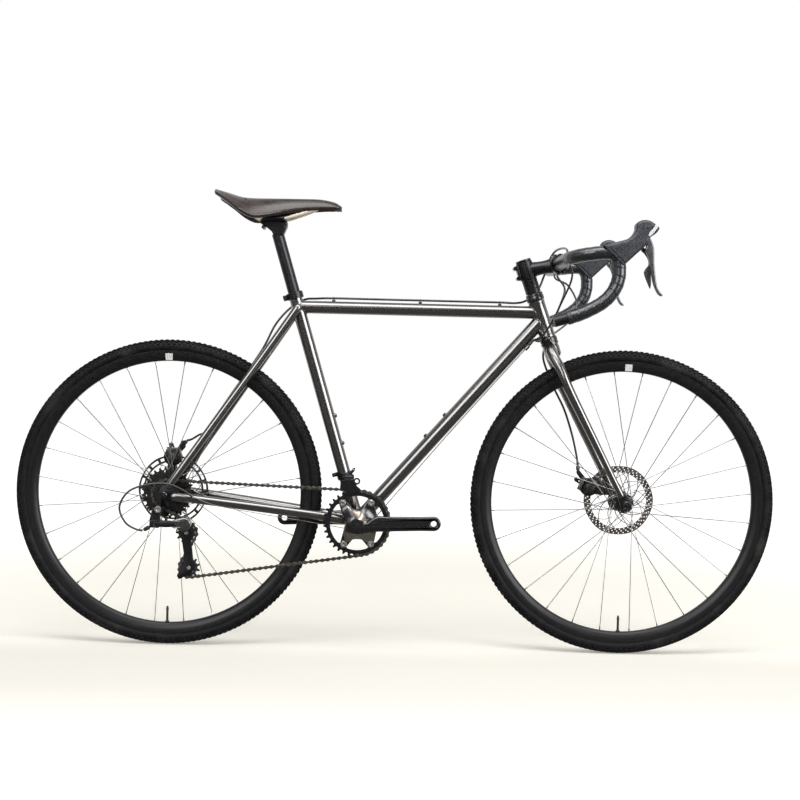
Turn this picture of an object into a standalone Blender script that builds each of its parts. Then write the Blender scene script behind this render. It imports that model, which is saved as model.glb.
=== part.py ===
"""Cyclocross bike, built piece by piece as it would come apart on a bench.

Metres, +X forward, +Y to the rider's left, +Z up. The origin lies on the ground midway between the hubs.
The drive side is at -Y. Every piece is one named object in the collection cyclocross_bike.
"""

import math

import bmesh
import bpy
from mathutils import Matrix, Vector

# Driving dimensions of the frame
WHEELBASE = 1.023
BOTTOM_BRACKET_DROP = 0.056
CHAINSTAY_LENGTH = 0.429
SEAT_ANGLE = math.radians(73.2)
HEAD_ANGLE = math.radians(70.6)
FORK_OFFSET = 0.045
CROWN_TO_AXLE = 0.389
TOP_TUBE_HEIGHT = 0.768
SEAT_TUBE_LENGTH = 0.5267
HEAD_TUBE_LENGTH = 0.085
DOWN_TUBE_SEAT = 0.043
STOP_BELOW_TOP = 0.0705
CLEARANCE = 0.0003

# Tube radii and walls
TOP_TUBE_RADIUS = 0.0143
DOWN_TUBE_RADIUS = 0.0159
SEAT_TUBE_RADIUS = 0.0148
HEAD_TUBE_RADIUS = 0.0180
TUBE_WALL = 0.0012
TUBE_SIDES = 20
SHELL_RADIUS = 0.0195
SHELL_WIDTH = 0.068
SHELL_BORE = 0.0172
CUP_FLANGE = 0.0042
CHAINSTAY_RADII = (0.0112, 0.0095)
SEATSTAY_RADII = (0.0094, 0.0080)
BRIDGE_RADIUS = 0.0065

# Hub spacings and dropouts
FRONT_SPACING = 0.100
REAR_SPACING = 0.135
REAR_DROPOUT_THICKNESS = 0.006
FORK_TIP_THICKNESS = 0.006
AXLE_RADIUS = 0.0050
SLOT_CLEARANCE = 0.0003

# Headset, stem and steerer
STEERER_RADIUS = 0.0143
LOWER_CUP_HEIGHT = 0.018
UPPER_CUP_HEIGHT = 0.0195
CUP_RADIUS = 0.0200
SPACER_STACK = 0.0335
SPACER_RADIUS = 0.0172
STEM_CLAMP_HEIGHT = 0.040
STEM_CLAMP_RADIUS = 0.0185
STEM_LENGTH = 0.073
STEM_RISE = math.radians(12.2)
STEM_TUBE_RADIUS = 0.0150
BAR_CLAMP_RADIUS = 0.0159
BAR_CLAMP_WIDTH = 0.042
BAR_CLAMP_WALL = 0.0048
TOP_CAP_HEIGHT = 0.0055

# Handlebar
BAR_RADIUS = 0.0120
TAPE_THICKNESS = 0.0025
BAR_HALF_WIDTH = 0.215
TAPE_START = 0.052

# Wheels
RIM_OUTER_RADIUS = 0.3185
RIM_DEPTH = 0.0230
TYRE_HEIGHT = 0.0255
TYRE_RADIUS = RIM_OUTER_RADIUS + TYRE_HEIGHT
TYRE_WIDTH = 0.0336
RIM_INNER_RADIUS = RIM_OUTER_RADIUS - RIM_DEPTH
RIM_WIDTH = 0.024
RIM_WALL = 0.0022
WHEEL_STEPS = 32
SPOKES = 28
FRONT_SPOKE_START = math.radians(94.9)
REAR_SPOKE_START = math.radians(97.3)
SPOKE_RADIUS = 0.0009
SPOKE_CROSSES = 3
FLANGE_RADIUS = 0.0225
FLANGE_THICKNESS = 0.003
VALVE_RADIUS = 0.0030
VALVE_LENGTH = 0.040

# Brakes
ROTOR_RADIUS = 0.080
ROTOR_BAND = 0.0145
ROTOR_THICKNESS = 0.0018
ROTOR_BORE = 0.0178
FRONT_ROTOR_Y = 0.0395
REAR_ROTOR_Y = 0.0520
FRONT_CALIPER_ANGLE = math.radians(157.0)
REAR_CALIPER_ANGLE = math.radians(91.0)
CALIPER_RADIUS = ROTOR_RADIUS - 0.0070
FRONT_ARM_ANGLE = math.radians(151.0)
REAR_ARM_ANGLE = math.radians(110.0)
ACTUATOR_ARM_LENGTH = 0.030

# Drivetrain
CHAIN_PITCH = 0.0127
RING_TEETH = 36
RING_Y = -0.0435
RING_THICKNESS = 0.0016
BOLT_CIRCLE_RADIUS = 0.055
BOLT_ANGLES = (55.0, 125.0, 237.0, 303.0)
CRANK_LENGTH = 0.170
CRANK_ANGLE = math.radians(1.6)
CRANK_WIDTH = 0.032
CRANK_THICKNESS = 0.013
CRANK_INNER_Y = 0.059
PEDAL_HOLE_RADIUS = 0.0072
SPINDLE_RADIUS = 0.0120
SPROCKETS = (12, 13, 14, 15, 17, 19, 21, 23, 25, 28)
SPROCKET_PITCH = 0.00395
SPROCKET_THICKNESS = 0.0018
SMALLEST_SPROCKET_Y = -0.0612
CHAIN_SPROCKET = 3
CHAIN_INNER_HALF = 0.0013
CHAIN_OUTER_HALF = 0.0027
CHAIN_HALF_HEIGHT = 0.0038
CHAIN_ROLLER_RADIUS = 0.0024
PULLEY_TEETH = 11
PULLEY_THICKNESS = 0.0022
PULLEY_BORE = 0.0030
CAGE_HALF_GAP = 0.0052
CAGE_PLATE = 0.0016

# Seat
SEATPOST_RADIUS = 0.0136
SEATPOST_INSERTION = 0.110
SEATPOST_TOP = 0.678
RAIL_RADIUS = 0.0035
RAIL_SPREAD = 0.022
SADDLE_THICKNESS = 0.009

# Cables
HOUSING_RADIUS = 0.0025
WIRE_RADIUS = 0.0009
SHIFT_HOUSING_RADIUS = 0.0022
GUIDE_DROP = 0.0222
FRONT_HOUSING_POINTS = 22
REAR_HOUSING_POINTS = 38
CLIP_SEGMENT = 12
CLIP_LENGTH = 0.0070
CLIP_RADIUS = 0.0045
CLIP_ARM_RADIUS = 0.0028

REAR_HUB = Vector((-WHEELBASE / 2, 0, TYRE_RADIUS))
FRONT_HUB = Vector((WHEELBASE / 2, 0, TYRE_RADIUS))
BOTTOM_BRACKET = REAR_HUB + Vector(
    (math.sqrt(CHAINSTAY_LENGTH ** 2 - BOTTOM_BRACKET_DROP ** 2), 0, -BOTTOM_BRACKET_DROP)
)
GUIDE_PULLEY = (REAR_HUB.x + 0.0475, REAR_HUB.z - 0.0850)
TENSION_PULLEY = (REAR_HUB.x + 0.0545, REAR_HUB.z - 0.1624)
SEAT_DIRECTION = Vector((-math.cos(SEAT_ANGLE), 0, math.sin(SEAT_ANGLE)))
HEAD_DIRECTION = Vector((-math.cos(HEAD_ANGLE), 0, math.sin(HEAD_ANGLE)))
HEAD_FORWARD = Vector((math.sin(HEAD_ANGLE), 0, math.cos(HEAD_ANGLE)))
STEERING_FOOT = FRONT_HUB - HEAD_FORWARD * FORK_OFFSET
LATERAL = Vector((0, 1, 0))

# Stations along the steering axis, measured up from its nearest point to the front axle
HEAD_TUBE_BOTTOM = CROWN_TO_AXLE + LOWER_CUP_HEIGHT
HEAD_TUBE_TOP = HEAD_TUBE_BOTTOM + HEAD_TUBE_LENGTH
SPACER_BOTTOM = HEAD_TUBE_TOP + UPPER_CUP_HEIGHT
STEM_BOTTOM = SPACER_BOTTOM + SPACER_STACK
STEM_TOP = STEM_BOTTOM + STEM_CLAMP_HEIGHT

PARTS = bpy.data.collections.new("cyclocross_bike")
TOOLS = bpy.data.collections.new("cutters")


def beside(anchor, outline):
    """Outline given from an anchor, in the bike's own XZ plane."""
    return [(anchor.x + x, anchor.z + z) for x, z in outline]


def placed(anchor, points):
    """Points given from an anchor, in the bike's own frame."""
    return [anchor + Vector(point) for point in points]


def on_head(station):
    """Point on the steering axis."""
    return STEERING_FOOT + HEAD_DIRECTION * station


def on_seat(station):
    """Point on the seat tube's axis, measured up from the bottom bracket."""
    return BOTTOM_BRACKET + SEAT_DIRECTION * station


def pitch_radius(teeth):
    return CHAIN_PITCH / (2 * math.sin(math.pi / teeth))


STEM_MIDDLE = on_head((STEM_BOTTOM + STEM_TOP) / 2)
STEM_DIRECTION = Vector((math.cos(STEM_RISE), 0, math.sin(STEM_RISE)))
BAR_CENTRE = STEM_MIDDLE + STEM_DIRECTION * STEM_LENGTH
DOWN_TUBE_TOP = on_head(HEAD_TUBE_BOTTOM + DOWN_TUBE_SEAT)
DOWN_DIRECTION = (DOWN_TUBE_TOP - BOTTOM_BRACKET).normalized()
DOWN_NORMAL = Vector((DOWN_DIRECTION.z, 0, -DOWN_DIRECTION.x))


# Small helpers


def clear_scene():
    for obj in list(bpy.data.objects):
        bpy.data.objects.remove(obj, do_unlink=True)
    for collection in (PARTS, TOOLS):
        bpy.context.scene.collection.children.link(collection)


def material(name, colour, roughness, metallic=0.0):
    made = bpy.data.materials.new(name)
    made.use_nodes = True
    shader = made.node_tree.nodes["Principled BSDF"]
    shader.inputs["Base Color"].default_value = (*colour, 1.0)
    shader.inputs["Roughness"].default_value = roughness
    shader.inputs["Metallic"].default_value = metallic
    return made


def frame_along(origin, direction):
    """Matrix with Z along direction; its Y is kept lateral, or upright where direction itself is lateral."""
    z = Vector(direction).normalized()
    side = LATERAL if abs(z.y) < 0.9 else Vector((0, 0, 1))
    y = (side - z * side.dot(z)).normalized()
    x = y.cross(z)
    placed = Matrix((x, y, z)).transposed().to_4x4()
    placed.translation = Vector(origin)
    return placed


def new_object(mesh_or_curve, matrix=None):
    obj = bpy.data.objects.new("piece", mesh_or_curve)
    PARTS.objects.link(obj)
    if matrix is not None:
        obj.matrix_world = matrix
    return obj


def bake(obj):
    """Replaces an object by a plain mesh of its evaluated shape, in world coordinates, with welded caps."""
    bpy.context.view_layer.update()
    evaluated = obj.evaluated_get(bpy.context.evaluated_depsgraph_get())
    mesh = bpy.data.meshes.new_from_object(evaluated)
    mesh.transform(obj.matrix_world)
    bm = bmesh.new()
    bm.from_mesh(mesh)
    bmesh.ops.remove_doubles(bm, verts=bm.verts, dist=1e-6)
    if bm.calc_volume(signed=True) < 0:
        bmesh.ops.reverse_faces(bm, faces=bm.faces)
    bm.to_mesh(mesh)
    bm.free()
    bpy.data.objects.remove(obj, do_unlink=True)
    return new_object(mesh)


def rod(start, end, radius, sides=16, end_radius=None):
    """Solid cylinder or cone between two points."""
    start = Vector(start)
    end = Vector(end)
    mesh = bpy.data.meshes.new("rod")
    bm = bmesh.new()
    bmesh.ops.create_cone(
        bm,
        cap_ends=True,
        segments=sides,
        radius1=radius,
        radius2=radius if end_radius is None else end_radius,
        depth=(end - start).length,
        matrix=frame_along((start + end) / 2, end - start),
    )
    bm.to_mesh(mesh)
    bm.free()
    return new_object(mesh)


def block(size, origin, x_axis=(1, 0, 0), bevel=0.0):
    """Box of the given size centred on origin, its X along x_axis and its Y kept lateral."""
    x = Vector(x_axis).normalized()
    z = x.cross(LATERAL).normalized()
    turn = Matrix((x, LATERAL, z)).transposed().to_4x4()
    turn.translation = Vector(origin)
    mesh = bpy.data.meshes.new("block")
    bm = bmesh.new()
    bmesh.ops.create_cube(bm, size=1.0, matrix=Matrix.Diagonal((*size, 1.0)))
    bm.to_mesh(mesh)
    bm.free()
    obj = new_object(mesh, turn)
    if bevel:
        rounding = obj.modifiers.new("bevel", "BEVEL")
        rounding.width = bevel
        rounding.segments = 1
    return bake(obj)


def turned(profile, origin, axis, steps=24, closed=False):
    """Turned shape: (radius, height) points that run down the outer side, then back up a bore if closed."""
    mesh = bpy.data.meshes.new("turned")
    points = [(radius, 0, height) for radius, height in profile]
    edges = [(i, i + 1) for i in range(len(points) - 1)]
    if closed:
        edges.append((len(points) - 1, 0))
    mesh.from_pydata(points, edges, [])
    obj = new_object(mesh, frame_along(origin, axis))
    screw = obj.modifiers.new("screw", "SCREW")
    screw.steps = steps
    screw.render_steps = steps
    screw.use_merge_vertices = True
    screw.merge_threshold = 1e-6
    return bake(obj)


def ring(origin, axis, outer, inner, height, steps=TUBE_SIDES):
    """Ring whose base lies at origin and which rises along axis."""
    profile = [(outer, height), (outer, 0), (inner, 0), (inner, height)]
    return turned(profile, origin, axis, steps, closed=True)


def wire(points, radius, resolution=1, radii=None):
    """Round tube through the points, with filled ends; radii scale it point by point."""
    curve = bpy.data.curves.new("wire", "CURVE")
    curve.dimensions = "3D"
    curve.bevel_depth = radius
    curve.bevel_resolution = resolution
    curve.use_fill_caps = True
    spline = curve.splines.new("POLY")
    spline.points.add(len(points) - 1)
    for i, point in enumerate(points):
        spline.points[i].co = (*point, 1.0)
        spline.points[i].radius = radii[i] if radii else 1.0
    return bake(new_object(curve))


def sleeve(points, outer, wall, resolution=1):
    """Hollow tube along the points, open at both ends."""
    curve = bpy.data.curves.new("sleeve", "CURVE")
    curve.dimensions = "3D"
    curve.bevel_depth = outer
    curve.bevel_resolution = resolution
    curve.use_fill_caps = False
    spline = curve.splines.new("POLY")
    spline.points.add(len(points) - 1)
    for i, point in enumerate(points):
        spline.points[i].co = (*point, 1.0)
    obj = new_object(curve)
    shell = obj.modifiers.new("wall", "SOLIDIFY")
    shell.thickness = wall
    shell.offset = -1
    return bake(obj)


def plate(outline, thickness, origin, holes=(), matrix=None):
    """Flat plate in the XZ plane about origin: an (x, z) outline with holes, centred on the plane."""
    curve = bpy.data.curves.new("plate", "CURVE")
    curve.dimensions = "2D"
    curve.fill_mode = "BOTH"
    curve.extrude = thickness / 2
    for points in (outline, *holes):
        spline = curve.splines.new("POLY")
        spline.points.add(len(points) - 1)
        for i, (x, z) in enumerate(points):
            spline.points[i].co = (x, z, 0, 1)
        spline.use_cyclic_u = True
    upright = Matrix.Translation(Vector(origin)) @ Matrix.Rotation(math.pi / 2, 4, "X")
    return bake(new_object(curve, upright if matrix is None else matrix))


def arc(centre, radius, start, end, count):
    """Points on an arc, with angles in degrees."""
    turns = [math.radians(start + (end - start) * i / (count - 1)) for i in range(count)]
    return [(centre[0] + radius * math.cos(a), centre[1] + radius * math.sin(a)) for a in turns]


def circle(centre, radius, count):
    return arc(centre, radius, 0, 360 - 360 / count, count)


def smooth(points, count):
    """Evenly spread points on a smooth curve through the given points."""
    knots = [Vector(point) for point in points]
    knots = [knots[0] * 2 - knots[1], *knots, knots[-1] * 2 - knots[-2]]
    fine = []
    for i in range(1, len(knots) - 2):
        before, start, end, after = knots[i - 1:i + 3]
        for step in range(24):
            t = step / 24
            fine.append(0.5 * (
                2 * start + (end - before) * t
                + (2 * before - 5 * start + 4 * end - after) * t ** 2
                + (3 * start - before - 3 * end + after) * t ** 3
            ))
    fine.append(knots[-2])
    travelled = [0.0]
    for a, b in zip(fine, fine[1:]):
        travelled.append(travelled[-1] + (b - a).length)
    spread = []
    at = 0
    for i in range(count):
        target = travelled[-1] * i / (count - 1)
        while at < len(fine) - 2 and travelled[at + 1] < target:
            at += 1
        share = (target - travelled[at]) / (travelled[at + 1] - travelled[at])
        spread.append(fine[at].lerp(fine[at + 1], min(1.0, share)))
    return spread


def mirrored(points):
    return [Vector((point[0], -point[1], point[2])) for point in points]


def boolean(obj, others, operation):
    for other in others:
        step = obj.modifiers.new("boolean", "BOOLEAN")
        step.operation = operation
        step.solver = "EXACT"
        step.object = other
    result = bake(obj)
    for other in others:
        bpy.data.objects.remove(other, do_unlink=True)
    return result


def cut(obj, *cutters):
    return boolean(obj, cutters, "DIFFERENCE")


def union(obj, *others):
    return boolean(obj, others, "UNION")


def joint_empty(name, location, parent=None):
    empty = bpy.data.objects.new(name, None)
    empty.empty_display_size = 0.02
    PARTS.objects.link(empty)
    empty.parent = parent
    bpy.context.view_layer.update()
    empty.matrix_world = Matrix.Translation(Vector(location))
    bpy.context.view_layer.update()
    return empty


def finish(obj, name, surface, parent):
    """Names a piece, gives it its material and hangs it on its joint's empty, with its origin there."""
    obj.name = name
    obj.data.name = name
    obj.data.materials.clear()
    obj.data.materials.append(surface)
    obj.data.shade_smooth()
    obj.data.set_sharp_from_angle(angle=math.radians(35))
    origin = parent.matrix_world.translation
    obj.data.transform(Matrix.Translation(-origin))
    obj.parent = parent
    return obj


# Frame tubes

TOP_TUBE_REAR = on_seat((TOP_TUBE_HEIGHT - BOTTOM_BRACKET.z) / SEAT_DIRECTION.z)
TOP_TUBE_FRONT = on_head((TOP_TUBE_HEIGHT - STEERING_FOOT.z) / HEAD_DIRECTION.z)


def seat_tube_cutter():
    return rod(on_seat(-0.01), on_seat(SEAT_TUBE_LENGTH + 0.03), SEAT_TUBE_RADIUS + CLEARANCE, TUBE_SIDES)


def head_tube_cutter():
    low = on_head(HEAD_TUBE_BOTTOM - 0.02)
    return rod(low, on_head(HEAD_TUBE_TOP + 0.02), HEAD_TUBE_RADIUS + CLEARANCE, TUBE_SIDES)


def shell_cutter():
    half = LATERAL * SHELL_WIDTH
    return rod(BOTTOM_BRACKET - half, BOTTOM_BRACKET + half, SHELL_RADIUS + CLEARANCE, TUBE_SIDES)


def top_tube_cutter():
    return rod(TOP_TUBE_REAR, TOP_TUBE_FRONT, TOP_TUBE_RADIUS + CLEARANCE, TUBE_SIDES)


def hollow(start, end, radius, wall, sides=TUBE_SIDES):
    beyond = (Vector(end) - Vector(start)).normalized() * 0.02
    return cut(rod(start, end, radius, sides), rod(start - beyond, end + beyond, radius - wall, sides))


def make_head_tube():
    bore = HEAD_TUBE_RADIUS - STEERER_RADIUS - 0.002
    return hollow(on_head(HEAD_TUBE_BOTTOM), on_head(HEAD_TUBE_TOP), HEAD_TUBE_RADIUS, bore)


def make_seat_tube():
    wall = SEAT_TUBE_RADIUS - SEATPOST_RADIUS - CLEARANCE
    tube = hollow(BOTTOM_BRACKET, on_seat(SEAT_TUBE_LENGTH), SEAT_TUBE_RADIUS, wall)
    forward = Vector((SEAT_DIRECTION.z, 0, -SEAT_DIRECTION.x))
    bosses = []
    for station in SEAT_BOSSES:
        surface = on_seat(station) + forward * SEAT_TUBE_RADIUS
        bosses.append(rod(surface - forward * TUBE_WALL / 2, surface + forward * BOSS_HEIGHT, BOSS_RADIUS,
                          10))
    return union(cut(tube, shell_cutter()), *bosses)


def make_top_tube():
    """Top tube with the clips that carry the brake housing along its upper side."""
    tube = hollow(TOP_TUBE_REAR, TOP_TUBE_FRONT, TOP_TUBE_RADIUS, TUBE_WALL)
    tube = cut(tube, seat_tube_cutter(), head_tube_cutter())
    bottom = TOP_TUBE_HEIGHT + TOP_TUBE_RADIUS - TUBE_WALL / 2
    top = TOP_HOUSING_Z - HOUSING_RADIUS - CLEARANCE
    clips = [block((0.008, 0.007, top - bottom), (x, 0, (bottom + top) / 2)) for x in CLIP_X]
    return union(tube, *clips)


def make_down_tube():
    """Down tube with the bottle bosses on its upper side and the two cable stops below."""
    tube = hollow(BOTTOM_BRACKET, DOWN_TUBE_TOP, DOWN_TUBE_RADIUS, TUBE_WALL)
    tube = cut(tube, shell_cutter(), head_tube_cutter(), seat_tube_cutter(), top_tube_cutter())
    added = []
    for station in DOWN_BOSSES:
        surface = down_point(station, -DOWN_TUBE_RADIUS)
        added.append(rod(surface + DOWN_NORMAL * TUBE_WALL / 2, surface - DOWN_NORMAL * BOSS_HEIGHT,
                         BOSS_RADIUS, 10))
    bores = []
    for side in (-1, 1):
        low = down_point(STOP_STATION - STOP_LENGTH / 2, STOP_OFFSET, side * WIRE_SPREAD)
        high = down_point(STOP_STATION + STOP_LENGTH / 2, STOP_OFFSET, side * WIRE_SPREAD)
        added.append(rod(low, high, STOP_RADIUS, 10))
        beyond = DOWN_DIRECTION * 0.01
        bores.append(rod(low - beyond, high + beyond, WIRE_RADIUS + CLEARANCE, 6))
    return cut(union(tube, *added), *bores)


def make_shell():
    half = LATERAL * SHELL_WIDTH / 2
    return hollow(BOTTOM_BRACKET - half, BOTTOM_BRACKET + half, SHELL_RADIUS, SHELL_RADIUS - SHELL_BORE)


DROPOUT_Y = REAR_SPACING / 2 + REAR_DROPOUT_THICKNESS / 2
STAY_END_Y = DROPOUT_Y + 0.0020
STAY_TOP = TOP_TUBE_REAR + Vector((0.0010, 0, -0.0020))
STAY_FOOT = REAR_HUB + Vector((0.0095, 0, 0.0195))


def chainstay_path(side):
    """Centre line of a chainstay from the shell to its dropout, waisted beside the chainring and tyre."""
    points = [
        (BOTTOM_BRACKET.x - 0.010, 0.0213, BOTTOM_BRACKET.z + 0.0015),
        (BOTTOM_BRACKET.x - 0.045, 0.0262, BOTTOM_BRACKET.z + 0.0065),
        (BOTTOM_BRACKET.x - 0.079, 0.0287, BOTTOM_BRACKET.z + 0.0122),
        (BOTTOM_BRACKET.x - 0.114, 0.0352, BOTTOM_BRACKET.z + 0.0172),
        (REAR_HUB.x + 0.2115, 0.0490, REAR_HUB.z - 0.0258),
        (REAR_HUB.x + 0.1115, 0.0625, REAR_HUB.z - 0.0135),
        (REAR_HUB.x + 0.0415, STAY_END_Y - 0.0015, REAR_HUB.z - 0.0052),
        (REAR_HUB.x + 0.0205, STAY_END_Y, REAR_HUB.z - 0.0028),
    ]
    return points if side > 0 else mirrored(points)


def seatstay_path(side):
    """Centre line of a seatstay from the seat tube to its dropout."""
    bends = ((0, 0.0185), (0.269, 0.0300), (0.522, 0.0470), (0.724, 0.0610), (0.912, STAY_END_Y - 0.0015),
             (1, STAY_END_Y))
    points = [STAY_TOP.lerp(STAY_FOOT, share) + LATERAL * y for share, y in bends]
    return points if side > 0 else mirrored(points)


def stay(path, radii, count, grow=0.0):
    """A tapered stay; grow widens it for use as a cutter."""
    points = smooth(path, count)
    shares = [i / (count - 1) for i in range(count)]
    scale = [(radii[0] + (radii[1] - radii[0]) * share + grow) / radii[0] for share in shares]
    return wire(points, radii[0], 2, scale)


def slot_cut_outline():
    """Open slot for the axle, drawn about it: round above and open downwards."""
    radius = AXLE_RADIUS + SLOT_CLEARANCE
    return [(radius, -0.06), *arc((0, 0), radius, 0, 180, 6), (-radius, -0.06)]


def dropout_outline(side, grow=0.0):
    """Outline of a rear dropout about the axle; the right one carries the derailleur hanger."""
    if side < 0:
        lower = [(-0.0060, -0.012), (-0.0045, -0.026), (-0.0045, -0.0385), (-0.0160, -0.0385),
                 (-0.0190, -0.0300),
                 (-0.0150, -0.012)]
        upper = [(-0.013, 0.006), (-0.006, 0.020), (0.004, 0.028)]
    else:
        lower = [(-0.0060, -0.0150), (-0.0120, -0.0150), (-0.0150, -0.005)]
        upper = [
            (-0.014, 0.010), (-0.016, 0.040), (-0.012, 0.056), (0.004, 0.056), (0.006, 0.040),
            (0.008, 0.028),
        ]
    front = [(0.018, 0.024), (0.030, 0.010), (0.032, -0.006), (0.014, -0.0155), (0.0060, -0.0155)]
    points = [*lower, *upper, *front]
    reach = [1 + grow / math.hypot(*point) for point in points]
    return [(x * share, z * share) for (x, z), share in zip(points, reach)]


HANGER_BOLT = Vector((REAR_HUB.x - 0.0105, -DROPOUT_Y, REAR_HUB.z - 0.0305))
HANGER_HOLE_RADIUS = 0.0052


def dropout_cutter(side):
    origin = (REAR_HUB.x, side * DROPOUT_Y, REAR_HUB.z)
    outline = dropout_outline(side, 2 * CLEARANCE)
    return plate(outline, REAR_DROPOUT_THICKNESS + 2 * CLEARANCE, origin)


def make_dropout(side):
    origin = (REAR_HUB.x, side * DROPOUT_Y, REAR_HUB.z)
    hole = circle((HANGER_BOLT.x - REAR_HUB.x, HANGER_BOLT.z - REAR_HUB.z), HANGER_HOLE_RADIUS, 10)
    return plate(dropout_outline(side), REAR_DROPOUT_THICKNESS, origin, [hole] if side < 0 else [])


def make_chainstays():
    """Both chainstays, their bridge and the rear dropouts, welded into one."""
    pieces = [bridge(BOTTOM_BRACKET.x - 0.0538, BOTTOM_BRACKET.z + 0.0088, 0.028)]
    for side in (-1, 1):
        tube = stay(chainstay_path(side), CHAINSTAY_RADII, 10)
        pieces.append(cut(tube, shell_cutter()))
        pieces.append(make_dropout(side))
    axle = REAR_SPACING / 2 + 0.03
    joined = union(*pieces)
    slots = [plate(slot_cut_outline(), 2 * axle, REAR_HUB)]
    return cut(joined, *slots)


def make_seatstays():
    """Both seatstays and their bridge; their lower ends are slotted over the dropouts."""
    spot = smooth(seatstay_path(1), 21)[5]
    pieces = [bridge(spot.x, spot.z, 0.030)]
    for side in (-1, 1):
        tube = stay(seatstay_path(side), SEATSTAY_RADII, 8)
        pieces.append(cut(tube, seat_tube_cutter(), dropout_cutter(side)))
    return union(*pieces)


def bridge(x, z, reach):
    """Short cross tube between a pair of stays, ending inside them."""
    return rod((x, -reach, z), (x, reach, z), BRIDGE_RADIUS, 12)


# Bosses, clips and stops

SEAT_BOSSES = (0.1790, 0.2430)
DOWN_BOSSES = (0.2460, 0.3100)
BOSS_RADIUS = 0.0048
BOSS_HEIGHT = 0.0030
CLIP_X = tuple(TOP_TUBE_REAR.x + reach for reach in (0.0800, 0.2749, 0.4544))
TOP_HOUSING_Z = TOP_TUBE_HEIGHT + 0.0212
STOP_STATION = (DOWN_TUBE_TOP - BOTTOM_BRACKET).length - STOP_BELOW_TOP
STOP_LENGTH = 0.0120
STOP_RADIUS = 0.0042
STOP_OFFSET = 0.0180
WIRE_OFFSET = 0.0190
WIRE_SPREAD = 0.0070


def down_point(station, offset, y=0.0):
    """Point beside the down tube, offset below its axis."""
    return BOTTOM_BRACKET + DOWN_DIRECTION * station + DOWN_NORMAL * offset + LATERAL * y


# Bearings


def make_headset_cup(bottom, height):
    return ring(on_head(bottom + CLEARANCE), HEAD_DIRECTION, CUP_RADIUS, STEERER_RADIUS + CLEARANCE,
                height - 2 * CLEARANCE)


def make_bottom_bracket():
    """Both cups with the sleeve between them, as one cartridge around the spindle."""
    face = SHELL_WIDTH / 2 + CLEARANCE
    outer = face + CUP_FLANGE
    flange = SHELL_RADIUS + 0.002
    barrel = SHELL_BORE - CLEARANCE
    bore = SPINDLE_RADIUS + CLEARANCE
    profile = [(flange, outer), (flange, face), (barrel, face), (barrel, -face), (flange, -face),
               (flange, -outer),
               (bore, -outer), (bore, outer)]
    return turned(profile, BOTTOM_BRACKET, LATERAL, 20, closed=True)


# Fork

FRONT_TAB_OUTLINE = beside(FRONT_HUB, [
    (-0.0475, 0.0100), (-0.0115, 0.0100), (-0.0155, 0.0260), (-0.0315, 0.0560), (-0.0455, 0.0540),
])
FRONT_TAB_Y = 0.0525
FRONT_TAB_THICKNESS = 0.0060


def leg_path(side):
    """Centre line of a fork leg: it leaves the crown, bends outward and runs straight to the tip."""
    points = [
        (-0.1715, 0.0150, 0.3380),
        (-0.1645, 0.0262, 0.3220),
        (-0.1505, 0.0360, 0.2960),
        (-0.1305, 0.0430, 0.2496),
        (-0.0633, 0.0505, 0.1200),
        (-0.0105, FORK_TIP_Y - 0.0005, 0.0190),
    ]
    points = placed(FRONT_HUB, points)
    return points if side > 0 else mirrored(points)


FORK_TIP_Y = FRONT_SPACING / 2 + FORK_TIP_THICKNESS / 2
LEG_RADII = (0.0125, 0.0076)


TIP_OUTLINE = [(-0.0115, -0.0115), (-0.0150, 0.0020), (-0.0200, 0.0240), (-0.0080, 0.0300),
               (0.0080, 0.0140),
               (0.0130, 0.0000), (0.0115, -0.0115)]


def leg(side):
    count = 10
    shrink = LEG_RADII[1] / LEG_RADII[0] - 1
    scale = [1 + shrink * min(1.0, 1.15 * i / (count - 1)) for i in range(count)]
    return wire(smooth(leg_path(side), count), LEG_RADII[0], 2, scale)


def make_fork():
    """Welded fork: steerer, crown with its race, both legs with their tips, and the calliper's tab."""
    top = on_head(CROWN_TO_AXLE)
    crown = rod(on_head(CROWN_TO_AXLE - 0.026), top, 0.0188, 20)
    steerer = rod(on_head(CROWN_TO_AXLE - 0.010), on_head(STEM_TOP - 0.002), STEERER_RADIUS, 20)
    pieces = [crown, steerer]
    for side in (-1, 1):
        pieces.append(leg(side))
        pieces.append(plate(TIP_OUTLINE, FORK_TIP_THICKNESS, (FRONT_HUB.x, side * FORK_TIP_Y, FRONT_HUB.z)))
    pieces.append(side_plate(FRONT_TAB_OUTLINE, FRONT_TAB_Y, FRONT_TAB_THICKNESS))
    clip, bore = fork_clip()
    pieces.append(clip)
    return cut(union(*pieces), plate(slot_cut_outline(), FRONT_SPACING + 0.06, FRONT_HUB), bore)


def fork_clip():
    """Clip that holds the brake housing beside the left fork leg, and the cutter for its bore."""
    points = smooth(front_brake_path(), FRONT_HOUSING_POINTS)
    middle = (points[CLIP_SEGMENT] + points[CLIP_SEGMENT + 1]) / 2
    along = (points[CLIP_SEGMENT + 1] - points[CLIP_SEGMENT]).normalized()
    leg_line = smooth(leg_path(1), 40)
    nearest = min(leg_line, key=lambda point: (point - middle).length)
    holder = rod(nearest, middle, CLIP_ARM_RADIUS, 8)
    barrel = rod(middle - along * CLIP_LENGTH / 2, middle + along * CLIP_LENGTH / 2, CLIP_RADIUS, 10)
    bore = rod(middle - along * CLIP_LENGTH, middle + along * CLIP_LENGTH, HOUSING_RADIUS + CLEARANCE, 12)
    return union(holder, barrel), bore


def make_headset_spacers():
    """The stack of spacers between the upper cup and the stem."""
    return ring(on_head(SPACER_BOTTOM + CLEARANCE), HEAD_DIRECTION, SPACER_RADIUS,
                STEERER_RADIUS + CLEARANCE,
                SPACER_STACK - 2 * CLEARANCE)


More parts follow.
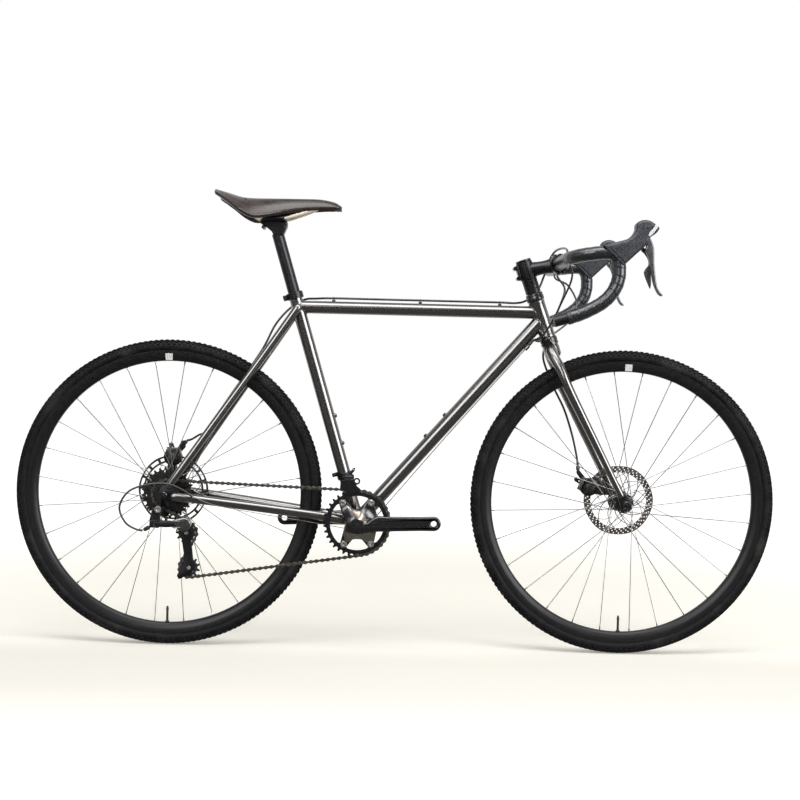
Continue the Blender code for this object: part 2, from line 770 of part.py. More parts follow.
def make_top_cap():
    """Cap on the steerer's end, dished around its bolt."""
    radius = SPACER_RADIUS + 0.0006
    top = TOP_CAP_HEIGHT
    profile = [(0, top - 0.001), (0.005, top - 0.001), (0.006, top), (radius - 0.002, top),
               (radius, top - 0.002),
               (radius, 0), (0, 0)]
    return turned(profile, on_head(STEM_TOP + CLEARANCE), HEAD_DIRECTION, 20)


# Stem and handlebar


def bar_clamp_cylinder(radius, width):
    half = LATERAL * width / 2
    return rod(BAR_CENTRE - half, BAR_CENTRE + half, radius, TUBE_SIDES)


def clamp_half(sign):
    """Block that removes the front (+1) or rear (-1) half of the bar clamp."""
    size = 0.10
    centre = BAR_CENTRE + STEM_DIRECTION * sign * (size / 2 - 0.0006)
    return block((size, size, size), centre, STEM_DIRECTION)


def make_stem():
    clamp = rod(on_head(STEM_BOTTOM + CLEARANCE), on_head(STEM_TOP), STEM_CLAMP_RADIUS, TUBE_SIDES)
    extension = rod(STEM_MIDDLE, BAR_CENTRE, STEM_TUBE_RADIUS, 16)
    holder = bar_clamp_cylinder(BAR_CLAMP_RADIUS + BAR_CLAMP_WALL, BAR_CLAMP_WIDTH)
    holder = cut(holder, clamp_half(1))
    back = HEAD_FORWARD * -0.0195
    ears = block((0.010, 0.022, 0.034), STEM_MIDDLE + back * 1.02, HEAD_FORWARD)
    body = union(clamp, extension, holder, ears)
    for shift in (-0.0118, 0.0118):
        centre = STEM_MIDDLE + back * 1.12 + HEAD_DIRECTION * shift
        body = union(body, rod(centre - LATERAL * 0.0135, centre + LATERAL * 0.0135, 0.0042, 10))
    steerer = rod(on_head(STEM_BOTTOM - 0.01), on_head(STEM_TOP + 0.01), STEERER_RADIUS + CLEARANCE, 20)
    bar = bar_clamp_cylinder(BAR_CLAMP_RADIUS + CLEARANCE, BAR_CLAMP_WIDTH + 0.02)
    return cut(body, steerer, bar)


def make_faceplate():
    holder = bar_clamp_cylinder(BAR_CLAMP_RADIUS + BAR_CLAMP_WALL, BAR_CLAMP_WIDTH)
    bar = bar_clamp_cylinder(BAR_CLAMP_RADIUS + CLEARANCE, BAR_CLAMP_WIDTH + 0.02)
    front = cut(holder, clamp_half(-1), bar)
    up = Vector((-STEM_DIRECTION.z, 0, STEM_DIRECTION.x))
    for side in (-1, 1):
        for height in (-1, 1):
            centre = BAR_CENTRE + STEM_DIRECTION * 0.0085 + up * height * 0.0182 + LATERAL * side * 0.0140
            front = union(front, rod(centre, centre + STEM_DIRECTION * 0.010, 0.0036, 8))
    return cut(front, bar_clamp_cylinder(BAR_CLAMP_RADIUS + CLEARANCE, BAR_CLAMP_WIDTH + 0.02))


def bar_path(side):
    """Centre line of one half of the handlebar: top, ramp, hook and drop."""
    x = BAR_CENTRE.x
    z = BAR_CENTRE.z
    y = BAR_HALF_WIDTH
    points = [
        (x, 0.000, z), (x, 0.030, z), (x, TAPE_START, z), (x, 0.110, z), (x + 0.0005, y - 0.058, z),
        (x + 0.006, y - 0.028, z + 0.0012), (x + 0.022, y - 0.009, z + 0.0045),
        (x + 0.043, y - 0.001, z + 0.0075),
        (x + 0.068, y, z + 0.0105), (x + 0.086, y, z + 0.0090), (x + 0.0970, y, z - 0.0055),
        (x + 0.0998, y, z - 0.0270), (x + 0.0985, y, z - 0.0440), (x + 0.0925, y, z - 0.0630),
        (x + 0.0800, y, z - 0.0815), (x + 0.0625, y, z - 0.0970), (x + 0.0380, y, z - 0.1110),
        (x + 0.0120, y, z - 0.1225), (x - 0.0340, y, z - 0.1365),
    ]
    return points if side > 0 else mirrored(points)


BAR_POINTS = 21


def make_handlebar():
    right = smooth(bar_path(-1), BAR_POINTS)
    left = smooth(bar_path(1), BAR_POINTS)
    points = [*reversed(right), *left[1:]]
    swell = BAR_CLAMP_RADIUS / BAR_RADIUS
    scale = [swell if abs(point.y) < 0.031 else 1.0 for point in points]
    return wire(points, BAR_RADIUS, 2, scale)


def tape_points(side):
    """The taped stretch of one bar half: from beside the stem to just before the bar's end."""
    start = Vector((BAR_CENTRE.x, side * TAPE_START, BAR_CENTRE.z))
    points = [point for point in smooth(bar_path(side), BAR_POINTS) if abs(point.y) > TAPE_START + 0.008]
    return [start, *points[:-1]]


def make_bar_tape(side):
    """Tape sleeve; its bore clears the corners of the bar inside it."""
    wall = TAPE_THICKNESS - CLEARANCE - BAR_RADIUS * (1 / math.cos(math.pi / 8) - 1)
    return sleeve(tape_points(side), BAR_RADIUS + TAPE_THICKNESS, wall, 2)


def tape_cutter(side):
    return wire(tape_points(side), BAR_RADIUS + TAPE_THICKNESS + CLEARANCE, 2)


HOOD_WIDTH = 0.033
HOOD_OUTLINE = beside(BAR_CENTRE, [
    (0.0773, 0.0281), (0.1099, 0.0377), (0.1218, 0.0451), (0.1298, 0.0571), (0.1309, 0.0696),
    (0.1387, 0.0772),
    (0.1506, 0.0796), (0.1626, 0.0766), (0.1727, 0.0695), (0.1795, 0.0635), (0.1735, 0.0526),
    (0.1608, 0.0431),
    (0.1558, 0.0301), (0.1338, 0.0091), (0.1113, -0.0123), (0.0953, -0.0214),
])
LEVER_PIVOT = (BAR_CENTRE.x + 0.1518, BAR_CENTRE.z + 0.0401)
LEVER_PIN_RADIUS = 0.0020
LEVER_EAR_OUTLINE = beside(BAR_CENTRE, [
    (0.1468, 0.0441), (0.1613, 0.0456), (0.1628, 0.0276), (0.1568, 0.0236), (0.1468, 0.0346),
])
HOOD_SLOT_OUTLINE = beside(BAR_CENTRE, [(0.1458, 0.0486), (0.1703, 0.0526), (0.1818, 0.0456),
                                        (0.1818, -0.0074), (0.1333, -0.0074),
                     (0.1333, 0.0246)])
HOOD_SLOT_Y = BAR_HALF_WIDTH - 0.0020
HOOD_SLOT_WIDTH = 0.0230
LEVER_OUTLINE = beside(BAR_CENTRE, [
    (0.1618, 0.0416), (0.1689, 0.0273), (0.1705, 0.0151), (0.1721, -0.0140), (0.1780, -0.0528),
    (0.1851, -0.0689),
    (0.1909, -0.0744), (0.1901, -0.0779), (0.1858, -0.0776), (0.1786, -0.0704), (0.1695, -0.0510),
    (0.1643, -0.0142),
    (0.1608, 0.0056), (0.1578, 0.0131), (0.1601, 0.0236), (0.1578, 0.0356),
])
LEVER_Y = BAR_HALF_WIDTH + 0.002
LEVER_WIDTH = 0.012
PADDLE_OUTLINE = beside(BAR_CENTRE, [
    (0.1503, 0.0176), (0.1548, 0.0191), (0.1618, -0.0074), (0.1633, -0.0244), (0.1678, -0.0504),
    (0.1668, -0.0628),
    (0.1581, -0.0471), (0.1523, -0.0316), (0.1558, -0.0194), (0.1558, -0.0054), (0.1483, 0.0156),
])
PADDLE_HEIGHT = BAR_CENTRE.z + 0.0171
PADDLE_EYE = (BAR_CENTRE.x + 0.1483, BAR_CENTRE.x + 0.1583)
PADDLE_EYE_RADIUS = 0.0040
PADDLE_PIN_RADIUS = 0.0015
PADDLE_THICKNESS = 0.0035
PADDLE_Y = BAR_HALF_WIDTH - 0.0085


def side_plate(outline, y, thickness, bevel=0.0):
    """Outline in the XZ plane at y, with rounded edges where bevel is given."""
    obj = plate(outline, thickness, (0, y, 0))
    if bevel:
        rounding = obj.modifiers.new("bevel", "BEVEL")
        rounding.width = bevel
        rounding.segments = 1
        rounding.limit_method = "ANGLE"
        rounding.angle_limit = math.radians(60)
        obj = bake(obj)
    return obj


def make_hood(side):
    """Rubber hood on its bracket, hollowed below the horn where the lever hangs on its pin."""
    body = side_plate(HOOD_OUTLINE, side * BAR_HALF_WIDTH, HOOD_WIDTH, 0.006)
    slot = side_plate(HOOD_SLOT_OUTLINE, side * HOOD_SLOT_Y, HOOD_SLOT_WIDTH)
    pin = lever_pin(side, HOOD_SLOT_WIDTH / 2 + 0.002, LEVER_PIN_RADIUS)
    return union(cut(body, tape_cutter(side), slot), pin)


def lever_pin(side, reach, radius):
    """Rod on the lever's axis, across the hood's slot."""
    x, z = LEVER_PIVOT
    y = side * HOOD_SLOT_Y
    return rod((x, y - reach, z), (x, y + reach, z), radius, 8)


def paddle_pin(side, start, end, radius):
    """Rod on the shift paddle's axis, which runs fore and aft."""
    y = side * PADDLE_Y
    return rod((start, y, PADDLE_HEIGHT), (end, y, PADDLE_HEIGHT), radius, 8)


def make_brake_lever(side):
    """Lever blade with its ear on the hood's pin and the lug and pin that carry the shift paddle."""
    blade = side_plate(LEVER_OUTLINE, side * LEVER_Y, LEVER_WIDTH, 0.003)
    ear = side_plate(LEVER_EAR_OUTLINE, side * LEVER_Y, 0.0090)
    lug = block((0.0040, 0.0090, 0.0080), (PADDLE_EYE[1] + 0.0027, side * (PADDLE_Y + 0.0020),
                                           PADDLE_HEIGHT))
    pin = paddle_pin(side, PADDLE_EYE[0] - 0.0010, PADDLE_EYE[1] + 0.0020, PADDLE_PIN_RADIUS)
    hole = lever_pin(side, LEVER_WIDTH * 2, LEVER_PIN_RADIUS + CLEARANCE)
    return cut(union(blade, ear, lug, pin), hole)


def make_shift_paddle(side):
    """Shift paddle behind the lever blade, with an eye on the lever's pin."""
    blade = side_plate(PADDLE_OUTLINE, side * PADDLE_Y, PADDLE_THICKNESS)
    eye = paddle_pin(side, *PADDLE_EYE, PADDLE_EYE_RADIUS)
    bore = paddle_pin(side, PADDLE_EYE[0] - 0.01, PADDLE_EYE[1] + 0.01, PADDLE_PIN_RADIUS + CLEARANCE)
    return cut(union(blade, eye), bore)


# Wheels


def make_tyre(hub):
    half = TYRE_WIDTH / 2
    seat = RIM_WIDTH / 2 - RIM_WALL - CLEARANCE
    bead = RIM_OUTER_RADIUS + CLEARANCE
    foot = RIM_OUTER_RADIUS - 0.0060
    side = [
        (TYRE_RADIUS, 0.0050), (TYRE_RADIUS - 0.0110, half), (bead, half * 0.80), (bead, seat),
        (foot, seat),
    ]
    profile = [*side, *[(radius, -height) for radius, height in reversed(side)]]
    return turned(profile, hub, LATERAL, WHEEL_STEPS, closed=True)


def make_rim(hub):
    """Deep rim with a channel for the tyre, and the valve that stands out of it."""
    half = RIM_WIDTH / 2
    channel = RIM_OUTER_RADIUS - 0.0065
    profile = [
        (RIM_OUTER_RADIUS, -half), (RIM_INNER_RADIUS + 0.012, -half + 0.0010), (RIM_INNER_RADIUS, -0.0055),
        (RIM_INNER_RADIUS, 0.0055), (RIM_INNER_RADIUS + 0.012, half - 0.0010), (RIM_OUTER_RADIUS, half),
        (RIM_OUTER_RADIUS, half - RIM_WALL), (channel, half - RIM_WALL), (channel, -half + RIM_WALL),
        (RIM_OUTER_RADIUS, -half + RIM_WALL),
    ]
    hoop = turned(profile, hub, LATERAL, WHEEL_STEPS, closed=True)
    down = Vector((0, 0, -1))
    foot = hub + down * (RIM_INNER_RADIUS + 0.004)
    return union(hoop, rod(foot, foot - down * VALVE_LENGTH, VALVE_RADIUS, 8))


def spoke_line(hub, index, flanges, first):
    """Ends of one spoke: in the face of its flange, and just under the rim."""
    rim_angle = first + 2 * math.pi * index / SPOKES
    side = 1 if index % 2 else -1
    leading = 1 if (index // 2) % 2 else -1
    flange_angle = rim_angle + leading * SPOKE_CROSSES * 2 * math.pi / (SPOKES / 2) * 0.97
    flange_y = flanges[0] if side < 0 else flanges[1]
    hole = FLANGE_RADIUS - 0.0030
    start = Vector((hole * math.cos(flange_angle),
                    flange_y + leading * side * (FLANGE_THICKNESS / 2 - CLEARANCE),
                    hole * math.sin(flange_angle)))
    reach = RIM_INNER_RADIUS * math.cos(math.pi / WHEEL_STEPS) - 2 * CLEARANCE
    end = Vector((reach * math.cos(rim_angle), side * 0.0020, reach * math.sin(rim_angle)))
    return hub + start, hub + end


HUB_BODY_RADIUS = 0.0115
HUB_BORE = AXLE_RADIUS + CLEARANCE * 2
FRONT_FLANGES = (-0.0270, 0.0240)
REAR_FLANGES = (-0.0200, 0.0330)
FREEHUB_RADIUS = 0.0120


def hub_profile(flanges, rotor_y, end):
    """Hub shell from its left end to its right end: cap, lock ring, rotor seat, flanges and barrel."""
    outer_face = rotor_y + ROTOR_THICKNESS / 2 + CLEARANCE
    inner_face = rotor_y - ROTOR_THICKNESS / 2 - CLEARANCE
    seat = ROTOR_BORE - CLEARANCE
    half = FLANGE_THICKNESS / 2
    return [
        (0.0095, end), (0.0095, outer_face + 0.0030), (0.0205, outer_face + 0.0030), (0.0205, outer_face),
        (seat, outer_face), (seat, inner_face), (FLANGE_RADIUS, inner_face),
        (FLANGE_RADIUS, inner_face - 0.0030),
        (0.0150, inner_face - 0.0045), (0.0150, flanges[1] + half), (FLANGE_RADIUS, flanges[1] + half),
        (FLANGE_RADIUS, flanges[1] - half), (HUB_BODY_RADIUS, flanges[1] - half - 0.004),
        (HUB_BODY_RADIUS, flanges[0] + half + 0.004), (FLANGE_RADIUS, flanges[0] + half),
        (FLANGE_RADIUS, flanges[0] - half), (FREEHUB_RADIUS, flanges[0] - half), (FREEHUB_RADIUS, -end),
        (HUB_BORE, -end), (HUB_BORE, end),
    ]


def make_hub(hub, flanges, rotor_y, spacing, first):
    """Hub laced with its spokes, which stop just short of the rim."""
    profile = hub_profile(flanges, rotor_y, spacing / 2 - CLEARANCE)
    shell = turned(profile, hub, LATERAL, 12, closed=True)
    lines = [spoke_line(hub, index, flanges, first) for index in range(SPOKES)]
    return union(shell, *[rod(start, end, SPOKE_RADIUS, 3) for start, end in lines])


def make_rotor(hub, rotor_y):
    """Disc with a braking band, a centre ring and six slanted arms."""
    band_inner = ROTOR_RADIUS - ROTOR_BAND
    windows = []
    for arm in range(6):
        outer = arc((0, 0), band_inner, 60 * arm + 4, 60 * arm + 53, 4)
        inner = arc((0, 0), 0.0300, 60 * arm + 78, 60 * arm + 45, 3)
        windows.append([*outer, *inner])
    origin = (hub.x, rotor_y, hub.z)
    holes = [circle((0, 0), ROTOR_BORE, 16), *windows]
    return plate(circle((0, 0), ROTOR_RADIUS, 24), ROTOR_THICKNESS, origin, holes)


def make_axle(hub, inner, thickness):
    """Axle with its skewer: a nut on the drive side and the cam's cap on the left."""
    face = inner + thickness + CLEARANCE
    inside = face + 0.002
    shaft = rod(hub - LATERAL * inside, hub + LATERAL * inside, AXLE_RADIUS, 12)
    nut = rod(hub - LATERAL * (face + 0.011), hub - LATERAL * face, 0.0080, 12, 0.0095)
    cap = rod(hub + LATERAL * face, hub + LATERAL * (face + 0.0100), 0.0095, 12)
    joined = union(shaft, nut, cap)
    return joined


QR_BOSS_RADIUS = 0.0060
QR_LENGTH = 0.052


def qr_pivot(hub, inner, thickness):
    return hub + LATERAL * (inner + thickness + CLEARANCE + 0.0100 + CLEARANCE + QR_BOSS_RADIUS)


def make_qr_lever(pivot, direction):
    """Quick release lever: a cam barrel across the skewer and a dished blade."""
    direction = Vector(direction).normalized()
    across = LATERAL.cross(direction)
    barrel = rod(pivot - across * 0.0080, pivot + across * 0.0080, QR_BOSS_RADIUS, 12)
    path = [pivot + direction * 0.003, pivot + direction * 0.018 + LATERAL * 0.002,
            pivot + direction * 0.036 - LATERAL * 0.0010, pivot + direction * QR_LENGTH + LATERAL * 0.001]
    blade = wire(smooth(path, 7), 0.0048, 1, [0.8, 0.8, 0.9, 1.0, 1.1, 1.1, 0.8])
    return union(barrel, blade)


# Disc brakes


def caliper_frame(hub, rotor_y, angle):
    """Radial and tangential axes at the pads' centre, and that centre."""
    radial = Vector((math.cos(angle), 0, math.sin(angle)))
    tangent = Vector((-math.sin(angle), 0, math.cos(angle)))
    centre = Vector((hub.x, rotor_y, hub.z)) + radial * CALIPER_RADIUS
    return centre, radial, tangent


# Where each brake housing ends, against the barrel on its calliper
FRONT_CABLE_END = FRONT_HUB + Vector((-0.0909, 0.0678, 0.0760))
REAR_CABLE_END = REAR_HUB + Vector((0.0240, 0.0803, 0.1116))
FRONT_STOP_OUTLINE = beside(FRONT_HUB, [
    (-0.0945, 0.0645), (-0.0870, 0.0645), (-0.0675, 0.0420), (-0.0785, 0.0360), (-0.0945, 0.0580),
])
REAR_STOP_OUTLINE = beside(REAR_HUB, [
    (0.0130, 0.1120), (0.0225, 0.1120), (0.0225, 0.0960), (0.0115, 0.0840), (0.0015, 0.0900),
])
BARREL_RADIUS = 0.0045
BARREL_LENGTH = 0.0115
STOP_PLATE = 0.0060
FRONT_FOOT_OUTLINE = beside(FRONT_HUB, [
    (-0.0615, 0.0120), (-0.0315, 0.0120), (-0.0375, 0.0360), (-0.0455, 0.0520), (-0.0615, 0.0520),
])
FRONT_FOOT_Y = (0.0425, FRONT_TAB_Y - FRONT_TAB_THICKNESS / 2 - CLEARANCE)
REAR_FOOT_OUTLINE = beside(REAR_HUB, [
    (-0.0145, 0.0420), (0.0035, 0.0420), (0.0035, 0.0680), (-0.0145, 0.0680),
])
REAR_FOOT_Y = (0.0560, REAR_SPACING / 2 - CLEARANCE)
CALIPER_INNER = 0.0125
CALIPER_OUTER = 0.0200
ARM_THICKNESS = 0.004
ARM_PIN_RADIUS = 0.0030
CAM_HEIGHT = 0.0060


def cable_stop(face_y, outline, housing):
    """Stop for a brake housing: a plate beside the cam housing with a barrel that the cable runs through."""
    holder = side_plate(outline, face_y - 0.0010 - STOP_PLATE / 2, STOP_PLATE)
    end = housing[-1]
    along = (end - housing[-2]).normalized()
    barrel = rod(end + along * CLEARANCE, end + along * BARREL_LENGTH, BARREL_RADIUS, 8)
    bore = rod(end, end + along * 2 * BARREL_LENGTH, WIRE_RADIUS + CLEARANCE, 6)
    return cut(union(holder, barrel), bore)


def make_caliper(hub, rotor_y, angle, bracket, bracket_y, stop):
    """Body that straddles the rotor, with its cam housing, pad knob, cable stop and bracket."""
    centre, radial, tangent = caliper_frame(hub, rotor_y, angle)
    middle = centre + radial * 0.006 + LATERAL * (CALIPER_OUTER - CALIPER_INNER) / 2
    body = block((0.034, CALIPER_OUTER + CALIPER_INNER, 0.042), middle, radial, 0.004)
    face = centre + LATERAL * (CALIPER_OUTER + CAM_HEIGHT)
    housing = rod(centre + LATERAL * (CALIPER_OUTER - 0.004), face, 0.0155, 16)
    knob = rod(centre - LATERAL * (CALIPER_INNER + 0.002), centre - LATERAL * (CALIPER_INNER - 0.004),
               0.0120, 12)
    foot = side_plate(bracket, sum(bracket_y) / 2, bracket_y[1] - bracket_y[0])
    pin = rod(face - LATERAL * 0.002, face + LATERAL * 0.0055, ARM_PIN_RADIUS, 8)
    body = union(body, housing, knob, foot, pin, cable_stop(face.y, *stop))
    slot_size = (0.060, ROTOR_THICKNESS + 0.0016, 0.070)
    slot = block(slot_size, centre - radial * (0.030 - (ROTOR_RADIUS - CALIPER_RADIUS) - 0.0020), radial)
    return cut(body, slot)


def arm_origin(hub, rotor_y, angle):
    centre = caliper_frame(hub, rotor_y, angle)[0]
    return centre + LATERAL * (CALIPER_OUTER + CAM_HEIGHT + CLEARANCE)


def make_caliper_arm(hub, rotor_y, angle, arm_angle):
    """Actuating arm on the outside of the cam housing."""
    origin = arm_origin(hub, rotor_y, angle)
    tip = (ACTUATOR_ARM_LENGTH * math.cos(arm_angle), ACTUATOR_ARM_LENGTH * math.sin(arm_angle))
    degrees = math.degrees(arm_angle)
    outline = [*arc((0, 0), 0.0100, degrees + 70, degrees + 290, 8),
               *arc(tip, 0.0055, degrees - 90, degrees + 90, 5)]
    holes = [circle(tip, 0.0022, 6), circle((0, 0), ARM_PIN_RADIUS + CLEARANCE, 10)]
    return plate(outline, ARM_THICKNESS, origin + LATERAL * ARM_THICKNESS / 2, holes)


# Cranks and chainring


def crank_frame(angle):
    return Matrix.Translation(BOTTOM_BRACKET) @ Matrix.Rotation(-angle, 4, "Y")


def crank_plate(outline, inner, thickness, side, angle, holes=()):
    """Plate in the crank's own plane; inner is the distance of its inner face from the bike's middle."""
    lift = LATERAL * side * (inner + thickness / 2)
    placed = Matrix.Translation(lift) @ crank_frame(angle) @ Matrix.Rotation(math.pi / 2, 4, "X")
    return plate(outline, thickness, (0, 0, 0), holes, placed)


def arm_outline(root_radius):
    half = CRANK_WIDTH / 2
    return [*arc((0, 0), root_radius, 60, 300, 11), (0.040, -half), *arc((CRANK_LENGTH, 0), half, -90, 90,
                                                                         9),
            (0.040, half)]


def bolt_point(degrees):
    angle = math.radians(degrees)
    return (BOLT_CIRCLE_RADIUS * math.cos(angle), BOLT_CIRCLE_RADIUS * math.sin(angle))


SPIDER_VALLEYS = ((90, 0.032), (181, 0.028), (270, 0.036))
SPIDER_INNER = -RING_Y + RING_THICKNESS / 2 + CLEARANCE
SPIDER_THICKNESS = 0.0060
BOLT_HOLE_RADIUS = 0.0044
RING_BOLT_SHANK = BOLT_HOLE_RADIUS - 2 * CLEARANCE
RING_BOLT_HEAD = 0.0058


def spider_outline():
    """Four arms that end in round pads at the bolts, with deep valleys between them."""
    points = []
    valleys = {55: None, 125: SPIDER_VALLEYS[0], 237: SPIDER_VALLEYS[1], 303: SPIDER_VALLEYS[2]}
    for degrees in BOLT_ANGLES:
        valley = valleys[int(degrees)]
        if valley:
            points.extend(arc((0, 0), valley[1], valley[0] - 12, valley[0] + 12, 3))
        points.extend(arc(bolt_point(degrees), 0.0085, degrees - 80, degrees + 80, 5))
    points.append((0.040, -CRANK_WIDTH / 2))
    points.append((0.046, CRANK_WIDTH / 2))
    return points


def make_crank_right():
    """Right crank with its spider, ring bolts and spindle."""
    spider = crank_plate(spider_outline(), SPIDER_INNER, SPIDER_THICKNESS, -1, CRANK_ANGLE)
    pedal = circle((CRANK_LENGTH, 0), PEDAL_HOLE_RADIUS, 12)
    arm = crank_plate(arm_outline(0.0230), CRANK_INNER_Y, CRANK_THICKNESS, -1, CRANK_ANGLE, [pedal])
    neck_low = BOTTOM_BRACKET - LATERAL * (SPIDER_INNER + 0.001)
    neck = rod(neck_low, BOTTOM_BRACKET - LATERAL * (CRANK_INNER_Y + 0.002), 0.0230, 20)
    spindle = rod(BOTTOM_BRACKET - LATERAL * (CRANK_INNER_Y + 0.001),
                  BOTTOM_BRACKET + LATERAL * (CRANK_INNER_Y + CRANK_THICKNESS - 0.002), SPINDLE_RADIUS, 16)
    return union(spider, neck, arm, spindle, *ring_bolts())


def make_crank_left():
    angle = CRANK_ANGLE + math.pi
    holes = [circle((CRANK_LENGTH, 0), PEDAL_HOLE_RADIUS, 12), circle((0, 0), SPINDLE_RADIUS + CLEARANCE,
                                                                      16)]
    return crank_plate(arm_outline(0.0200), CRANK_INNER_Y, CRANK_THICKNESS, 1, angle, holes)


def toothed(teeth, root, tip):
    """Outline of a sprocket with pointed teeth."""
    points = []
    for tooth in range(teeth):
        for share, radius in ((0.0, root), (0.5, tip)):
            angle = 2 * math.pi * (tooth + share) / teeth
            points.append((radius * math.cos(angle), radius * math.sin(angle)))
    return points


def make_chainring():
    """Ring with four tabs that reach inwards to the bolts."""
    inner = 0.0605
    radius = pitch_radius(RING_TEETH)
    hole = []
    for i, degrees in enumerate(BOLT_ANGLES):
        following = BOLT_ANGLES[(i + 1) % 4] + (360 if i == 3 else 0)
        hole.extend(arc(bolt_point(degrees), 0.0080, degrees + 290, degrees + 70, 5))
        hole.extend(arc((0, 0), inner, degrees + 12, following - 12, 7))
    outline = toothed(RING_TEETH, radius - 0.0040, radius + 0.0036)
    holes = [hole, *[circle(bolt_point(degrees), BOLT_HOLE_RADIUS, 8) for degrees in BOLT_ANGLES]]
    return crank_plate(outline, -RING_Y - RING_THICKNESS / 2, RING_THICKNESS, -1, CRANK_ANGLE, holes)


def ring_bolts():
    """Chainring bolts, fast in the spider: heads outside, shanks through the ring and nuts behind it."""
    back = -RING_Y - RING_THICKNESS / 2 - CLEARANCE
    front = SPIDER_INNER + SPIDER_THICKNESS
    stages = ((back - 0.0012, back, RING_BOLT_HEAD), (back - 0.0006, front, RING_BOLT_SHANK),
              (front - 0.001, front + 0.002, RING_BOLT_HEAD))
    bolts = []
    for x, z in map(bolt_point, BOLT_ANGLES):
        centre = crank_frame(CRANK_ANGLE) @ Vector((x, 0, z))
        bolts.extend(rod(centre - LATERAL * low, centre - LATERAL * high, radius, 6)
                     for low, high, radius in stages)
    return bolts


def sprocket_y(index):
    return SMALLEST_SPROCKET_Y + SPROCKET_PITCH * index


CHAIN_Y = sprocket_y(CHAIN_SPROCKET)
CASSETTE_BORE = FREEHUB_RADIUS + CLEARANCE


def make_cassette():
    """Ten sprockets as steps, with free grooves on both sides of the one that carries the chain."""
    half = SPROCKET_THICKNESS / 2
    groove = 0.0225
    profile = [(0.0160, sprocket_y(0) - half - 0.0016), (0.0160, sprocket_y(0) - half)]
    for index, teeth in enumerate(SPROCKETS):
        radius = pitch_radius(teeth) + 0.0010
        y = sprocket_y(index)
        beside_chain = index in (CHAIN_SPROCKET - 1, CHAIN_SPROCKET)
        last = index == len(SPROCKETS) - 1
        profile.append((radius, y - half))
        profile.append((radius, y + half if beside_chain or last else sprocket_y(index + 1) - half))
        if beside_chain:
            profile.append((groove, y + half))
            profile.append((groove, sprocket_y(index + 1) - half))
    profile.append((CASSETTE_BORE, profile[-1][1]))
    profile.append((CASSETTE_BORE, profile[0][1]))
    upward = [(radius, height) for radius, height in reversed(profile)]
    return turned(upward, REAR_HUB, LATERAL, 15, closed=True)


# Chain


def belt_circles():
    """Sprockets along the chain's travel: centre, pitch radius, turning sense and y."""
    ring = (BOTTOM_BRACKET.x, BOTTOM_BRACKET.z)
    rear = (REAR_HUB.x, REAR_HUB.z)
    pulley = pitch_radius(PULLEY_TEETH)
    return [
        (ring, pitch_radius(RING_TEETH), 1, RING_Y),
        (TENSION_PULLEY, pulley, 1, CHAIN_Y),
        (GUIDE_PULLEY, pulley, -1, CHAIN_Y),
        (rear, pitch_radius(SPROCKETS[CHAIN_SPROCKET]), 1, CHAIN_Y),
    ]


def tangent_points(first, second):
    """Where a belt leaves one sprocket and meets the next; a sense of 1 turns clockwise."""
    (ax, az), ra, sense_a, _ = first
    (bx, bz), rb, sense_b, _ = second
    dx = bx - ax
    dz = bz - az
    distance = math.hypot(dx, dz)
    along = math.atan2(dz, dx)
    offset = math.acos((ra * sense_a - rb * sense_b) / distance)
    angle = along + offset
    leave = (ax + ra * sense_a * math.cos(angle), az + ra * sense_a * math.sin(angle))
    meet = (bx + rb * sense_b * math.cos(angle), bz + rb * sense_b * math.sin(angle))
    return leave, meet


def chain_path():
    """Closed path of the chain's pitch line, and those of its points that lie on the long free runs."""
    circles = belt_circles()
    tangents = [tangent_points(circles[i], circles[(i + 1) % 4]) for i in range(4)]
    points = []
    free = []
    for i, ((cx, cz), radius, sense, y) in enumerate(circles):
        arrive = tangents[i - 1][1]
        leave = tangents[i][0]
        start = math.atan2(arrive[1] - cz, arrive[0] - cx)
        end = math.atan2(leave[1] - cz, leave[0] - cx)
        sweep = (start - end) % (2 * math.pi) if sense > 0 else (end - start) % (2 * math.pi)
        count = max(4, int(sweep * radius / 0.022) + 2)
        for step in range(count):
            angle = start - sense * sweep * step / (count - 1)
            points.append(Vector((cx + radius * math.cos(angle), y, cz + radius * math.sin(angle))))
        reach = Vector(tangents[i][1]) - Vector(leave)
        if reach.length > 0.15:
            following = circles[(i + 1) % 4][3]
            for share in (0.25, 0.5, 0.75):
                spot = Vector(leave) + reach * share
                points.append(Vector((spot.x, y + (following - y) * share, spot.y)))
                free.append(points[-1])
    return points, free


def side_band(points, y_inner, y_outer, height):
    """Closed band beside the pitch line: the row of link plates on one side of the chain."""
    mesh = bpy.data.meshes.new("band")
    bm = bmesh.new()
    rows = []
    count = len(points)
    for i, point in enumerate(points):
        along = (points[(i + 1) % count] - points[i - 1])
        along.y = 0
        outward = along.normalized().cross(LATERAL)
        corners = [(y_inner, -height), (y_outer, -height), (y_outer, height), (y_inner, height)]
        rows.append([bm.verts.new(point + LATERAL * y + outward * h) for y, h in corners])
    for i in range(count):
        for k in range(4):
            following = rows[(i + 1) % count]
            bm.faces.new((rows[i][k], rows[i][(k + 1) % 4], following[(k + 1) % 4], following[k]))
    bmesh.ops.recalc_face_normals(bm, faces=bm.faces)
    bm.to_mesh(mesh)
    bm.free()
    return bake(new_object(mesh))


def make_chain():
    """Both rows of plates, tied by the pins in the chain's free runs."""
    points, free = chain_path()
    left = side_band(points, CHAIN_INNER_HALF, CHAIN_OUTER_HALF, CHAIN_HALF_HEIGHT)
    right = side_band(points, -CHAIN_OUTER_HALF, -CHAIN_INNER_HALF, CHAIN_HALF_HEIGHT)
    reach = LATERAL * (CHAIN_INNER_HALF + CHAIN_OUTER_HALF) / 2
    return union(left, right, *[rod(point - reach, point + reach, CHAIN_ROLLER_RADIUS, 8)
                                for point in free])


# Rear derailleur

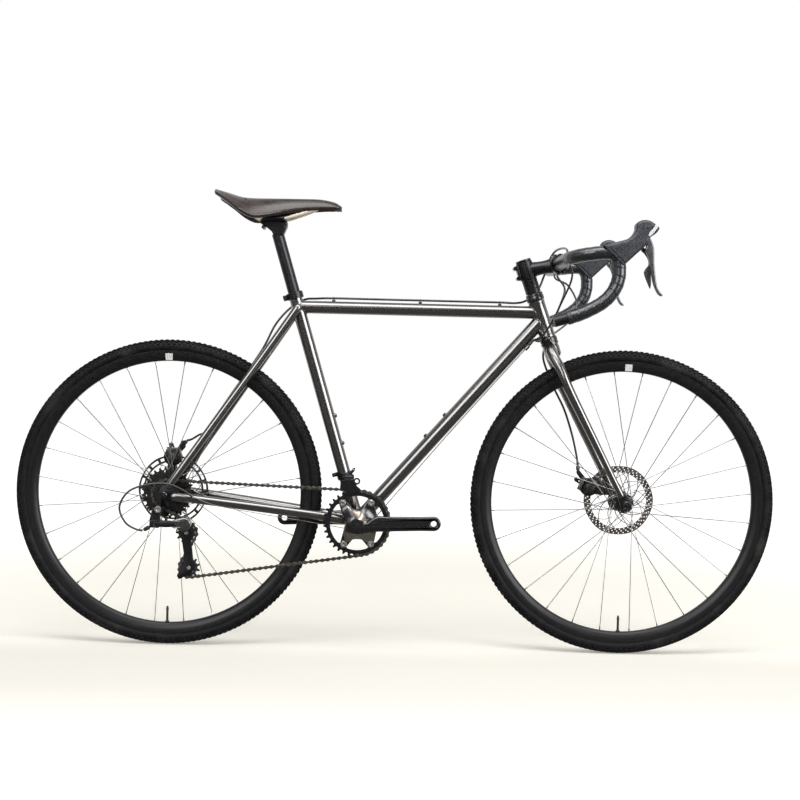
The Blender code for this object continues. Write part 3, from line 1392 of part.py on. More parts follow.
KNUCKLE_Y = -(DROPOUT_Y + REAR_DROPOUT_THICKNESS / 2)
LINK_PIVOT = REAR_HUB + Vector((-0.0120, -0.0895, -0.0620))
LINK_SPREAD = 0.0120
LINK_THICKNESS = 0.0042
LINK_HEIGHT = 0.0105
LINK_PIN_RADIUS = 0.0016
EAR_THICKNESS = 0.0028
FORK_WIDTH = 0.0220
BODY_CENTRE = (REAR_HUB.x + 0.0465, REAR_HUB.z - 0.0625)
BODY_RADIUS = 0.0145
BODY_Y = (-0.0905, -0.0600)
CAGE_PIN_RADIUS = 0.0028
LINK_LENGTH = 0.0385
NECK_OUTLINE = [(-0.0215, -0.0290), (-0.0020, -0.0290), (-0.0070, -0.0555), (-0.0280, -0.0555)]
CAGE_PIVOT = REAR_HUB + Vector((0.0415, CHAIN_Y, -0.0740))


def link_fork(x_open, x_back):
    """Block with a slot for the links' ends, open towards x_open."""
    y = LINK_PIVOT.y + LINK_SPREAD / 2
    height = LINK_HEIGHT + 2 * CLEARANCE + 2 * EAR_THICKNESS
    outer = block((abs(x_open - x_back), FORK_WIDTH, height), ((x_open + x_back) / 2, y, LINK_PIVOT.z))
    wall = 0.0100 if x_open > x_back else 0.0085
    start = x_back + math.copysign(wall, x_open - x_back)
    far = x_open + math.copysign(0.01, x_open - x_back)
    slot = block((abs(far - start), 0.04, LINK_HEIGHT + 2 * CLEARANCE),
                 ((far + start) / 2, y, LINK_PIVOT.z))
    return cut(outer, slot)


def make_rear_mech_knuckle():
    """Upper knuckle: the hanger bolt, the neck down to the links' fork with its pins, and the cable stop."""
    x, z = HANGER_BOLT.x, HANGER_BOLT.z
    bolt = rod((x, -DROPOUT_Y + REAR_DROPOUT_THICKNESS / 2, z), (x, -0.0930, z),
               HANGER_HOLE_RADIUS - CLEARANCE, 10)
    boss = rod((x, KNUCKLE_Y - CLEARANCE, z), (x, -0.0900, z), 0.0095, 14)
    neck = side_plate(beside(REAR_HUB, NECK_OUTLINE), -0.0835, 0.0110)
    fork = link_fork(REAR_HUB.x - 0.0070, REAR_HUB.x - 0.0280)
    stop = rod(REAR_HUB + Vector((-0.0265, -0.0850, -0.0680)),
               REAR_HUB + Vector((-0.0420, -0.0850, -0.0772)), 0.0042, 10)
    pins = []
    for y in (LINK_PIVOT.y, LINK_PIVOT.y + LINK_SPREAD):
        half = LINK_HEIGHT / 2 + EAR_THICKNESS / 2
        base = (LINK_PIVOT.x, y, LINK_PIVOT.z - half)
        pins.append(rod(base, (LINK_PIVOT.x, y, LINK_PIVOT.z + half), LINK_PIN_RADIUS, 8))
    return union(bolt, boss, neck, fork, stop, *pins)


def make_rear_mech_link(y):
    """Parallelogram link: it turns on an upright pin, its far end between the lower knuckle's ears."""
    half = LINK_HEIGHT / 2
    outline = [
        (-0.0045, -half), (LINK_LENGTH + 0.0045, -half), (LINK_LENGTH + 0.0045, half), (-0.0045, half),
    ]
    link = plate(outline, LINK_THICKNESS, (LINK_PIVOT.x, y, LINK_PIVOT.z))
    reach = Vector((0, 0, LINK_HEIGHT))
    pivot = Vector((LINK_PIVOT.x, y, LINK_PIVOT.z))
    return cut(link, rod(pivot - reach, pivot + reach, LINK_PIN_RADIUS + CLEARANCE, 8))


def make_rear_mech_body():
    """Lower knuckle: a barrel around the cage's pivot with the ears that take the links."""
    x, z = BODY_CENTRE
    barrel = rod((x, BODY_Y[0], z), (x, BODY_Y[1], z), BODY_RADIUS, 16)
    left_edge = LINK_PIVOT.x + LINK_LENGTH - 0.0045
    fork = link_fork(left_edge, BODY_CENTRE[0] - 0.006)
    swing = rod((CAGE_PIVOT.x, -0.0800, CAGE_PIVOT.z), (CAGE_PIVOT.x, -0.05, CAGE_PIVOT.z),
                CAGE_PIN_RADIUS + CLEARANCE, 10)
    return cut(union(barrel, fork), swing)


def cage_outline():
    guide = (GUIDE_PULLEY[0], GUIDE_PULLEY[1])
    tension = (TENSION_PULLEY[0], TENSION_PULLEY[1])
    return [
        *arc(guide, 0.0120, 0, 180, 6), (tension[0] - 0.0120, tension[1] + 0.020),
        (tension[0] - 0.0265, tension[1] - 0.0180), (tension[0] - 0.0215, tension[1] - 0.0265),
        (tension[0] + 0.0040, tension[1] - 0.0120), *arc(tension, 0.0120, -60, 30, 4),
    ]


def make_cage():
    """Two cage plates joined by the pulley bolts, with the pivot that runs into the lower knuckle."""
    pieces = []
    for side in (-1, 1):
        y = CHAIN_Y + side * (CAGE_HALF_GAP + CAGE_PLATE / 2)
        pieces.append(side_plate(cage_outline(), y, CAGE_PLATE))
    reach = CAGE_HALF_GAP + CAGE_PLATE + 0.001
    for x, z in (GUIDE_PULLEY, TENSION_PULLEY):
        pieces.append(rod((x, CHAIN_Y - reach, z), (x, CHAIN_Y + reach, z), PULLEY_BORE - CLEARANCE, 8))
    x, z = CAGE_PIVOT.x, CAGE_PIVOT.z
    plate_y = CHAIN_Y - CAGE_HALF_GAP - CAGE_PLATE / 2
    pieces.append(rod((x, plate_y, z), (x, BODY_Y[1] + CLEARANCE, z), 0.0075, 12))
    pieces.append(rod((x, plate_y, z), (x, -0.0790, z), CAGE_PIN_RADIUS, 10))
    return union(*pieces)


def make_pulley(centre):
    radius = pitch_radius(PULLEY_TEETH)
    outline = toothed(PULLEY_TEETH, radius - 0.0040, radius + 0.0020)
    origin = (centre[0], CHAIN_Y, centre[1])
    return plate(outline, PULLEY_THICKNESS, origin, [circle((0, 0), PULLEY_BORE, 8)])


# Front derailleur

FRONT_MECH_STATION = 0.1065
FRONT_MECH_PIVOT = BOTTOM_BRACKET + Vector((-0.0218, -0.0265, 0.1005))
FRONT_MECH_PIN_RADIUS = 0.0022
FRONT_MECH_EYE_HALF = 0.0085


def front_mech_pin(half, radius):
    reach = Vector((half, 0, 0))
    return rod(FRONT_MECH_PIVOT - reach, FRONT_MECH_PIVOT + reach, radius, 8)


def make_front_mech_clamp():
    """Band around the seat tube with its bolt ears and the fork and pin that carry the cage."""
    base = on_seat(FRONT_MECH_STATION - 0.007)
    band = ring(base, SEAT_DIRECTION, SEAT_TUBE_RADIUS + 0.0032, SEAT_TUBE_RADIUS + CLEARANCE, 0.014, 20)
    ear = block((0.012, 0.010, 0.009), on_seat(FRONT_MECH_STATION) + Vector((-0.0215, 0, 0.0015)))
    pivot = FRONT_MECH_PIVOT
    link = block((0.0240, 0.0060, 0.0100), pivot + LATERAL * 0.0090)
    cheeks = [block((0.0030, 0.0140, 0.0100), pivot + Vector((side * 0.0105, 0.0050, 0)))
              for side in (-1, 1)]
    tube = rod(on_seat(0.08), on_seat(0.14), SEAT_TUBE_RADIUS + CLEARANCE, TUBE_SIDES)
    return cut(union(band, ear, link, *cheeks, front_mech_pin(0.0115, FRONT_MECH_PIN_RADIUS)), tube)


def make_front_mech_cage():
    """Cage that straddles the chain above the ring, with the arm and eye that hang it on the clamp's pin."""
    low = FRONT_MECH_PIVOT.z - 0.0200
    high = FRONT_MECH_PIVOT.z - 0.0055
    rear = FRONT_MECH_PIVOT.x - 0.0190
    nose = FRONT_MECH_PIVOT.x + 0.0280
    top = [(nose, high - 0.0100), (nose - 0.0100, high), (rear, high)]
    outside = side_plate([(rear + 0.001, low - 0.0050), (nose - 0.0050, low - 0.0140), *top],
                         RING_Y - 0.0068, 0.0014)
    inside = side_plate([(rear + 0.001, low - 0.0020), (nose - 0.0050, low - 0.0110), *top],
                        RING_Y + 0.0068, 0.0014)
    roof = block((0.034, 0.0150, 0.0014), (FRONT_MECH_PIVOT.x, RING_Y, high - 0.0007))
    arm = block((0.0165, 0.0200, 0.0040), (FRONT_MECH_PIVOT.x, -0.0365, high + 0.0015))
    eye = front_mech_pin(FRONT_MECH_EYE_HALF, 0.0045)
    cage = union(outside, inside, roof, arm, eye)
    return cut(cage, front_mech_pin(0.02, FRONT_MECH_PIN_RADIUS + CLEARANCE))


# Seat


def make_seat_collar():
    base = on_seat(SEAT_TUBE_LENGTH - 0.0065)
    band = ring(base, SEAT_DIRECTION, SEAT_TUBE_RADIUS + 0.0040, SEAT_TUBE_RADIUS + CLEARANCE, 0.0145)
    back = Vector((-SEAT_DIRECTION.z, 0, SEAT_DIRECTION.x))
    middle = base + SEAT_DIRECTION * 0.0072 + back * (SEAT_TUBE_RADIUS + 0.0075)
    ears = block((0.0120, 0.0150, 0.0120), middle, back, 0.002)
    tube = rod(base - SEAT_DIRECTION * 0.02, base + SEAT_DIRECTION * 0.04, SEAT_TUBE_RADIUS + CLEARANCE,
               TUBE_SIDES)
    return cut(union(band, ears), tube)


POST_HEAD = on_seat(SEATPOST_TOP)
RAIL_Z = POST_HEAD.z + 0.0264
HEAD_OUTLINE = [(0.0221, 0.0049), (0.0131, -0.0051), (-0.0124, -0.0051), (-0.0239, 0.0109)]


def make_seatpost():
    """Post with its wedge head, the cradle under the rails, two bolts and the plate over the rails."""
    shaft = rod(on_seat(SEAT_TUBE_LENGTH - SEATPOST_INSERTION), on_seat(SEATPOST_TOP), SEATPOST_RADIUS,
                TUBE_SIDES)
    under = RAIL_Z - RAIL_RADIUS - CLEARANCE
    over = RAIL_Z + RAIL_RADIUS + CLEARANCE
    rear = POST_HEAD.x + -0.0269
    front = POST_HEAD.x + 0.0221
    head = side_plate([(rear, under), (front, under), *beside(POST_HEAD, HEAD_OUTLINE)], 0.0, 0.030)
    width = 2 * RAIL_SPREAD + 0.0060
    cradle = block((0.036, width, 0.0050), (POST_HEAD.x - 0.0049, 0, under - 0.0025))
    cover = block((0.036, width, 0.0036), (POST_HEAD.x - 0.0049, 0, over + 0.0018))
    bolts = [rod((x, 0, under - 0.016), (x, 0, over + 0.003), 0.0030, 8)
             for x in (POST_HEAD.x - 0.0189, POST_HEAD.x + 0.0101)]
    return union(shaft, head, cradle, cover, *bolts)


def rail_path(side):
    """A saddle rail from the nose, along the clamp, to the back."""
    return placed(POST_HEAD, [
        (0.1021, side * 0.0090, 0.0599), (0.0761, side * 0.0150, 0.0459),
        (0.0371, side * RAIL_SPREAD, 0.0319),
        (0.0201, side * RAIL_SPREAD, 0.0270), (0.0131, side * RAIL_SPREAD, 0.0264),
        (-0.0279, side * RAIL_SPREAD, 0.0264), (-0.0419, side * (RAIL_SPREAD + 0.001), 0.0274),
        (-0.0619, side * (RAIL_SPREAD + 0.006), 0.0409), (-0.0739, side * (RAIL_SPREAD + 0.009), 0.0629),
    ])


def make_rails():
    """Both rails, bent from one rod that turns back under the nose."""
    left = smooth(rail_path(1), 11)
    right = smooth(rail_path(-1), 11)
    return wire([*reversed(left), *right], RAIL_RADIUS, 1)


# Saddle stations from the post's head, nose first: x, top height, half width, drop of the edge below the top
SADDLE_STATIONS = (
    (0.1446, 0.0519, 0.0100, 0.0055),
    (0.1391, 0.0614, 0.0180, 0.0150),
    (0.1271, 0.0684, 0.0205, 0.0180),
    (0.0971, 0.0729, 0.0215, 0.0205),
    (0.0571, 0.0734, 0.0240, 0.0240),
    (0.0171, 0.0729, 0.0330, 0.0310),
    (-0.0179, 0.0719, 0.0470, 0.0390),
    (-0.0529, 0.0719, 0.0620, 0.0430),
    (-0.0829, 0.0739, 0.0700, 0.0330),
    (-0.1129, 0.0799, 0.0700, 0.0190),
    (-0.1409, 0.0884, 0.0600, 0.0080),
)


def make_saddle():
    """Saddle shell: an arched sheet, narrow at the nose, with its wings drooping and its tail swept up."""
    mesh = bpy.data.meshes.new("saddle")
    bm = bmesh.new()
    rows = []
    across = 7
    for x, top, half, drop in SADDLE_STATIONS:
        row = []
        for i in range(across):
            share = 2 * i / (across - 1) - 1
            y = half * share
            fall = drop * abs(share) ** 3.0
            row.append(bm.verts.new(POST_HEAD + Vector((x, y, top - fall))))
        rows.append(row)
    for a, b in zip(rows, rows[1:]):
        for i in range(across - 1):
            bm.faces.new((a[i], a[i + 1], b[i + 1], b[i]))
    bm.normal_update()
    bm.faces.ensure_lookup_table()
    if bm.faces[0].normal.z < 0:
        bmesh.ops.reverse_faces(bm, faces=bm.faces)
    bm.to_mesh(mesh)
    bm.free()
    obj = new_object(mesh)
    shell = obj.modifiers.new("thickness", "SOLIDIFY")
    shell.thickness = SADDLE_THICKNESS
    shell.offset = -1
    return union(bake(obj), make_rails())


# Cables


def rear_brake_path():
    """Rear brake housing: from the bar over the stem, along the top tube and down the left seatstay."""
    z = TOP_HOUSING_Z
    along_stay = Vector((-0.0124, 0, 0.0084))
    return [
        *placed(BAR_CENTRE, [
            (0.0061, -0.0900, 0.0146), (0.0085, -0.0840, 0.0226), (0.0083, -0.0680, 0.0291),
            (0.0058, -0.0400, 0.0336), (0.0013, -0.0100, 0.0346), (-0.0047, 0.0200, 0.0316),
            (-0.0117, 0.0370, 0.0196), (-0.0177, 0.0400, 0.0026), (-0.0257, 0.0370, -0.0214),
            (-0.0417, 0.0320, -0.0594)]),
        *placed(TOP_TUBE_FRONT, [(-0.0295, 0.0230, 0.0280), (-0.0545, 0.0080, 0.0210)]),
        (CLIP_X[2], 0.0, z), ((CLIP_X[1] + CLIP_X[2]) / 2, 0.0, z), (CLIP_X[1], 0.0, z),
        ((CLIP_X[0] + CLIP_X[1]) / 2, 0.0, z), (CLIP_X[0], 0.0, z),
        *placed(TOP_TUBE_REAR, [
            (0.0411, 0.0120, 0.0202), (0.0131, 0.0260, 0.0180), (-0.0169, 0.0340, 0.0010),
            (-0.0519, 0.0330, -0.0390)]),
        STAY_TOP.lerp(STAY_FOOT, 0.269) + along_stay + LATERAL * 0.0330,
        STAY_TOP.lerp(STAY_FOOT, 0.522) + along_stay + LATERAL * 0.0480,
        *placed(REAR_HUB, [(0.0724, 0.0640, 0.1400), (0.0515, 0.0740, 0.1250), (0.0345, 0.0797, 0.1145)]),
        REAR_CABLE_END,
    ]


def wire_run(side):
    """Bare shift wire under the down tube, from inside its stop to the guide under the shell."""
    y = side * WIRE_SPREAD
    return [
        down_point(STOP_STATION + STOP_LENGTH / 2 + 0.002, STOP_OFFSET, y), down_point(0.3, WIRE_OFFSET, y),
        down_point(0.035, SHELL_RADIUS + 0.0050, y * 0.8),
        BOTTOM_BRACKET + Vector((0.0175, y * 0.75, -0.0152)),
        BOTTOM_BRACKET + Vector((0.004, y * 0.7, -GUIDE_DROP)),
    ]


REAR_WIRE = [
    *placed(BOTTOM_BRACKET, [(0.0040, -0.0049, -GUIDE_DROP), (-0.0388, -0.0140, -0.0145),
                             (-0.1138, -0.0330, 0.0000)]),
    *placed(REAR_HUB, [(0.2115, -0.0520, -0.0395), (0.1115, -0.0735, -0.0200), (0.0615, -0.0830, 0.0000)]),
]
REAR_LOOP = placed(REAR_HUB, [
    (0.0635, -0.0825, -0.0010), (0.0415, -0.0845, 0.0130), (0.0065, -0.0860, 0.0260),
    (-0.0404, -0.0865, 0.0222),
    (-0.0773, -0.0865, 0.0060), (-0.0952, -0.0860, -0.0274), (-0.0826, -0.0855, -0.0601),
    (-0.0605, -0.0850, -0.0745), (-0.0437, -0.0850, -0.0780),
])
FRONT_MECH_WIRE = placed(BOTTOM_BRACKET, [
    (0.0040, 0.0049, -GUIDE_DROP), (-0.0138, 0.0020, -0.0240), (-0.0248, -0.0030, -0.0080),
    (-0.0288, -0.0080, 0.0170), (-0.0298, -0.0150, 0.0470), (-0.0288, -0.0205, 0.0720),
    (-0.0268, -0.0225, 0.0915),
])


def make_rear_brake_housing():
    return wire(smooth(rear_brake_path(), REAR_HOUSING_POINTS), HOUSING_RADIUS, 1)


def shift_loop(side):
    """Shift housing from under the bar tape to the stop on the down tube."""
    y = side * WIRE_SPREAD
    end = down_point(STOP_STATION + STOP_LENGTH / 2 + CLEARANCE, STOP_OFFSET, y)
    tail = down_point(STOP_STATION + STOP_LENGTH / 2 + 0.018, STOP_OFFSET + 0.0006, y * 1.1)
    if side < 0:
        at_bar = [(0.0053, -0.1050, -0.0127), (0.0108, -0.1050, -0.0254), (0.0193, -0.1035, -0.0374),
                  (0.0123, -0.0985, -0.0544), (-0.0027, -0.0840, -0.0924)]
        at_head = [(0.0021, -0.0600, 0.0351), (-0.0179, -0.0340, 0.0001)]
    else:
        at_bar = [(0.0055, 0.1050, -0.0132), (0.0108, 0.1052, -0.0254), (0.0393, 0.1080, -0.0394),
                  (0.0593, 0.1000, -0.0794)]
        at_head = [(0.0641, 0.0780, 0.0471), (0.0281, 0.0520, 0.0161), (-0.0099, 0.0280, -0.0059)]
    return [*placed(BAR_CENTRE, at_bar), *placed(on_head(HEAD_TUBE_BOTTOM), at_head), tail, end]


def make_shift_cables():
    """Shift cables as one run: bar loops, wires under the down tube, guide, and wires to both mechs."""
    guide = block((0.016, 0.022, 0.005), BOTTOM_BRACKET + Vector((0.004, 0, -SHELL_RADIUS - 0.0024)))
    pieces = [cut(guide, shell_cutter())]
    for side in (-1, 1):
        pieces.append(wire(smooth(shift_loop(side), 15), SHIFT_HOUSING_RADIUS, 1))
        pieces.append(wire(wire_run(side), WIRE_RADIUS, 0))
    pieces.append(wire(smooth(REAR_WIRE, 7), WIRE_RADIUS, 0))
    pieces.append(wire(smooth(REAR_LOOP, 12), SHIFT_HOUSING_RADIUS, 1))
    pieces.append(wire(smooth(FRONT_MECH_WIRE, 7), WIRE_RADIUS, 0))
    return union(*pieces)


def front_brake_path():
    """Front brake housing: from the bar's left half down the left fork leg to the calliper's stop."""
    return [
        *placed(BAR_CENTRE, [
            (0.0053, 0.0700, -0.0127), (0.0108, 0.0700, -0.0254), (0.0263, 0.0680, -0.0524),
            (0.0093, 0.0520, -0.1024), (-0.0067, 0.0470, -0.1474)]),
        *placed(FRONT_HUB, [
            (-0.1765, 0.0480, 0.3540), (-0.1805, 0.0490, 0.3230), (-0.1675, 0.0530, 0.2860),
            (-0.1495, 0.0580, 0.2480), (-0.1268, 0.0620, 0.2043), (-0.1075, 0.0650, 0.1490),
            (-0.0953, 0.0672, 0.1010)]),
        FRONT_CABLE_END,
    ]


def make_front_brake_cable():
    return wire(smooth(front_brake_path(), FRONT_HOUSING_POINTS), HOUSING_RADIUS, 1)


# Materials


def surfaces():
    return {
        "paint": material("frame_paint", (0.075, 0.075, 0.080), 0.22, 0.75),
        "black": material("black_alloy", (0.012, 0.012, 0.013), 0.38, 0.4),
        "steel": material("bright_steel", (0.55, 0.55, 0.56), 0.25, 1.0),
        "lever": material("lever_grey", (0.16, 0.16, 0.165), 0.30, 0.9),
        "crank": material("crank_grey", (0.045, 0.045, 0.048), 0.28, 0.85),
        "rubber": material("tyre_rubber", (0.012, 0.012, 0.012), 0.75),
        "tape": material("bar_tape_black", (0.014, 0.014, 0.016), 0.55),
        "hood": material("hood_rubber", (0.022, 0.022, 0.025), 0.50),
        "saddle": material("saddle_leather", (0.020, 0.014, 0.013), 0.25),
        "chain": material("chain_steel", (0.17, 0.14, 0.12), 0.35, 1.0),
        "housing": material("cable_housing", (0.010, 0.010, 0.010), 0.35),
    }


def build():
    clear_scene()
    looks = surfaces()
    frame = joint_empty("frame_origin", (0, 0, 0))
    steer = joint_empty("steering_axis", on_head(HEAD_TUBE_BOTTOM), frame)
    front = joint_empty("front_axle_axis", FRONT_HUB, steer)
    rear = joint_empty("rear_axle_axis", REAR_HUB, frame)
    crank = joint_empty("crank_axis", BOTTOM_BRACKET, frame)
    post = joint_empty("seatpost_axis", on_seat(SEAT_TUBE_LENGTH), frame)
    build_frame(looks, frame)
    build_cockpit(looks, steer)
    build_wheel("front", looks, front, steer, FRONT_HUB, FRONT_FLANGES, FRONT_ROTOR_Y, FRONT_SPACING,
                FORK_TIP_THICKNESS, FRONT_SPOKE_START, (-0.45, 0, 1.0))
    build_wheel("rear", looks, rear, frame, REAR_HUB, REAR_FLANGES, REAR_ROTOR_Y, REAR_SPACING,
                REAR_DROPOUT_THICKNESS, REAR_SPOKE_START, (0.72, 0, 1.0))
    front_stop = (FRONT_STOP_OUTLINE, smooth(front_brake_path(), FRONT_HOUSING_POINTS))
    rear_stop = (REAR_STOP_OUTLINE, smooth(rear_brake_path(), REAR_HOUSING_POINTS))
    build_brake("front", looks, steer, FRONT_HUB, FRONT_ROTOR_Y, FRONT_CALIPER_ANGLE, FRONT_ARM_ANGLE,
                FRONT_FOOT_OUTLINE, FRONT_FOOT_Y, front_stop)
    build_brake("rear", looks, frame, REAR_HUB, REAR_ROTOR_Y, REAR_CALIPER_ANGLE, REAR_ARM_ANGLE,
                REAR_FOOT_OUTLINE, REAR_FOOT_Y, rear_stop)
    build_drivetrain(looks, frame, rear, crank)
    finish(make_seatpost(), "seatpost", looks["black"], post)
    finish(make_saddle(), "saddle", looks["saddle"], post)
    bpy.context.view_layer.update()


def build_frame(looks, frame):
    finish(make_head_tube(), "head_tube", looks["paint"], frame)
    finish(make_top_tube(), "top_tube", looks["paint"], frame)
    finish(make_down_tube(), "down_tube", looks["paint"], frame)
    finish(make_seat_tube(), "seat_tube", looks["paint"], frame)
    finish(make_shell(), "bottom_bracket_shell", looks["paint"], frame)
    finish(make_chainstays(), "chainstays", looks["paint"], frame)
    finish(make_seatstays(), "seatstays", looks["paint"], frame)
    finish(make_headset_cup(CROWN_TO_AXLE, LOWER_CUP_HEIGHT), "headset_cup_lower", looks["black"], frame)
    finish(make_headset_cup(HEAD_TUBE_TOP, UPPER_CUP_HEIGHT), "headset_cup_upper", looks["black"], frame)
    finish(make_bottom_bracket(), "bottom_bracket", looks["black"], frame)
    finish(make_seat_collar(), "seat_collar", looks["black"], frame)
    finish(make_rear_brake_housing(), "rear_brake_housing", looks["housing"], frame)
    finish(make_shift_cables(), "shift_cables", looks["housing"], frame)


def build_cockpit(looks, steer):
    finish(make_fork(), "fork", looks["paint"], steer)
    finish(make_headset_spacers(), "headset_spacers", looks["black"], steer)
    finish(make_top_cap(), "top_cap", looks["black"], steer)
    finish(make_stem(), "stem", looks["black"], steer)
    finish(make_faceplate(), "stem_faceplate", looks["black"], steer)
    finish(make_handlebar(), "handlebar", looks["black"], steer)
    finish(make_front_brake_cable(), "front_brake_cable", looks["housing"], steer)
    for side, label in ((-1, "_right"), (1, "_left")):
        finish(make_bar_tape(side), "bar_tape" + label, looks["tape"], steer)
        finish(make_hood(side), "brake_hood" + label, looks["hood"], steer)
        lever = joint_empty("lever_axis" + label, (LEVER_PIVOT[0], side * LEVER_Y, LEVER_PIVOT[1]), steer)
        finish(make_brake_lever(side), "brake_lever" + label, looks["lever"], lever)
        paddle = joint_empty("paddle_axis" + label, (PADDLE_EYE[0], side * PADDLE_Y, PADDLE_HEIGHT), lever)
        finish(make_shift_paddle(side), "shift_paddle" + label, looks["lever"], paddle)


def build_wheel(label, looks, empty, carrier, hub, flanges, rotor_y, spacing, thickness, first,
                lever_direction):
    finish(make_tyre(hub), label + "_tyre", looks["rubber"], empty)
    finish(make_rim(hub), label + "_rim", looks["black"], empty)
    finish(make_hub(hub, flanges, rotor_y, spacing, first), label + "_hub", looks["black"], empty)
    finish(make_rotor(hub, rotor_y), label + "_rotor", looks["steel"], empty)
    finish(make_axle(hub, spacing / 2, thickness), label + "_axle", looks["black"], carrier)
    pivot = qr_pivot(hub, spacing / 2, thickness)
    lever_axis = joint_empty(label + "_qr_axis", pivot, carrier)
    finish(make_qr_lever(pivot, lever_direction), label + "_qr_lever", looks["black"], lever_axis)


def build_brake(label, looks, carrier, hub, rotor_y, angle, arm_angle, foot, foot_y, stop):
    finish(make_caliper(hub, rotor_y, angle, foot, foot_y, stop), label + "_caliper", looks["black"],
           carrier)
    pivot = joint_empty(label + "_arm_axis", arm_origin(hub, rotor_y, angle), carrier)
    finish(make_caliper_arm(hub, rotor_y, angle, arm_angle), label + "_caliper_arm", looks["black"], pivot)


def build_drivetrain(looks, frame, rear, crank):
    finish(make_chain(), "chain", looks["chain"], frame)
    finish(make_cassette(), "cassette", looks["black"], rear)
    finish(make_crank_right(), "crank_right", looks["crank"], crank)
    finish(make_crank_left(), "crank_left", looks["crank"], crank)
    finish(make_chainring(), "chainring", looks["black"], crank)
    finish(make_front_mech_clamp(), "front_mech_clamp", looks["black"], frame)
    swing = joint_empty("front_mech_axis", FRONT_MECH_PIVOT, frame)
    finish(make_front_mech_cage(), "front_mech_cage", looks["black"], swing)
    finish(make_rear_mech_knuckle(), "rear_mech_knuckle", looks["black"], frame)
    for label, y in (("outer", LINK_PIVOT.y), ("inner", LINK_PIVOT.y + LINK_SPREAD)):
        axis = joint_empty("rear_mech_link_axis_" + label, (LINK_PIVOT.x, y, LINK_PIVOT.z), frame)
        finish(make_rear_mech_link(y), "rear_mech_link_" + label, looks["black"], axis)
    shift = joint_empty("rear_mech_shift_axis", CAGE_PIVOT, frame)
    finish(make_rear_mech_body(), "rear_mech_body", looks["lever"], shift)
    cage = joint_empty("rear_mech_cage_axis", CAGE_PIVOT, shift)
    finish(make_cage(), "rear_mech_cage", looks["black"], cage)
    for label, centre in (("guide", GUIDE_PULLEY), ("tension", TENSION_PULLEY)):
        axis = joint_empty(label + "_pulley_axis", (centre[0], CHAIN_Y, centre[1]), cage)
        finish(make_pulley(centre), label + "_pulley", looks["black"], axis)


build()
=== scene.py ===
"""Looks of the cyclocross bike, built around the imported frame.

Metres, +X forward, +Y to the rider's left, +Z up; the drive side is at -Y.
"""
import math

import bmesh
import bpy
from mathutils import Matrix, Vector
from mathutils.geometry import tessellate_polygon


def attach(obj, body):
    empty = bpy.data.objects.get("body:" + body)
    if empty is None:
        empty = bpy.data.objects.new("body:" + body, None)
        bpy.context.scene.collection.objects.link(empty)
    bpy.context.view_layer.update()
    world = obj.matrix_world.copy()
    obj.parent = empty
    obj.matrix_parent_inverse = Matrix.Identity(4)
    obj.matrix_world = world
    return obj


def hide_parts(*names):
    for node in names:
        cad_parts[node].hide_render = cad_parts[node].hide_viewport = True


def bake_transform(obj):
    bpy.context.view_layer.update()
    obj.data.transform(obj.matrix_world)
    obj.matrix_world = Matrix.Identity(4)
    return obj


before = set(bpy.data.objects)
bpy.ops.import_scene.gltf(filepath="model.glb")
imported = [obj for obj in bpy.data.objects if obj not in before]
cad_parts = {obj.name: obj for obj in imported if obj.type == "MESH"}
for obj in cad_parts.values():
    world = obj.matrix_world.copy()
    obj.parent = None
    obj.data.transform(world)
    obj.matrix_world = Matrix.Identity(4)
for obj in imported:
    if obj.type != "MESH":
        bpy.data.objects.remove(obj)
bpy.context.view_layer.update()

# Camera, at the photograph's viewing angle
CAMERA_PLACE = Vector((-0.0354, -2.8962, 0.6423))
CAMERA_TURN = Matrix((
    (0.99962, -0.02395, -0.01343),
    (-0.01277, 0.02748, -0.99954),
    (0.02431, 0.99934, 0.02717),
))
LENS = 57.7


def make_camera():
    data = bpy.data.cameras.new("camera")
    data.lens = LENS
    data.sensor_width = 36.0
    data.clip_end = 50.0
    camera = bpy.data.objects.new("camera", data)
    bpy.context.scene.collection.objects.link(camera)
    camera.matrix_world = Matrix.Translation(CAMERA_PLACE) @ CAMERA_TURN.to_4x4()
    bpy.context.scene.camera = camera


make_camera()
bpy.context.scene.view_settings.view_transform = "Standard"

# Sizes shared with the solids
LATERAL = Vector((0, 1, 0))
UP = Vector((0, 0, 1))
SIDES = ((-1, "right"), (1, "left"))
HUBS = {"front": Vector((0.5115, 0, 0.344)), "rear": Vector((-0.5115, 0, 0.344))}
BOTTOM_BRACKET = Vector((-0.08617, 0, 0.288))
SEAT_ANGLE = math.radians(73.2)
HEAD_ANGLE = math.radians(70.6)
SEAT_DIRECTION = Vector((-math.cos(SEAT_ANGLE), 0, math.sin(SEAT_ANGLE)))
HEAD_DIRECTION = Vector((-math.cos(HEAD_ANGLE), 0, math.sin(HEAD_ANGLE)))
HEAD_FORWARD = Vector((math.sin(HEAD_ANGLE), 0, math.cos(HEAD_ANGLE)))
SEAT_FORWARD = Vector((math.sin(SEAT_ANGLE), 0, math.cos(SEAT_ANGLE)))
STEERING_FOOT = HUBS["front"] - HEAD_FORWARD * 0.045


def on_head(station):
    return STEERING_FOOT + HEAD_DIRECTION * station


def on_seat(station):
    return BOTTOM_BRACKET + SEAT_DIRECTION * station


# Shapes

def frame_along(origin, direction):
    """Matrix with Z along direction and its Y kept lateral, or upright where direction is lateral."""
    z = Vector(direction).normalized()
    side = LATERAL if abs(z.y) < 0.9 else UP
    y = (side - z * side.dot(z)).normalized()
    placed = Matrix((y.cross(z), y, z)).transposed().to_4x4()
    placed.translation = Vector(origin)
    return placed


SPLINE_STEPS = 24


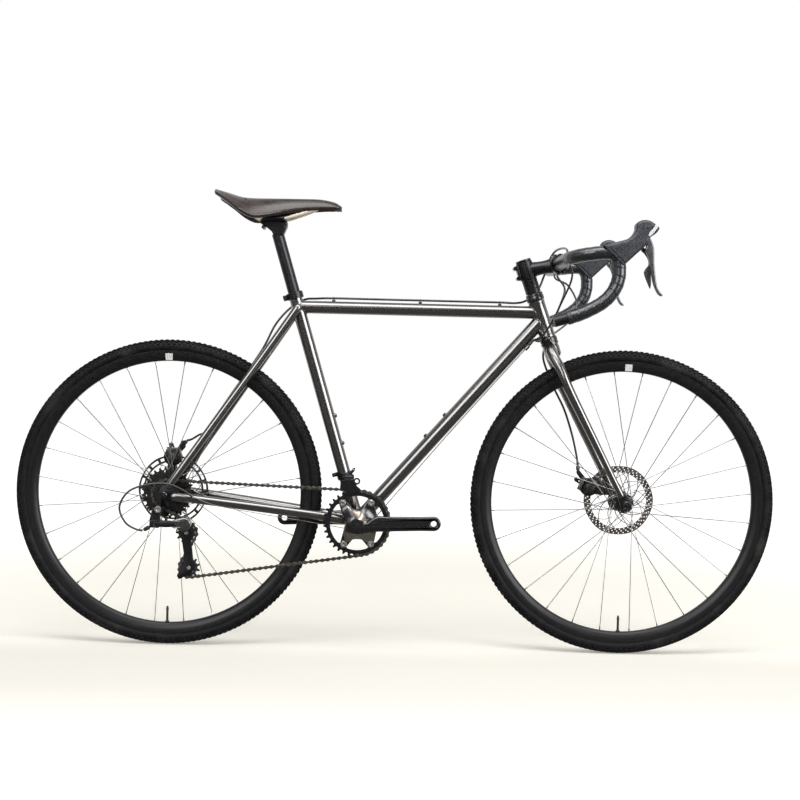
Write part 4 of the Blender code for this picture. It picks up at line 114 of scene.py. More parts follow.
def smooth(points, count):
    """Evenly spread points on a smooth curve through the given points."""
    knots = [Vector(point) for point in points]
    knots = [knots[0] * 2 - knots[1], *knots, knots[-1] * 2 - knots[-2]]
    fine = []
    for i in range(1, len(knots) - 2):
        before, start, end, after = knots[i - 1:i + 3]
        for step in range(SPLINE_STEPS):
            t = step / SPLINE_STEPS
            fine.append(0.5 * (
                2 * start + (end - before) * t
                + (2 * before - 5 * start + 4 * end - after) * t ** 2
                + (3 * start - before - 3 * end + after) * t ** 3
            ))
    fine.append(knots[-2])
    travelled = [0.0]
    for a, b in zip(fine, fine[1:]):
        travelled.append(travelled[-1] + (b - a).length)
    even = []
    at = 0
    for i in range(count):
        target = travelled[-1] * i / (count - 1)
        while at < len(fine) - 2 and travelled[at + 1] < target:
            at += 1
        share = (target - travelled[at]) / (travelled[at + 1] - travelled[at])
        even.append(fine[at].lerp(fine[at + 1], min(1.0, share)))
    return even


def arc(centre, radius, start, end, count):
    """Points on an arc, with angles in degrees."""
    angles = [math.radians(start + (end - start) * i / (count - 1)) for i in range(count)]
    return [(centre[0] + radius * math.cos(a), centre[1] + radius * math.sin(a)) for a in angles]


def circle(centre, radius, count=24):
    return arc(centre, radius, 0, 360 - 360 / count, count)


def turns(count):
    """Even steps round a full turn, in radians."""
    return [2 * math.pi * i / count for i in range(count)]


def around(radius, turn, y=0.0):
    """Point at a turn round the lateral axis through the origin."""
    return Vector((radius * math.cos(turn), y, radius * math.sin(turn)))


def smooth_loop(outline, count):
    """Closed outline made smooth through its points."""
    points = [Vector((x, 0, z)) for x, z in outline]
    ring = points[-2:] + points + points[:3]
    fine = smooth(ring, count * 2)
    start = min(range(count), key=lambda i: (fine[i] - points[0]).length)
    end = min(range(count, 2 * count), key=lambda i: (fine[i] - points[0]).length)
    step = (end - start) / count
    return [(fine[round(start + i * step)].x, fine[round(start + i * step)].z) for i in range(count)]


def spread(values, count):
    """The values stretched to count numbers by straight lines between them."""
    made = []
    for i in range(count):
        at = (len(values) - 1) * i / (count - 1)
        low = min(int(at), len(values) - 2)
        made.append(values[low] + (values[low + 1] - values[low]) * (at - low))
    return made


def ease(value):
    """Smooth step of a value from 0 to 1."""
    value = max(0.0, min(1.0, value))
    return value * value * (3 - 2 * value)


def area(outline):
    return sum(a[0] * b[1] - b[0] * a[1] for a, b in zip(outline, outline[1:] + outline[:1])) / 2


def offset(outline, distance):
    """The outline moved inwards by distance; an anticlockwise outline shrinks."""
    moved = []
    count = len(outline)
    for i, (x, z) in enumerate(outline):
        before = Vector(outline[i]) - Vector(outline[i - 1])
        after = Vector(outline[(i + 1) % count]) - Vector(outline[i])
        before.normalize()
        after.normalize()
        along = before + after
        if along.length < 1e-6:
            along = after
        along.normalize()
        stretch = 1 / max(0.5, along.dot(after))
        moved.append((x - along.y * distance * stretch, z + along.x * distance * stretch))
    return moved


def rounded(outline, reach, steps=3):
    """The outline with each corner rounded off over reach."""
    made = []
    count = len(outline)
    for i, corner in enumerate(outline):
        corner = Vector(corner)
        back = Vector(outline[i - 1]) - corner
        ahead = Vector(outline[(i + 1) % count]) - corner
        start = corner + back.normalized() * min(reach, back.length * 0.45)
        end = corner + ahead.normalized() * min(reach, ahead.length * 0.45)
        for step in range(steps + 1):
            t = step / steps
            made.append(tuple(start * (1 - t) ** 2 + corner * 2 * t * (1 - t) + end * t ** 2))
    return made


class Shape:
    """Vertices and faces gathered for one piece."""

    def __init__(self):
        self.points = []
        self.faces = []

    def add(self, points, faces, matrix=None):
        base = len(self.points)
        self.points.extend(matrix @ Vector(p) if matrix else Vector(p) for p in points)
        self.faces.extend([base + i for i in face] for face in faces)
        return self

    def grid(self, rows, closed_rows=False, closed_columns=False, caps=False):
        """Faces between rows of equally many points."""
        count = len(rows[0])
        points = [point for row in rows for point in row]
        faces = []
        for r in range(len(rows) - (0 if closed_rows else 1)):
            following = (r + 1) % len(rows)
            for c in range(count - (0 if closed_columns else 1)):
                d = (c + 1) % count
                faces.append((r * count + c, r * count + d, following * count + d, following * count + c))
        if caps:
            faces.append(tuple(reversed(range(count))))
            faces.append(tuple((len(rows) - 1) * count + c for c in range(count)))
        return self.add(points, faces)

    def sweep(self, points, radius, sides=24, radii=None, flat=None, closed=False, caps=True, section=None):
        """Tube along the points. radii scale it point by point, flat gives its height over its width."""
        points = [Vector(p) for p in points]
        count = len(points)
        rows = []
        side = None
        for i, point in enumerate(points):
            ahead = points[(i + 1) % count] if closed or i < count - 1 else point
            behind = points[i - 1] if closed or i else point
            along = (ahead - behind).normalized()
            if side is None:
                side = LATERAL if abs(along.y) < 0.9 else UP
            side = (side - along * side.dot(along)).normalized()
            up = along.cross(side)
            scale = radius * (radii[i] if radii else 1.0)
            height = flat[i] if isinstance(flat, (list, tuple)) else (flat or 1.0)
            ring = section(i) if callable(section) else section or circle((0, 0), 1.0, sides)
            rows.append([point + side * (u * scale) + up * (v * scale * height) for u, v in ring])
        return self.grid(rows, closed_rows=closed, closed_columns=True, caps=caps and not closed)

    def rod(self, start, end, radius, sides=24, end_radius=None, chamfer=0.0):
        """Cylinder or cone with chamfered ends."""
        start, end = Vector(start), Vector(end)
        length = (end - start).length
        last = radius if end_radius is None else end_radius
        profile = [(0, 0), (radius - chamfer, 0), (radius, chamfer), (last, length - chamfer),
                   (last - chamfer, length), (0, length)]
        return self.lathe(profile, start, end - start, sides)

    def lathe(self, profile, origin, axis, steps=48, closed=False):
        """Turned shape from (radius, height) points; closed joins the last point to the first."""
        matrix = frame_along(origin, axis)
        clean = [p for i, p in enumerate(profile) if i == 0 or p != profile[i - 1]]
        rows = []
        for angle in turns(steps):
            rows.append([matrix @ Vector((r * math.cos(angle), r * math.sin(angle), h)) for r, h in clean])
        return self.grid(rows, closed_rows=True, closed_columns=closed)

    def plate(self, outline, low, high, holes=(), bevel=0.0, steps=2, matrix=None):
        """Plate in the XZ plane between y=low and y=high, with rounded edges and with holes."""
        outline = list(outline)
        if area(outline) < 0:
            outline.reverse()
        loops = [outline]
        for hole in holes:
            hole = list(hole)
            if area(hole) > 0:
                hole.reverse()
            loops.append(hole)
        stages = [(0.0, 0.0)]
        if bevel:
            angles = [math.pi / 2 * i / steps for i in range(steps + 1)]
            stages = [(bevel * (1 - math.sin(a)), bevel * (1 - math.cos(a))) for a in angles]
        levels = [(inset, low + depth) for inset, depth in stages]
        levels += [(inset, high - depth) for inset, depth in reversed(stages)]
        points = []
        starts = []
        for inset, y in levels:
            starts.append(len(points))
            for loop in loops:
                points.extend((x, y, z) for x, z in (offset(loop, inset) if inset else loop))
        faces = []
        begin = 0
        for loop in loops:
            count = len(loop)
            for a, b in zip(starts, starts[1:]):
                for i in range(count):
                    j = (i + 1) % count
                    faces.append((a + begin + i, b + begin + i, b + begin + j, a + begin + j))
            begin += count
        flat = [[Vector((x, z, 0)) for x, z in loop] for loop in loops]
        for tri in tessellate_polygon(flat):
            a, b, c = [Vector(points[i]) for i in tri]
            turn = (b - a).cross(c - a).y
            lower = tri if turn < 0 else tuple(reversed(tri))
            faces.append(tuple(starts[0] + i for i in lower))
            faces.append(tuple(starts[-1] + i for i in reversed(lower)))
        return self.add(points, faces, matrix)

    def block(self, size, centre, x_axis=(1, 0, 0), bevel=0.001):
        """Box with rounded edges, its Y kept lateral."""
        x = Vector(x_axis).normalized()
        z = x.cross(LATERAL).normalized()
        turn = Matrix((x, LATERAL, z)).transposed().to_4x4()
        turn.translation = Vector(centre)
        a, b = size[0] / 2, size[2] / 2
        outline = rounded([(-a, -b), (a, -b), (a, b), (-a, b)], bevel * 1.5, 3)
        return self.plate(outline, -size[1] / 2, size[1] / 2, (), bevel, 2, turn)

    def bolt(self, head, direction, radius=0.004, height=0.003, sides=20):
        """Bolt head with a hexagonal socket, standing on head."""
        matrix = frame_along(head, direction)
        edge = 0.0005
        socket = radius * 0.5
        mouth = 1.15
        floor = height * 0.4
        profile = [(radius, 0), (radius, height - edge), (radius - edge, height), (socket * mouth, height)]
        self.lathe(profile, head, direction, sides)
        rim = [matrix @ Vector((x, z, height)) for x, z in circle((0, 0), socket * mouth, sides)]
        corners = [Vector(corner) for corner in arc((0, 0), socket, 0, 360, 7)]
        hexagon = []
        for i in range(sides):
            at = 6 * i / sides
            hexagon.append(corners[int(at)].lerp(corners[int(at) + 1], at % 1))
        rows = [rim]
        for share, level in ((mouth, height), (1.0, floor), (0.0, floor)):
            rows.append([matrix @ Vector((p.x * share, p.y * share, level)) for p in hexagon])
        return self.grid(rows, closed_columns=True)

    def piece(self, name, body, slot, material, nodes=(), angle=35.0):
        """Makes the object, rides it on its body and lets it stand for CAD nodes."""
        mesh = bpy.data.meshes.new(name)
        mesh.from_pydata([tuple(p) for p in self.points], [], self.faces)
        mesh.validate()
        weld(mesh)
        mesh.materials.append(material)
        obj = bpy.data.objects.new(name, mesh)
        bpy.context.scene.collection.objects.link(obj)
        mesh.shade_smooth()
        mesh.set_sharp_from_angle(angle=math.radians(angle))
        if body:
            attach(obj, body)
        if nodes:
            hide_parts(*nodes)
        return obj


def weld(mesh):
    bm = bmesh.new()
    bm.from_mesh(mesh)
    bmesh.ops.remove_doubles(bm, verts=bm.verts, dist=1e-6)
    bmesh.ops.dissolve_degenerate(bm, edges=bm.edges, dist=1e-7)
    bmesh.ops.recalc_face_normals(bm, faces=bm.faces)
    bm.to_mesh(mesh)
    bm.free()


# Materials

def new_material(name):
    made = bpy.data.materials.new(name)
    made.use_nodes = True
    return made, made.node_tree, made.node_tree.nodes["Principled BSDF"]


def feed(tree, socket, value):
    """Links an output to the input, or gives it a plain value."""
    if isinstance(value, bpy.types.NodeSocket):
        tree.links.new(value, socket)
    else:
        socket.default_value = value


def add_node(tree, kind, **inputs):
    """New shader node with some inputs fed, each named with an underscore for a space."""
    made = tree.nodes.new("ShaderNode" + kind)
    for name, value in inputs.items():
        feed(tree, made.inputs[name.replace("_", " ")], value)
    return made


def colour_ramp(tree, value, low, high):
    """Colour that runs between two ends, each a position and a colour."""
    ramp = add_node(tree, "ValToRGB", Fac=value)
    for element, (position, colour) in zip(ramp.color_ramp.elements, (low, high)):
        element.position = position
        element.color = (*colour, 1)
    return ramp.outputs["Color"]


def mix_colours(tree, factor, first, second):
    mix = add_node(tree, "Mix")
    mix.data_type = "RGBA"
    for name, value in (("Factor", factor), ("A", first), ("B", second)):
        feed(tree, mix.inputs[name], value)
    return mix.outputs["Result"]


def surface(name, dark, light, rough=(0.3, 0.4), metallic=0.0, scale=120.0, bump=0.0, bump_scale=None,
            coat=0.0, coat_rough=0.05, texture="NOISE", specular=0.5, wear_and_glints=None):
    """Material whose colour and roughness wander between two ends, with a fine bump."""
    made, tree, shader = new_material(name)
    place = add_node(tree, "TexCoord").outputs["Object"]
    noise = add_node(tree, "TexNoise", Vector=place, Scale=scale, Detail=4.0).outputs["Fac"]
    colour = colour_ramp(tree, noise, (0.35, dark), (0.65, light))
    # Patches of a second colour: wear on most materials, painted glints on the tread.
    if wear_and_glints:
        patches = add_node(tree, "TexNoise", Vector=place, Scale=14.0, Detail=6.0).outputs["Fac"]
        where = colour_ramp(tree, patches, (0.52, (0, 0, 0)), (0.75, (0.5, 0.5, 0.5)))
        colour = mix_colours(tree, where, colour, (*wear_and_glints, 1))
    wander = add_node(tree, "MapRange", Value=noise, From_Min=0.3, From_Max=0.7, To_Min=rough[0],
                      To_Max=rough[1])
    feed(tree, shader.inputs["Base Color"], colour)
    feed(tree, shader.inputs["Roughness"], wander.outputs["Result"])
    feed(tree, shader.inputs["Metallic"], metallic)
    feed(tree, shader.inputs["Specular IOR Level"], specular)
    feed(tree, shader.inputs["Coat Weight"], coat)
    feed(tree, shader.inputs["Coat Roughness"], coat_rough)
    if bump:
        if texture == "NOISE":
            grain = add_node(tree, "TexNoise", Vector=place, Scale=bump_scale or scale,
                             Detail=3.0).outputs["Fac"]
        else:
            grain = add_node(tree, "TexVoronoi", Vector=place,
                             Scale=bump_scale or scale).outputs["Distance"]
        raised = add_node(tree, "Bump", Strength=bump, Distance=0.0004, Height=grain)
        feed(tree, shader.inputs["Normal"], raised.outputs["Normal"])
    return made


PAINT = surface("gunmetal_paint", (0.125, 0.12, 0.118), (0.165, 0.16, 0.157), rough=(0.2, 0.24),
                metallic=0.95, scale=900.0, bump=0.02, bump_scale=2500.0, coat=0.4, coat_rough=0.04,
                texture="VORONOI")
WELD = surface("weld_bead_paint", (0.11, 0.106, 0.104), (0.15, 0.145, 0.142), rough=(0.24, 0.34),
               metallic=0.92, scale=700.0, bump=0.4, bump_scale=600.0, coat=0.4, coat_rough=0.06)
BLACK = surface("black_anodised", (0.024, 0.024, 0.026), (0.036, 0.036, 0.039), rough=(0.3, 0.4),
                metallic=0.92, scale=300.0, bump=0.02, bump_scale=700.0)
GLOSS = surface("black_gloss", (0.007, 0.007, 0.008), (0.012, 0.012, 0.013), rough=(0.2, 0.28),
                metallic=0.3, scale=200.0, bump=0.03, bump_scale=500.0, coat=0.3, coat_rough=0.06)
RIM = surface("rim_black", (0.006, 0.006, 0.007), (0.011, 0.011, 0.012), rough=(0.3, 0.4), metallic=0.0,
              scale=220.0, bump=0.03, bump_scale=600.0, specular=0.25)
STEEL = surface("bright_steel", (0.5, 0.49, 0.48), (0.62, 0.62, 0.61), rough=(0.2, 0.34), metallic=1.0,
                scale=160.0, bump=0.06, bump_scale=900.0, wear_and_glints=(0.3, 0.28, 0.26))
SPOKE = surface("spoke_steel", (0.24, 0.24, 0.24), (0.34, 0.34, 0.34), rough=(0.28, 0.38), metallic=1.0,
                scale=300.0)
DARK_STEEL = surface("dark_steel", (0.045, 0.042, 0.04), (0.085, 0.08, 0.075), rough=(0.28, 0.42),
                     metallic=0.9, scale=240.0, bump=0.08, bump_scale=800.0)
CHAIN = surface("chain_steel", (0.085, 0.077, 0.068), (0.16, 0.147, 0.132), rough=(0.28, 0.42),
                metallic=0.95, scale=260.0, bump=0.08, bump_scale=900.0, wear_and_glints=(0.05, 0.045, 0.041))
LEVER = surface("lever_grey", (0.13, 0.13, 0.135), (0.17, 0.17, 0.175), rough=(0.26, 0.34), metallic=0.85,
                scale=500.0, bump=0.04, bump_scale=1500.0)
CRANK = surface("crank_grey", (0.06, 0.059, 0.061), (0.09, 0.088, 0.09), rough=(0.2, 0.28), metallic=1.0,
                scale=400.0, bump=0.02, bump_scale=900.0)
# Lighter, warmer, partly matt copy of the crank metal for the face below the arm: a painted sheen, the
# floor's reflection.
CRANK_LOWER_SHEEN = surface("crank_lower_painted_sheen", (0.08, 0.073, 0.062), (0.125, 0.115, 0.098), rough=(0.34, 0.44),
                      metallic=0.25, scale=60.0, bump=0.03, bump_scale=700.0)
# Brighter bronze copy of the crank metal for its hollow face: a painted highlight.
CRANK_HIGHLIGHT = surface("crank_painted_highlight", (0.26, 0.22, 0.185), (0.38, 0.33, 0.28), rough=(0.22, 0.32), metallic=1.0,
                 scale=60.0, bump=0.05, bump_scale=700.0)
RUBBER = surface("tyre_rubber", (0.005, 0.005, 0.006), (0.01, 0.01, 0.011), rough=(0.5, 0.66), metallic=0.0,
                 scale=180.0, bump=0.25, bump_scale=900.0, specular=0.06)
# The lighter patches on the tread are painted glints, light caught on the tops of the knobs.
TREAD = surface("tread_rubber", (0.005, 0.005, 0.006), (0.011, 0.011, 0.012), rough=(0.5, 0.68),
                metallic=0.0, scale=90.0, bump=0.3, bump_scale=700.0, specular=0.12,
                wear_and_glints=(0.06, 0.058, 0.056))
TAPE = surface("bar_tape_black", (0.005, 0.006, 0.009), (0.01, 0.012, 0.017), rough=(0.26, 0.34),
               metallic=0.0, scale=160.0, bump=0.05, bump_scale=700.0, specular=0.75, texture="VORONOI")
HOOD = surface("hood_rubber", (0.02, 0.022, 0.029), (0.03, 0.033, 0.041), rough=(0.36, 0.48), metallic=0.0,
               scale=200.0, bump=0.2, bump_scale=1800.0, texture="VORONOI")
LEATHER = surface("saddle_leather", (0.018, 0.011, 0.009), (0.034, 0.022, 0.018), rough=(0.24, 0.34),
                  metallic=0.0, scale=60.0, bump=0.15, bump_scale=900.0, texture="VORONOI", specular=0.4,
                  wear_and_glints=(0.05, 0.034, 0.028))
CREAM = surface("rail_cream", (0.62, 0.56, 0.45), (0.74, 0.69, 0.58), rough=(0.3, 0.42), metallic=0.1,
                scale=90.0, bump=0.05, bump_scale=500.0)
HOUSING = surface("cable_housing", (0.008, 0.008, 0.008), (0.014, 0.014, 0.014), rough=(0.28, 0.4),
                  metallic=0.0, scale=240.0, bump=0.08, bump_scale=1200.0, coat=0.3, coat_rough=0.08)
WIRE = surface("inner_wire", (0.2, 0.2, 0.2), (0.32, 0.31, 0.3), rough=(0.28, 0.4), metallic=1.0,
               scale=900.0, bump=0.5, bump_scale=2200.0)
PLASTIC = surface("black_plastic", (0.01, 0.01, 0.011), (0.017, 0.017, 0.018), rough=(0.4, 0.52),
                  metallic=0.0, scale=260.0, bump=0.12, bump_scale=900.0)
KNUCKLE = surface("silver_grey", (0.13, 0.13, 0.134), (0.2, 0.2, 0.204), rough=(0.18, 0.26), metallic=1.0,
                  scale=300.0, bump=0.05, bump_scale=900.0, coat=0.2, coat_rough=0.08)
PALE = surface("blank_label", (0.66, 0.66, 0.645), (0.74, 0.74, 0.725), rough=(0.35, 0.45), metallic=0.0,
               scale=80.0)
ROTOR_STEEL = surface("rotor_steel", (0.13, 0.112, 0.1), (0.23, 0.205, 0.185), rough=(0.24, 0.36),
                      metallic=1.0, scale=90.0, bump=0.1, bump_scale=1500.0)
DARK_LEVER = surface("paddle_grey", (0.07, 0.07, 0.073), (0.1, 0.1, 0.103), rough=(0.3, 0.4), metallic=0.4,
                     scale=500.0, bump=0.05, bump_scale=1500.0)
SPROCKET_BLACK = surface("sprocket_black", (0.03, 0.029, 0.029), (0.06, 0.058, 0.057), rough=(0.26, 0.38),
                         metallic=0.95, scale=260.0, bump=0.08, bump_scale=900.0)
CALIPER_BLACK = surface("calliper_black", (0.012, 0.012, 0.012), (0.026, 0.025, 0.025), rough=(0.26, 0.4),
                        metallic=0.6, scale=260.0, bump=0.1, bump_scale=900.0, coat=0.2, coat_rough=0.1)

NODE_LOOKS = {
    PAINT: "head_tube top_tube down_tube seat_tube bottom_bracket_shell chainstays seatstays fork",
    STEEL: "front_rotor rear_rotor",
    LEVER: "brake_lever_left brake_lever_right shift_paddle_left shift_paddle_right",
    KNUCKLE: "rear_mech_body",
    CRANK: "crank_left crank_right",
    RUBBER: "front_tyre rear_tyre",
    RIM: "front_rim rear_rim",
    TAPE: "bar_tape_left bar_tape_right",
    HOOD: "brake_hood_left brake_hood_right",
    HOUSING: "front_brake_cable rear_brake_housing shift_cables",
    LEATHER: "saddle",
    CHAIN: "chain",
}


def dress_nodes():
    """Every CAD node that stays in view gets its procedural material."""
    looks = {node: material for material, nodes in NODE_LOOKS.items() for node in nodes.split()}
    for name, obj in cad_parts.items():
        for index in range(len(obj.material_slots)):
            obj.material_slots[index].material = looks.get(name, BLACK)


dress_nodes()

# Wheels

TYRE_RADIUS = 0.344
RIM_INNER = 0.2955
SPOKES = 28
SPOKE_STARTS = {"front": math.radians(94.9), "rear": math.radians(97.3)}
SPOKE_SWEEP = 3 * 2 * math.pi / 14 * 0.97
FLANGE_RADIUS = 0.0225
FLANGE_HALF = 0.0015
FLANGES = {"front": (-0.027, 0.024), "rear": (-0.02, 0.033)}
ROTOR_Y = {"front": 0.0395, "rear": 0.052}
ROTOR_RADIUS = 0.08
ROTOR_HALF = 0.0009
SPACING = {"front": 0.1, "rear": 0.135}
RIM_BED = 0.2975
SPOKE_STAGGER = 0.0018
SPOKE_RADIUS = 0.00095
WHEEL_STEPS = 144
ROTOR_WAVE = 0.0006
ROTOR_ARMS = 10
BAND_INNER = 0.0644
CARRIER_RADIUS = 0.025
CARRIER_BORE = 0.018
LABEL_ANGLES = {"front": math.radians(88.9), "rear": math.radians(91.0)}
LABEL_HALF_ANGLE = 0.026
LABEL_LIFT = 0.0007
LABEL_THICKNESS = 0.0012
# Label across the rim's wall: distance from the axle, and how far out the wall is there
LABEL_RISE = ((0.2972, 0.0098), (0.30485, 0.0111), (0.3125, 0.012))
# Tread rows: sideways place, blocks around, half length, half width, height, slant, shift in steps
TREAD_ROWS = (
    (0.0, 176, 0.003, 0.0016, 0.0021, 0.0, 0.0),
    (0.0042, 176, 0.0028, 0.0015, 0.0022, 0.5, 0.0),
    (0.0082, 176, 0.0027, 0.0015, 0.0023, 0.7, 0.5),
    (0.0116, 176, 0.0026, 0.0015, 0.0025, 0.3, 0.0),
    (0.0146, 176, 0.003, 0.0017, 0.0027, 0.0, 0.5),
)
CARCASS_CENTRE = 0.328
CARCASS_HEIGHT = 0.0138
CARCASS_WIDTH = 0.0162


def carcass_angle(y):
    return math.asin(max(-1.0, min(1.0, y / CARCASS_WIDTH)))


def tyre_shape():
    """Round casing with beads, and rows of tread blocks over its crown and shoulders."""
    shape = Shape()
    wall = []
    for step in range(25):
        turn = math.radians(-118 + 236 * step / 24)
        wall.append((CARCASS_CENTRE + CARCASS_HEIGHT * math.cos(turn), CARCASS_WIDTH * math.sin(turn)))
    profile = [(0.3126, -0.0094), (0.3188, -0.0094), *wall, (0.3188, 0.0094), (0.3126, 0.0094)]
    shape.lathe(list(reversed(profile)), (0, 0, 0), LATERAL, WHEEL_STEPS, closed=True)
    for y, count, half_length, half_width, height, slant, shift in TREAD_ROWS:
        for side in ((-1, 1) if y else (1,)):
            for index in range(count):
                turn = 2 * math.pi * (index + shift) / count
                shape.add(*tread_block(turn, side * y, half_length, half_width, height, slant * side))
    return shape


def tread_block(turn, y, half_length, half_width, height, slant):
    """One tapered block on the casing at the given turn round the wheel."""
    lean = carcass_angle(y)
    out = Vector((math.cos(lean), math.sin(lean)))
    across = Vector((-math.sin(lean), math.cos(lean)))
    base = Vector((CARCASS_CENTRE + CARCASS_HEIGHT * math.cos(lean), CARCASS_WIDTH * math.sin(lean)))
    points = []
    for level, share in ((-0.0012, 1.1), (height, 0.8)):
        for a, b in ((-1, -1), (1, -1), (1, 1), (-1, 1)):
            spot = base + out * level + across * (b * half_width * share)
            along = a * half_length * share + b * half_width * slant
            radius = min(spot.x, TYRE_RADIUS - 0.0001)
            points.append(around(radius, turn + along / radius, spot.y))
    return points, [(4, 5, 6, 7), (0, 4, 7, 3), (1, 2, 6, 5), (0, 1, 5, 4), (3, 7, 6, 2), (0, 3, 2, 1)]


def rim_shape():
    """Deep rim with a raised lip, a channel for the tyre and a slope to the narrow spoke bed."""
    profile = [
        (0.3195, -0.0122), (0.317, -0.0122), (0.309, -0.0116), (0.307, -0.011), (0.302, -0.0092),
        (0.2975, -0.0068), (0.2957, -0.0046), (0.2953, 0.0), (0.2957, 0.0046), (0.2975, 0.0068),
        (0.302, 0.0092), (0.307, 0.011), (0.309, 0.0116), (0.317, 0.0122), (0.3195, 0.0122), (0.3195, 0.01),
        (0.312, 0.0098), (0.311, 0.0), (0.312, -0.0098), (0.3195, -0.01),
    ]
    return Shape().lathe(profile, (0, 0, 0), LATERAL, WHEEL_STEPS, closed=True)


def spoke_ends(label, index):
    """A spoke's ends, from the face of its flange to its nipple in the rim."""
    rim_angle = SPOKE_STARTS[label] + 2 * math.pi * index / SPOKES
    side = 1 if index % 2 else -1
    leading = 1 if (index // 2) % 2 else -1
    flange_angle = rim_angle + leading * SPOKE_SWEEP
    flange_y = FLANGES[label][0 if side < 0 else 1]
    hole = FLANGE_RADIUS - 0.003
    face = flange_y + leading * side * (FLANGE_HALF + 0.0006)
    return around(hole, flange_angle, face), around(RIM_BED, rim_angle,
                                                    side * SPOKE_STAGGER), leading * side


def spokes_shape(label):
    shape = Shape()
    for index in range(SPOKES):
        start, end, outward = spoke_ends(label, index)
        elbow = start - LATERAL * outward * (2 * FLANGE_HALF + 0.0014)
        shape.sweep([elbow, start - LATERAL * outward * 0.0003, start.lerp(end, 0.004), end], SPOKE_RADIUS,
                    8)
        shape.rod(elbow - LATERAL * outward * 0.0004, elbow, 0.0017, 10, chamfer=0.0002)
    return shape


def nipples_shape(label):
    shape = Shape()
    for index in range(SPOKES):
        start, end, _ = spoke_ends(label, index)
        back = (start - end).normalized()
        shape.rod(end + back * 0.01, end, 0.0013, 10, 0.002, 0.0003)
    return shape


def hub_shape(label):
    """Hub shell with flanges, a waisted barrel, rotor carrier, seals and end caps."""
    low, high = FLANGES[label]
    end = SPACING[label] / 2 - 0.0003
    rotor = ROTOR_Y[label]
    outer = rotor + ROTOR_HALF + 0.0003
    inner = rotor - ROTOR_HALF - 0.0003
    middle = (low + high) / 2
    profile = [
        (0.0055, end), (0.0088, end), (0.0095, end - 0.0008), (0.0095, outer + 0.0034),
        (0.019, outer + 0.0034), (0.0205, outer + 0.0022), (0.0205, outer), (0.0175, outer), (0.0175, inner),
        (0.0225, inner), (0.0225, inner - 0.0024), (0.016, inner - 0.004), (0.015, high + 0.003),
        (0.0185, high + FLANGE_HALF), (0.0218, high + FLANGE_HALF), (FLANGE_RADIUS, high + 0.0008),
        (FLANGE_RADIUS, high - 0.0008), (0.0218, high - FLANGE_HALF), (0.017, high - FLANGE_HALF - 0.0005),
        (0.0128, high - 0.0055), (0.0115, high - 0.01), (0.0112, middle), (0.0115, low + 0.01),
        (0.0128, low + 0.0055), (0.017, low + FLANGE_HALF + 0.0005), (0.0218, low + FLANGE_HALF),
        (FLANGE_RADIUS, low + 0.0008), (FLANGE_RADIUS, low - 0.0008), (0.0218, low - FLANGE_HALF),
        (0.015, low - FLANGE_HALF - 0.001),
    ]
    if label == "front":
        profile += [(0.013, low - 0.005), (0.013, low - 0.013), (0.0112, low - 0.015),
                    (0.0095, -end + 0.001), (0.0088, -end), (0.0055, -end)]
    else:
        profile += [(0.0119, low - 0.004), (0.0119, -end + 0.0015), (0.011, -end), (0.0055, -end)]
    shape = Shape().lathe(profile, (0, 0, 0), LATERAL, 64, closed=True)
    for turn in turns(12):
        shape.block((0.0028, 0.001, 0.0016), around(0.0185, turn, outer + 0.0036), around(1, turn), 0.0002)
    return shape


def rotor_outline():
    """Circle with six shallow waves."""
    radii = [(turn, ROTOR_RADIUS + ROTOR_WAVE * (math.cos(6 * turn) - 1)) for turn in turns(120)]
    return [(radius * math.cos(turn), radius * math.sin(turn)) for turn, radius in radii]


def band_holes():
    """Small round holes in three staggered rows round the braking band."""
    holes = []
    for row, radius in enumerate((0.0668, 0.0712, 0.0756)):
        for index in range(42):
            turn = 2 * math.pi * (index + row * 0.35) / 42
            holes.append(circle((radius * math.cos(turn), radius * math.sin(turn)), 0.0016, 8))
    return holes


def rotor_arm(turn, radius_low, radius_high, sweep, half):
    """Outline of one curved arm of the rotor's spider."""
    edges = ([], [])
    for step in range(9):
        share = step / 8
        radius = radius_low + (radius_high - radius_low) * share
        angle = turn + sweep * share
        for edge, sign in zip(edges, (-1, 1)):
            edge.append((radius * math.cos(angle) + sign * half * -math.sin(angle),
                         radius * math.sin(angle) + sign * half * math.cos(angle)))
    return edges[0] + edges[1][::-1]


def band_slots():
    """Long curved slots along the middle of the braking band."""
    slots = []
    for start in range(0, 360, 20):
        slots.append([*arc((0, 0), 0.0688, start, start + 15, 6), *arc((0, 0), 0.0752, start + 15, start,
                                                                       6)])
    return slots


def rotor_shape(openings):
    """Braking band full of openings on a carrier ring, joined by curved arms and short cross struts."""
    shape = Shape()
    inner = circle((0, 0), BAND_INNER, 72)
    shape.plate(rotor_outline(), -ROTOR_HALF, ROTOR_HALF, [inner, *openings], 0.0002, 1)
    bore = circle((0, 0), CARRIER_BORE, 36)
    shape.plate(circle((0, 0), CARRIER_RADIUS, 48), -ROTOR_HALF, ROTOR_HALF, [bore], 0.0002, 1)
    for turn in turns(ROTOR_ARMS):
        shape.plate(rotor_arm(turn, 0.0238, 0.0652, 0.85, 0.0012), -0.0008, 0.0008)
        shape.plate(rotor_arm(turn + 0.62, 0.042, 0.0652, -0.55, 0.001), -0.0007, 0.0007)
    return shape


def moved(shape, place):
    """A copy of the shape at another place."""
    copy = Shape()
    copy.points = [point + place for point in shape.points]
    copy.faces = shape.faces
    return copy


def label_patch(hub, side, centre_angle):
    """Blank square sticker on the rim's wall."""
    rows = []
    for radius, y in LABEL_RISE:
        steps = [centre_angle + LABEL_HALF_ANGLE * (step / 3 - 1) for step in range(7)]
        rows.append([hub + around(radius, turn, side * (y + LABEL_LIFT)) for turn in steps])
    back = [[point - LATERAL * side * LABEL_THICKNESS for point in row] for row in rows]
    edges = []
    for face in (rows, back):
        edges.append(face[0] + [row[-1] for row in face[1:-1]] + face[-1][::-1] + [face[1][0]])
    return Shape().grid(rows).grid(back).grid(edges, closed_columns=True)


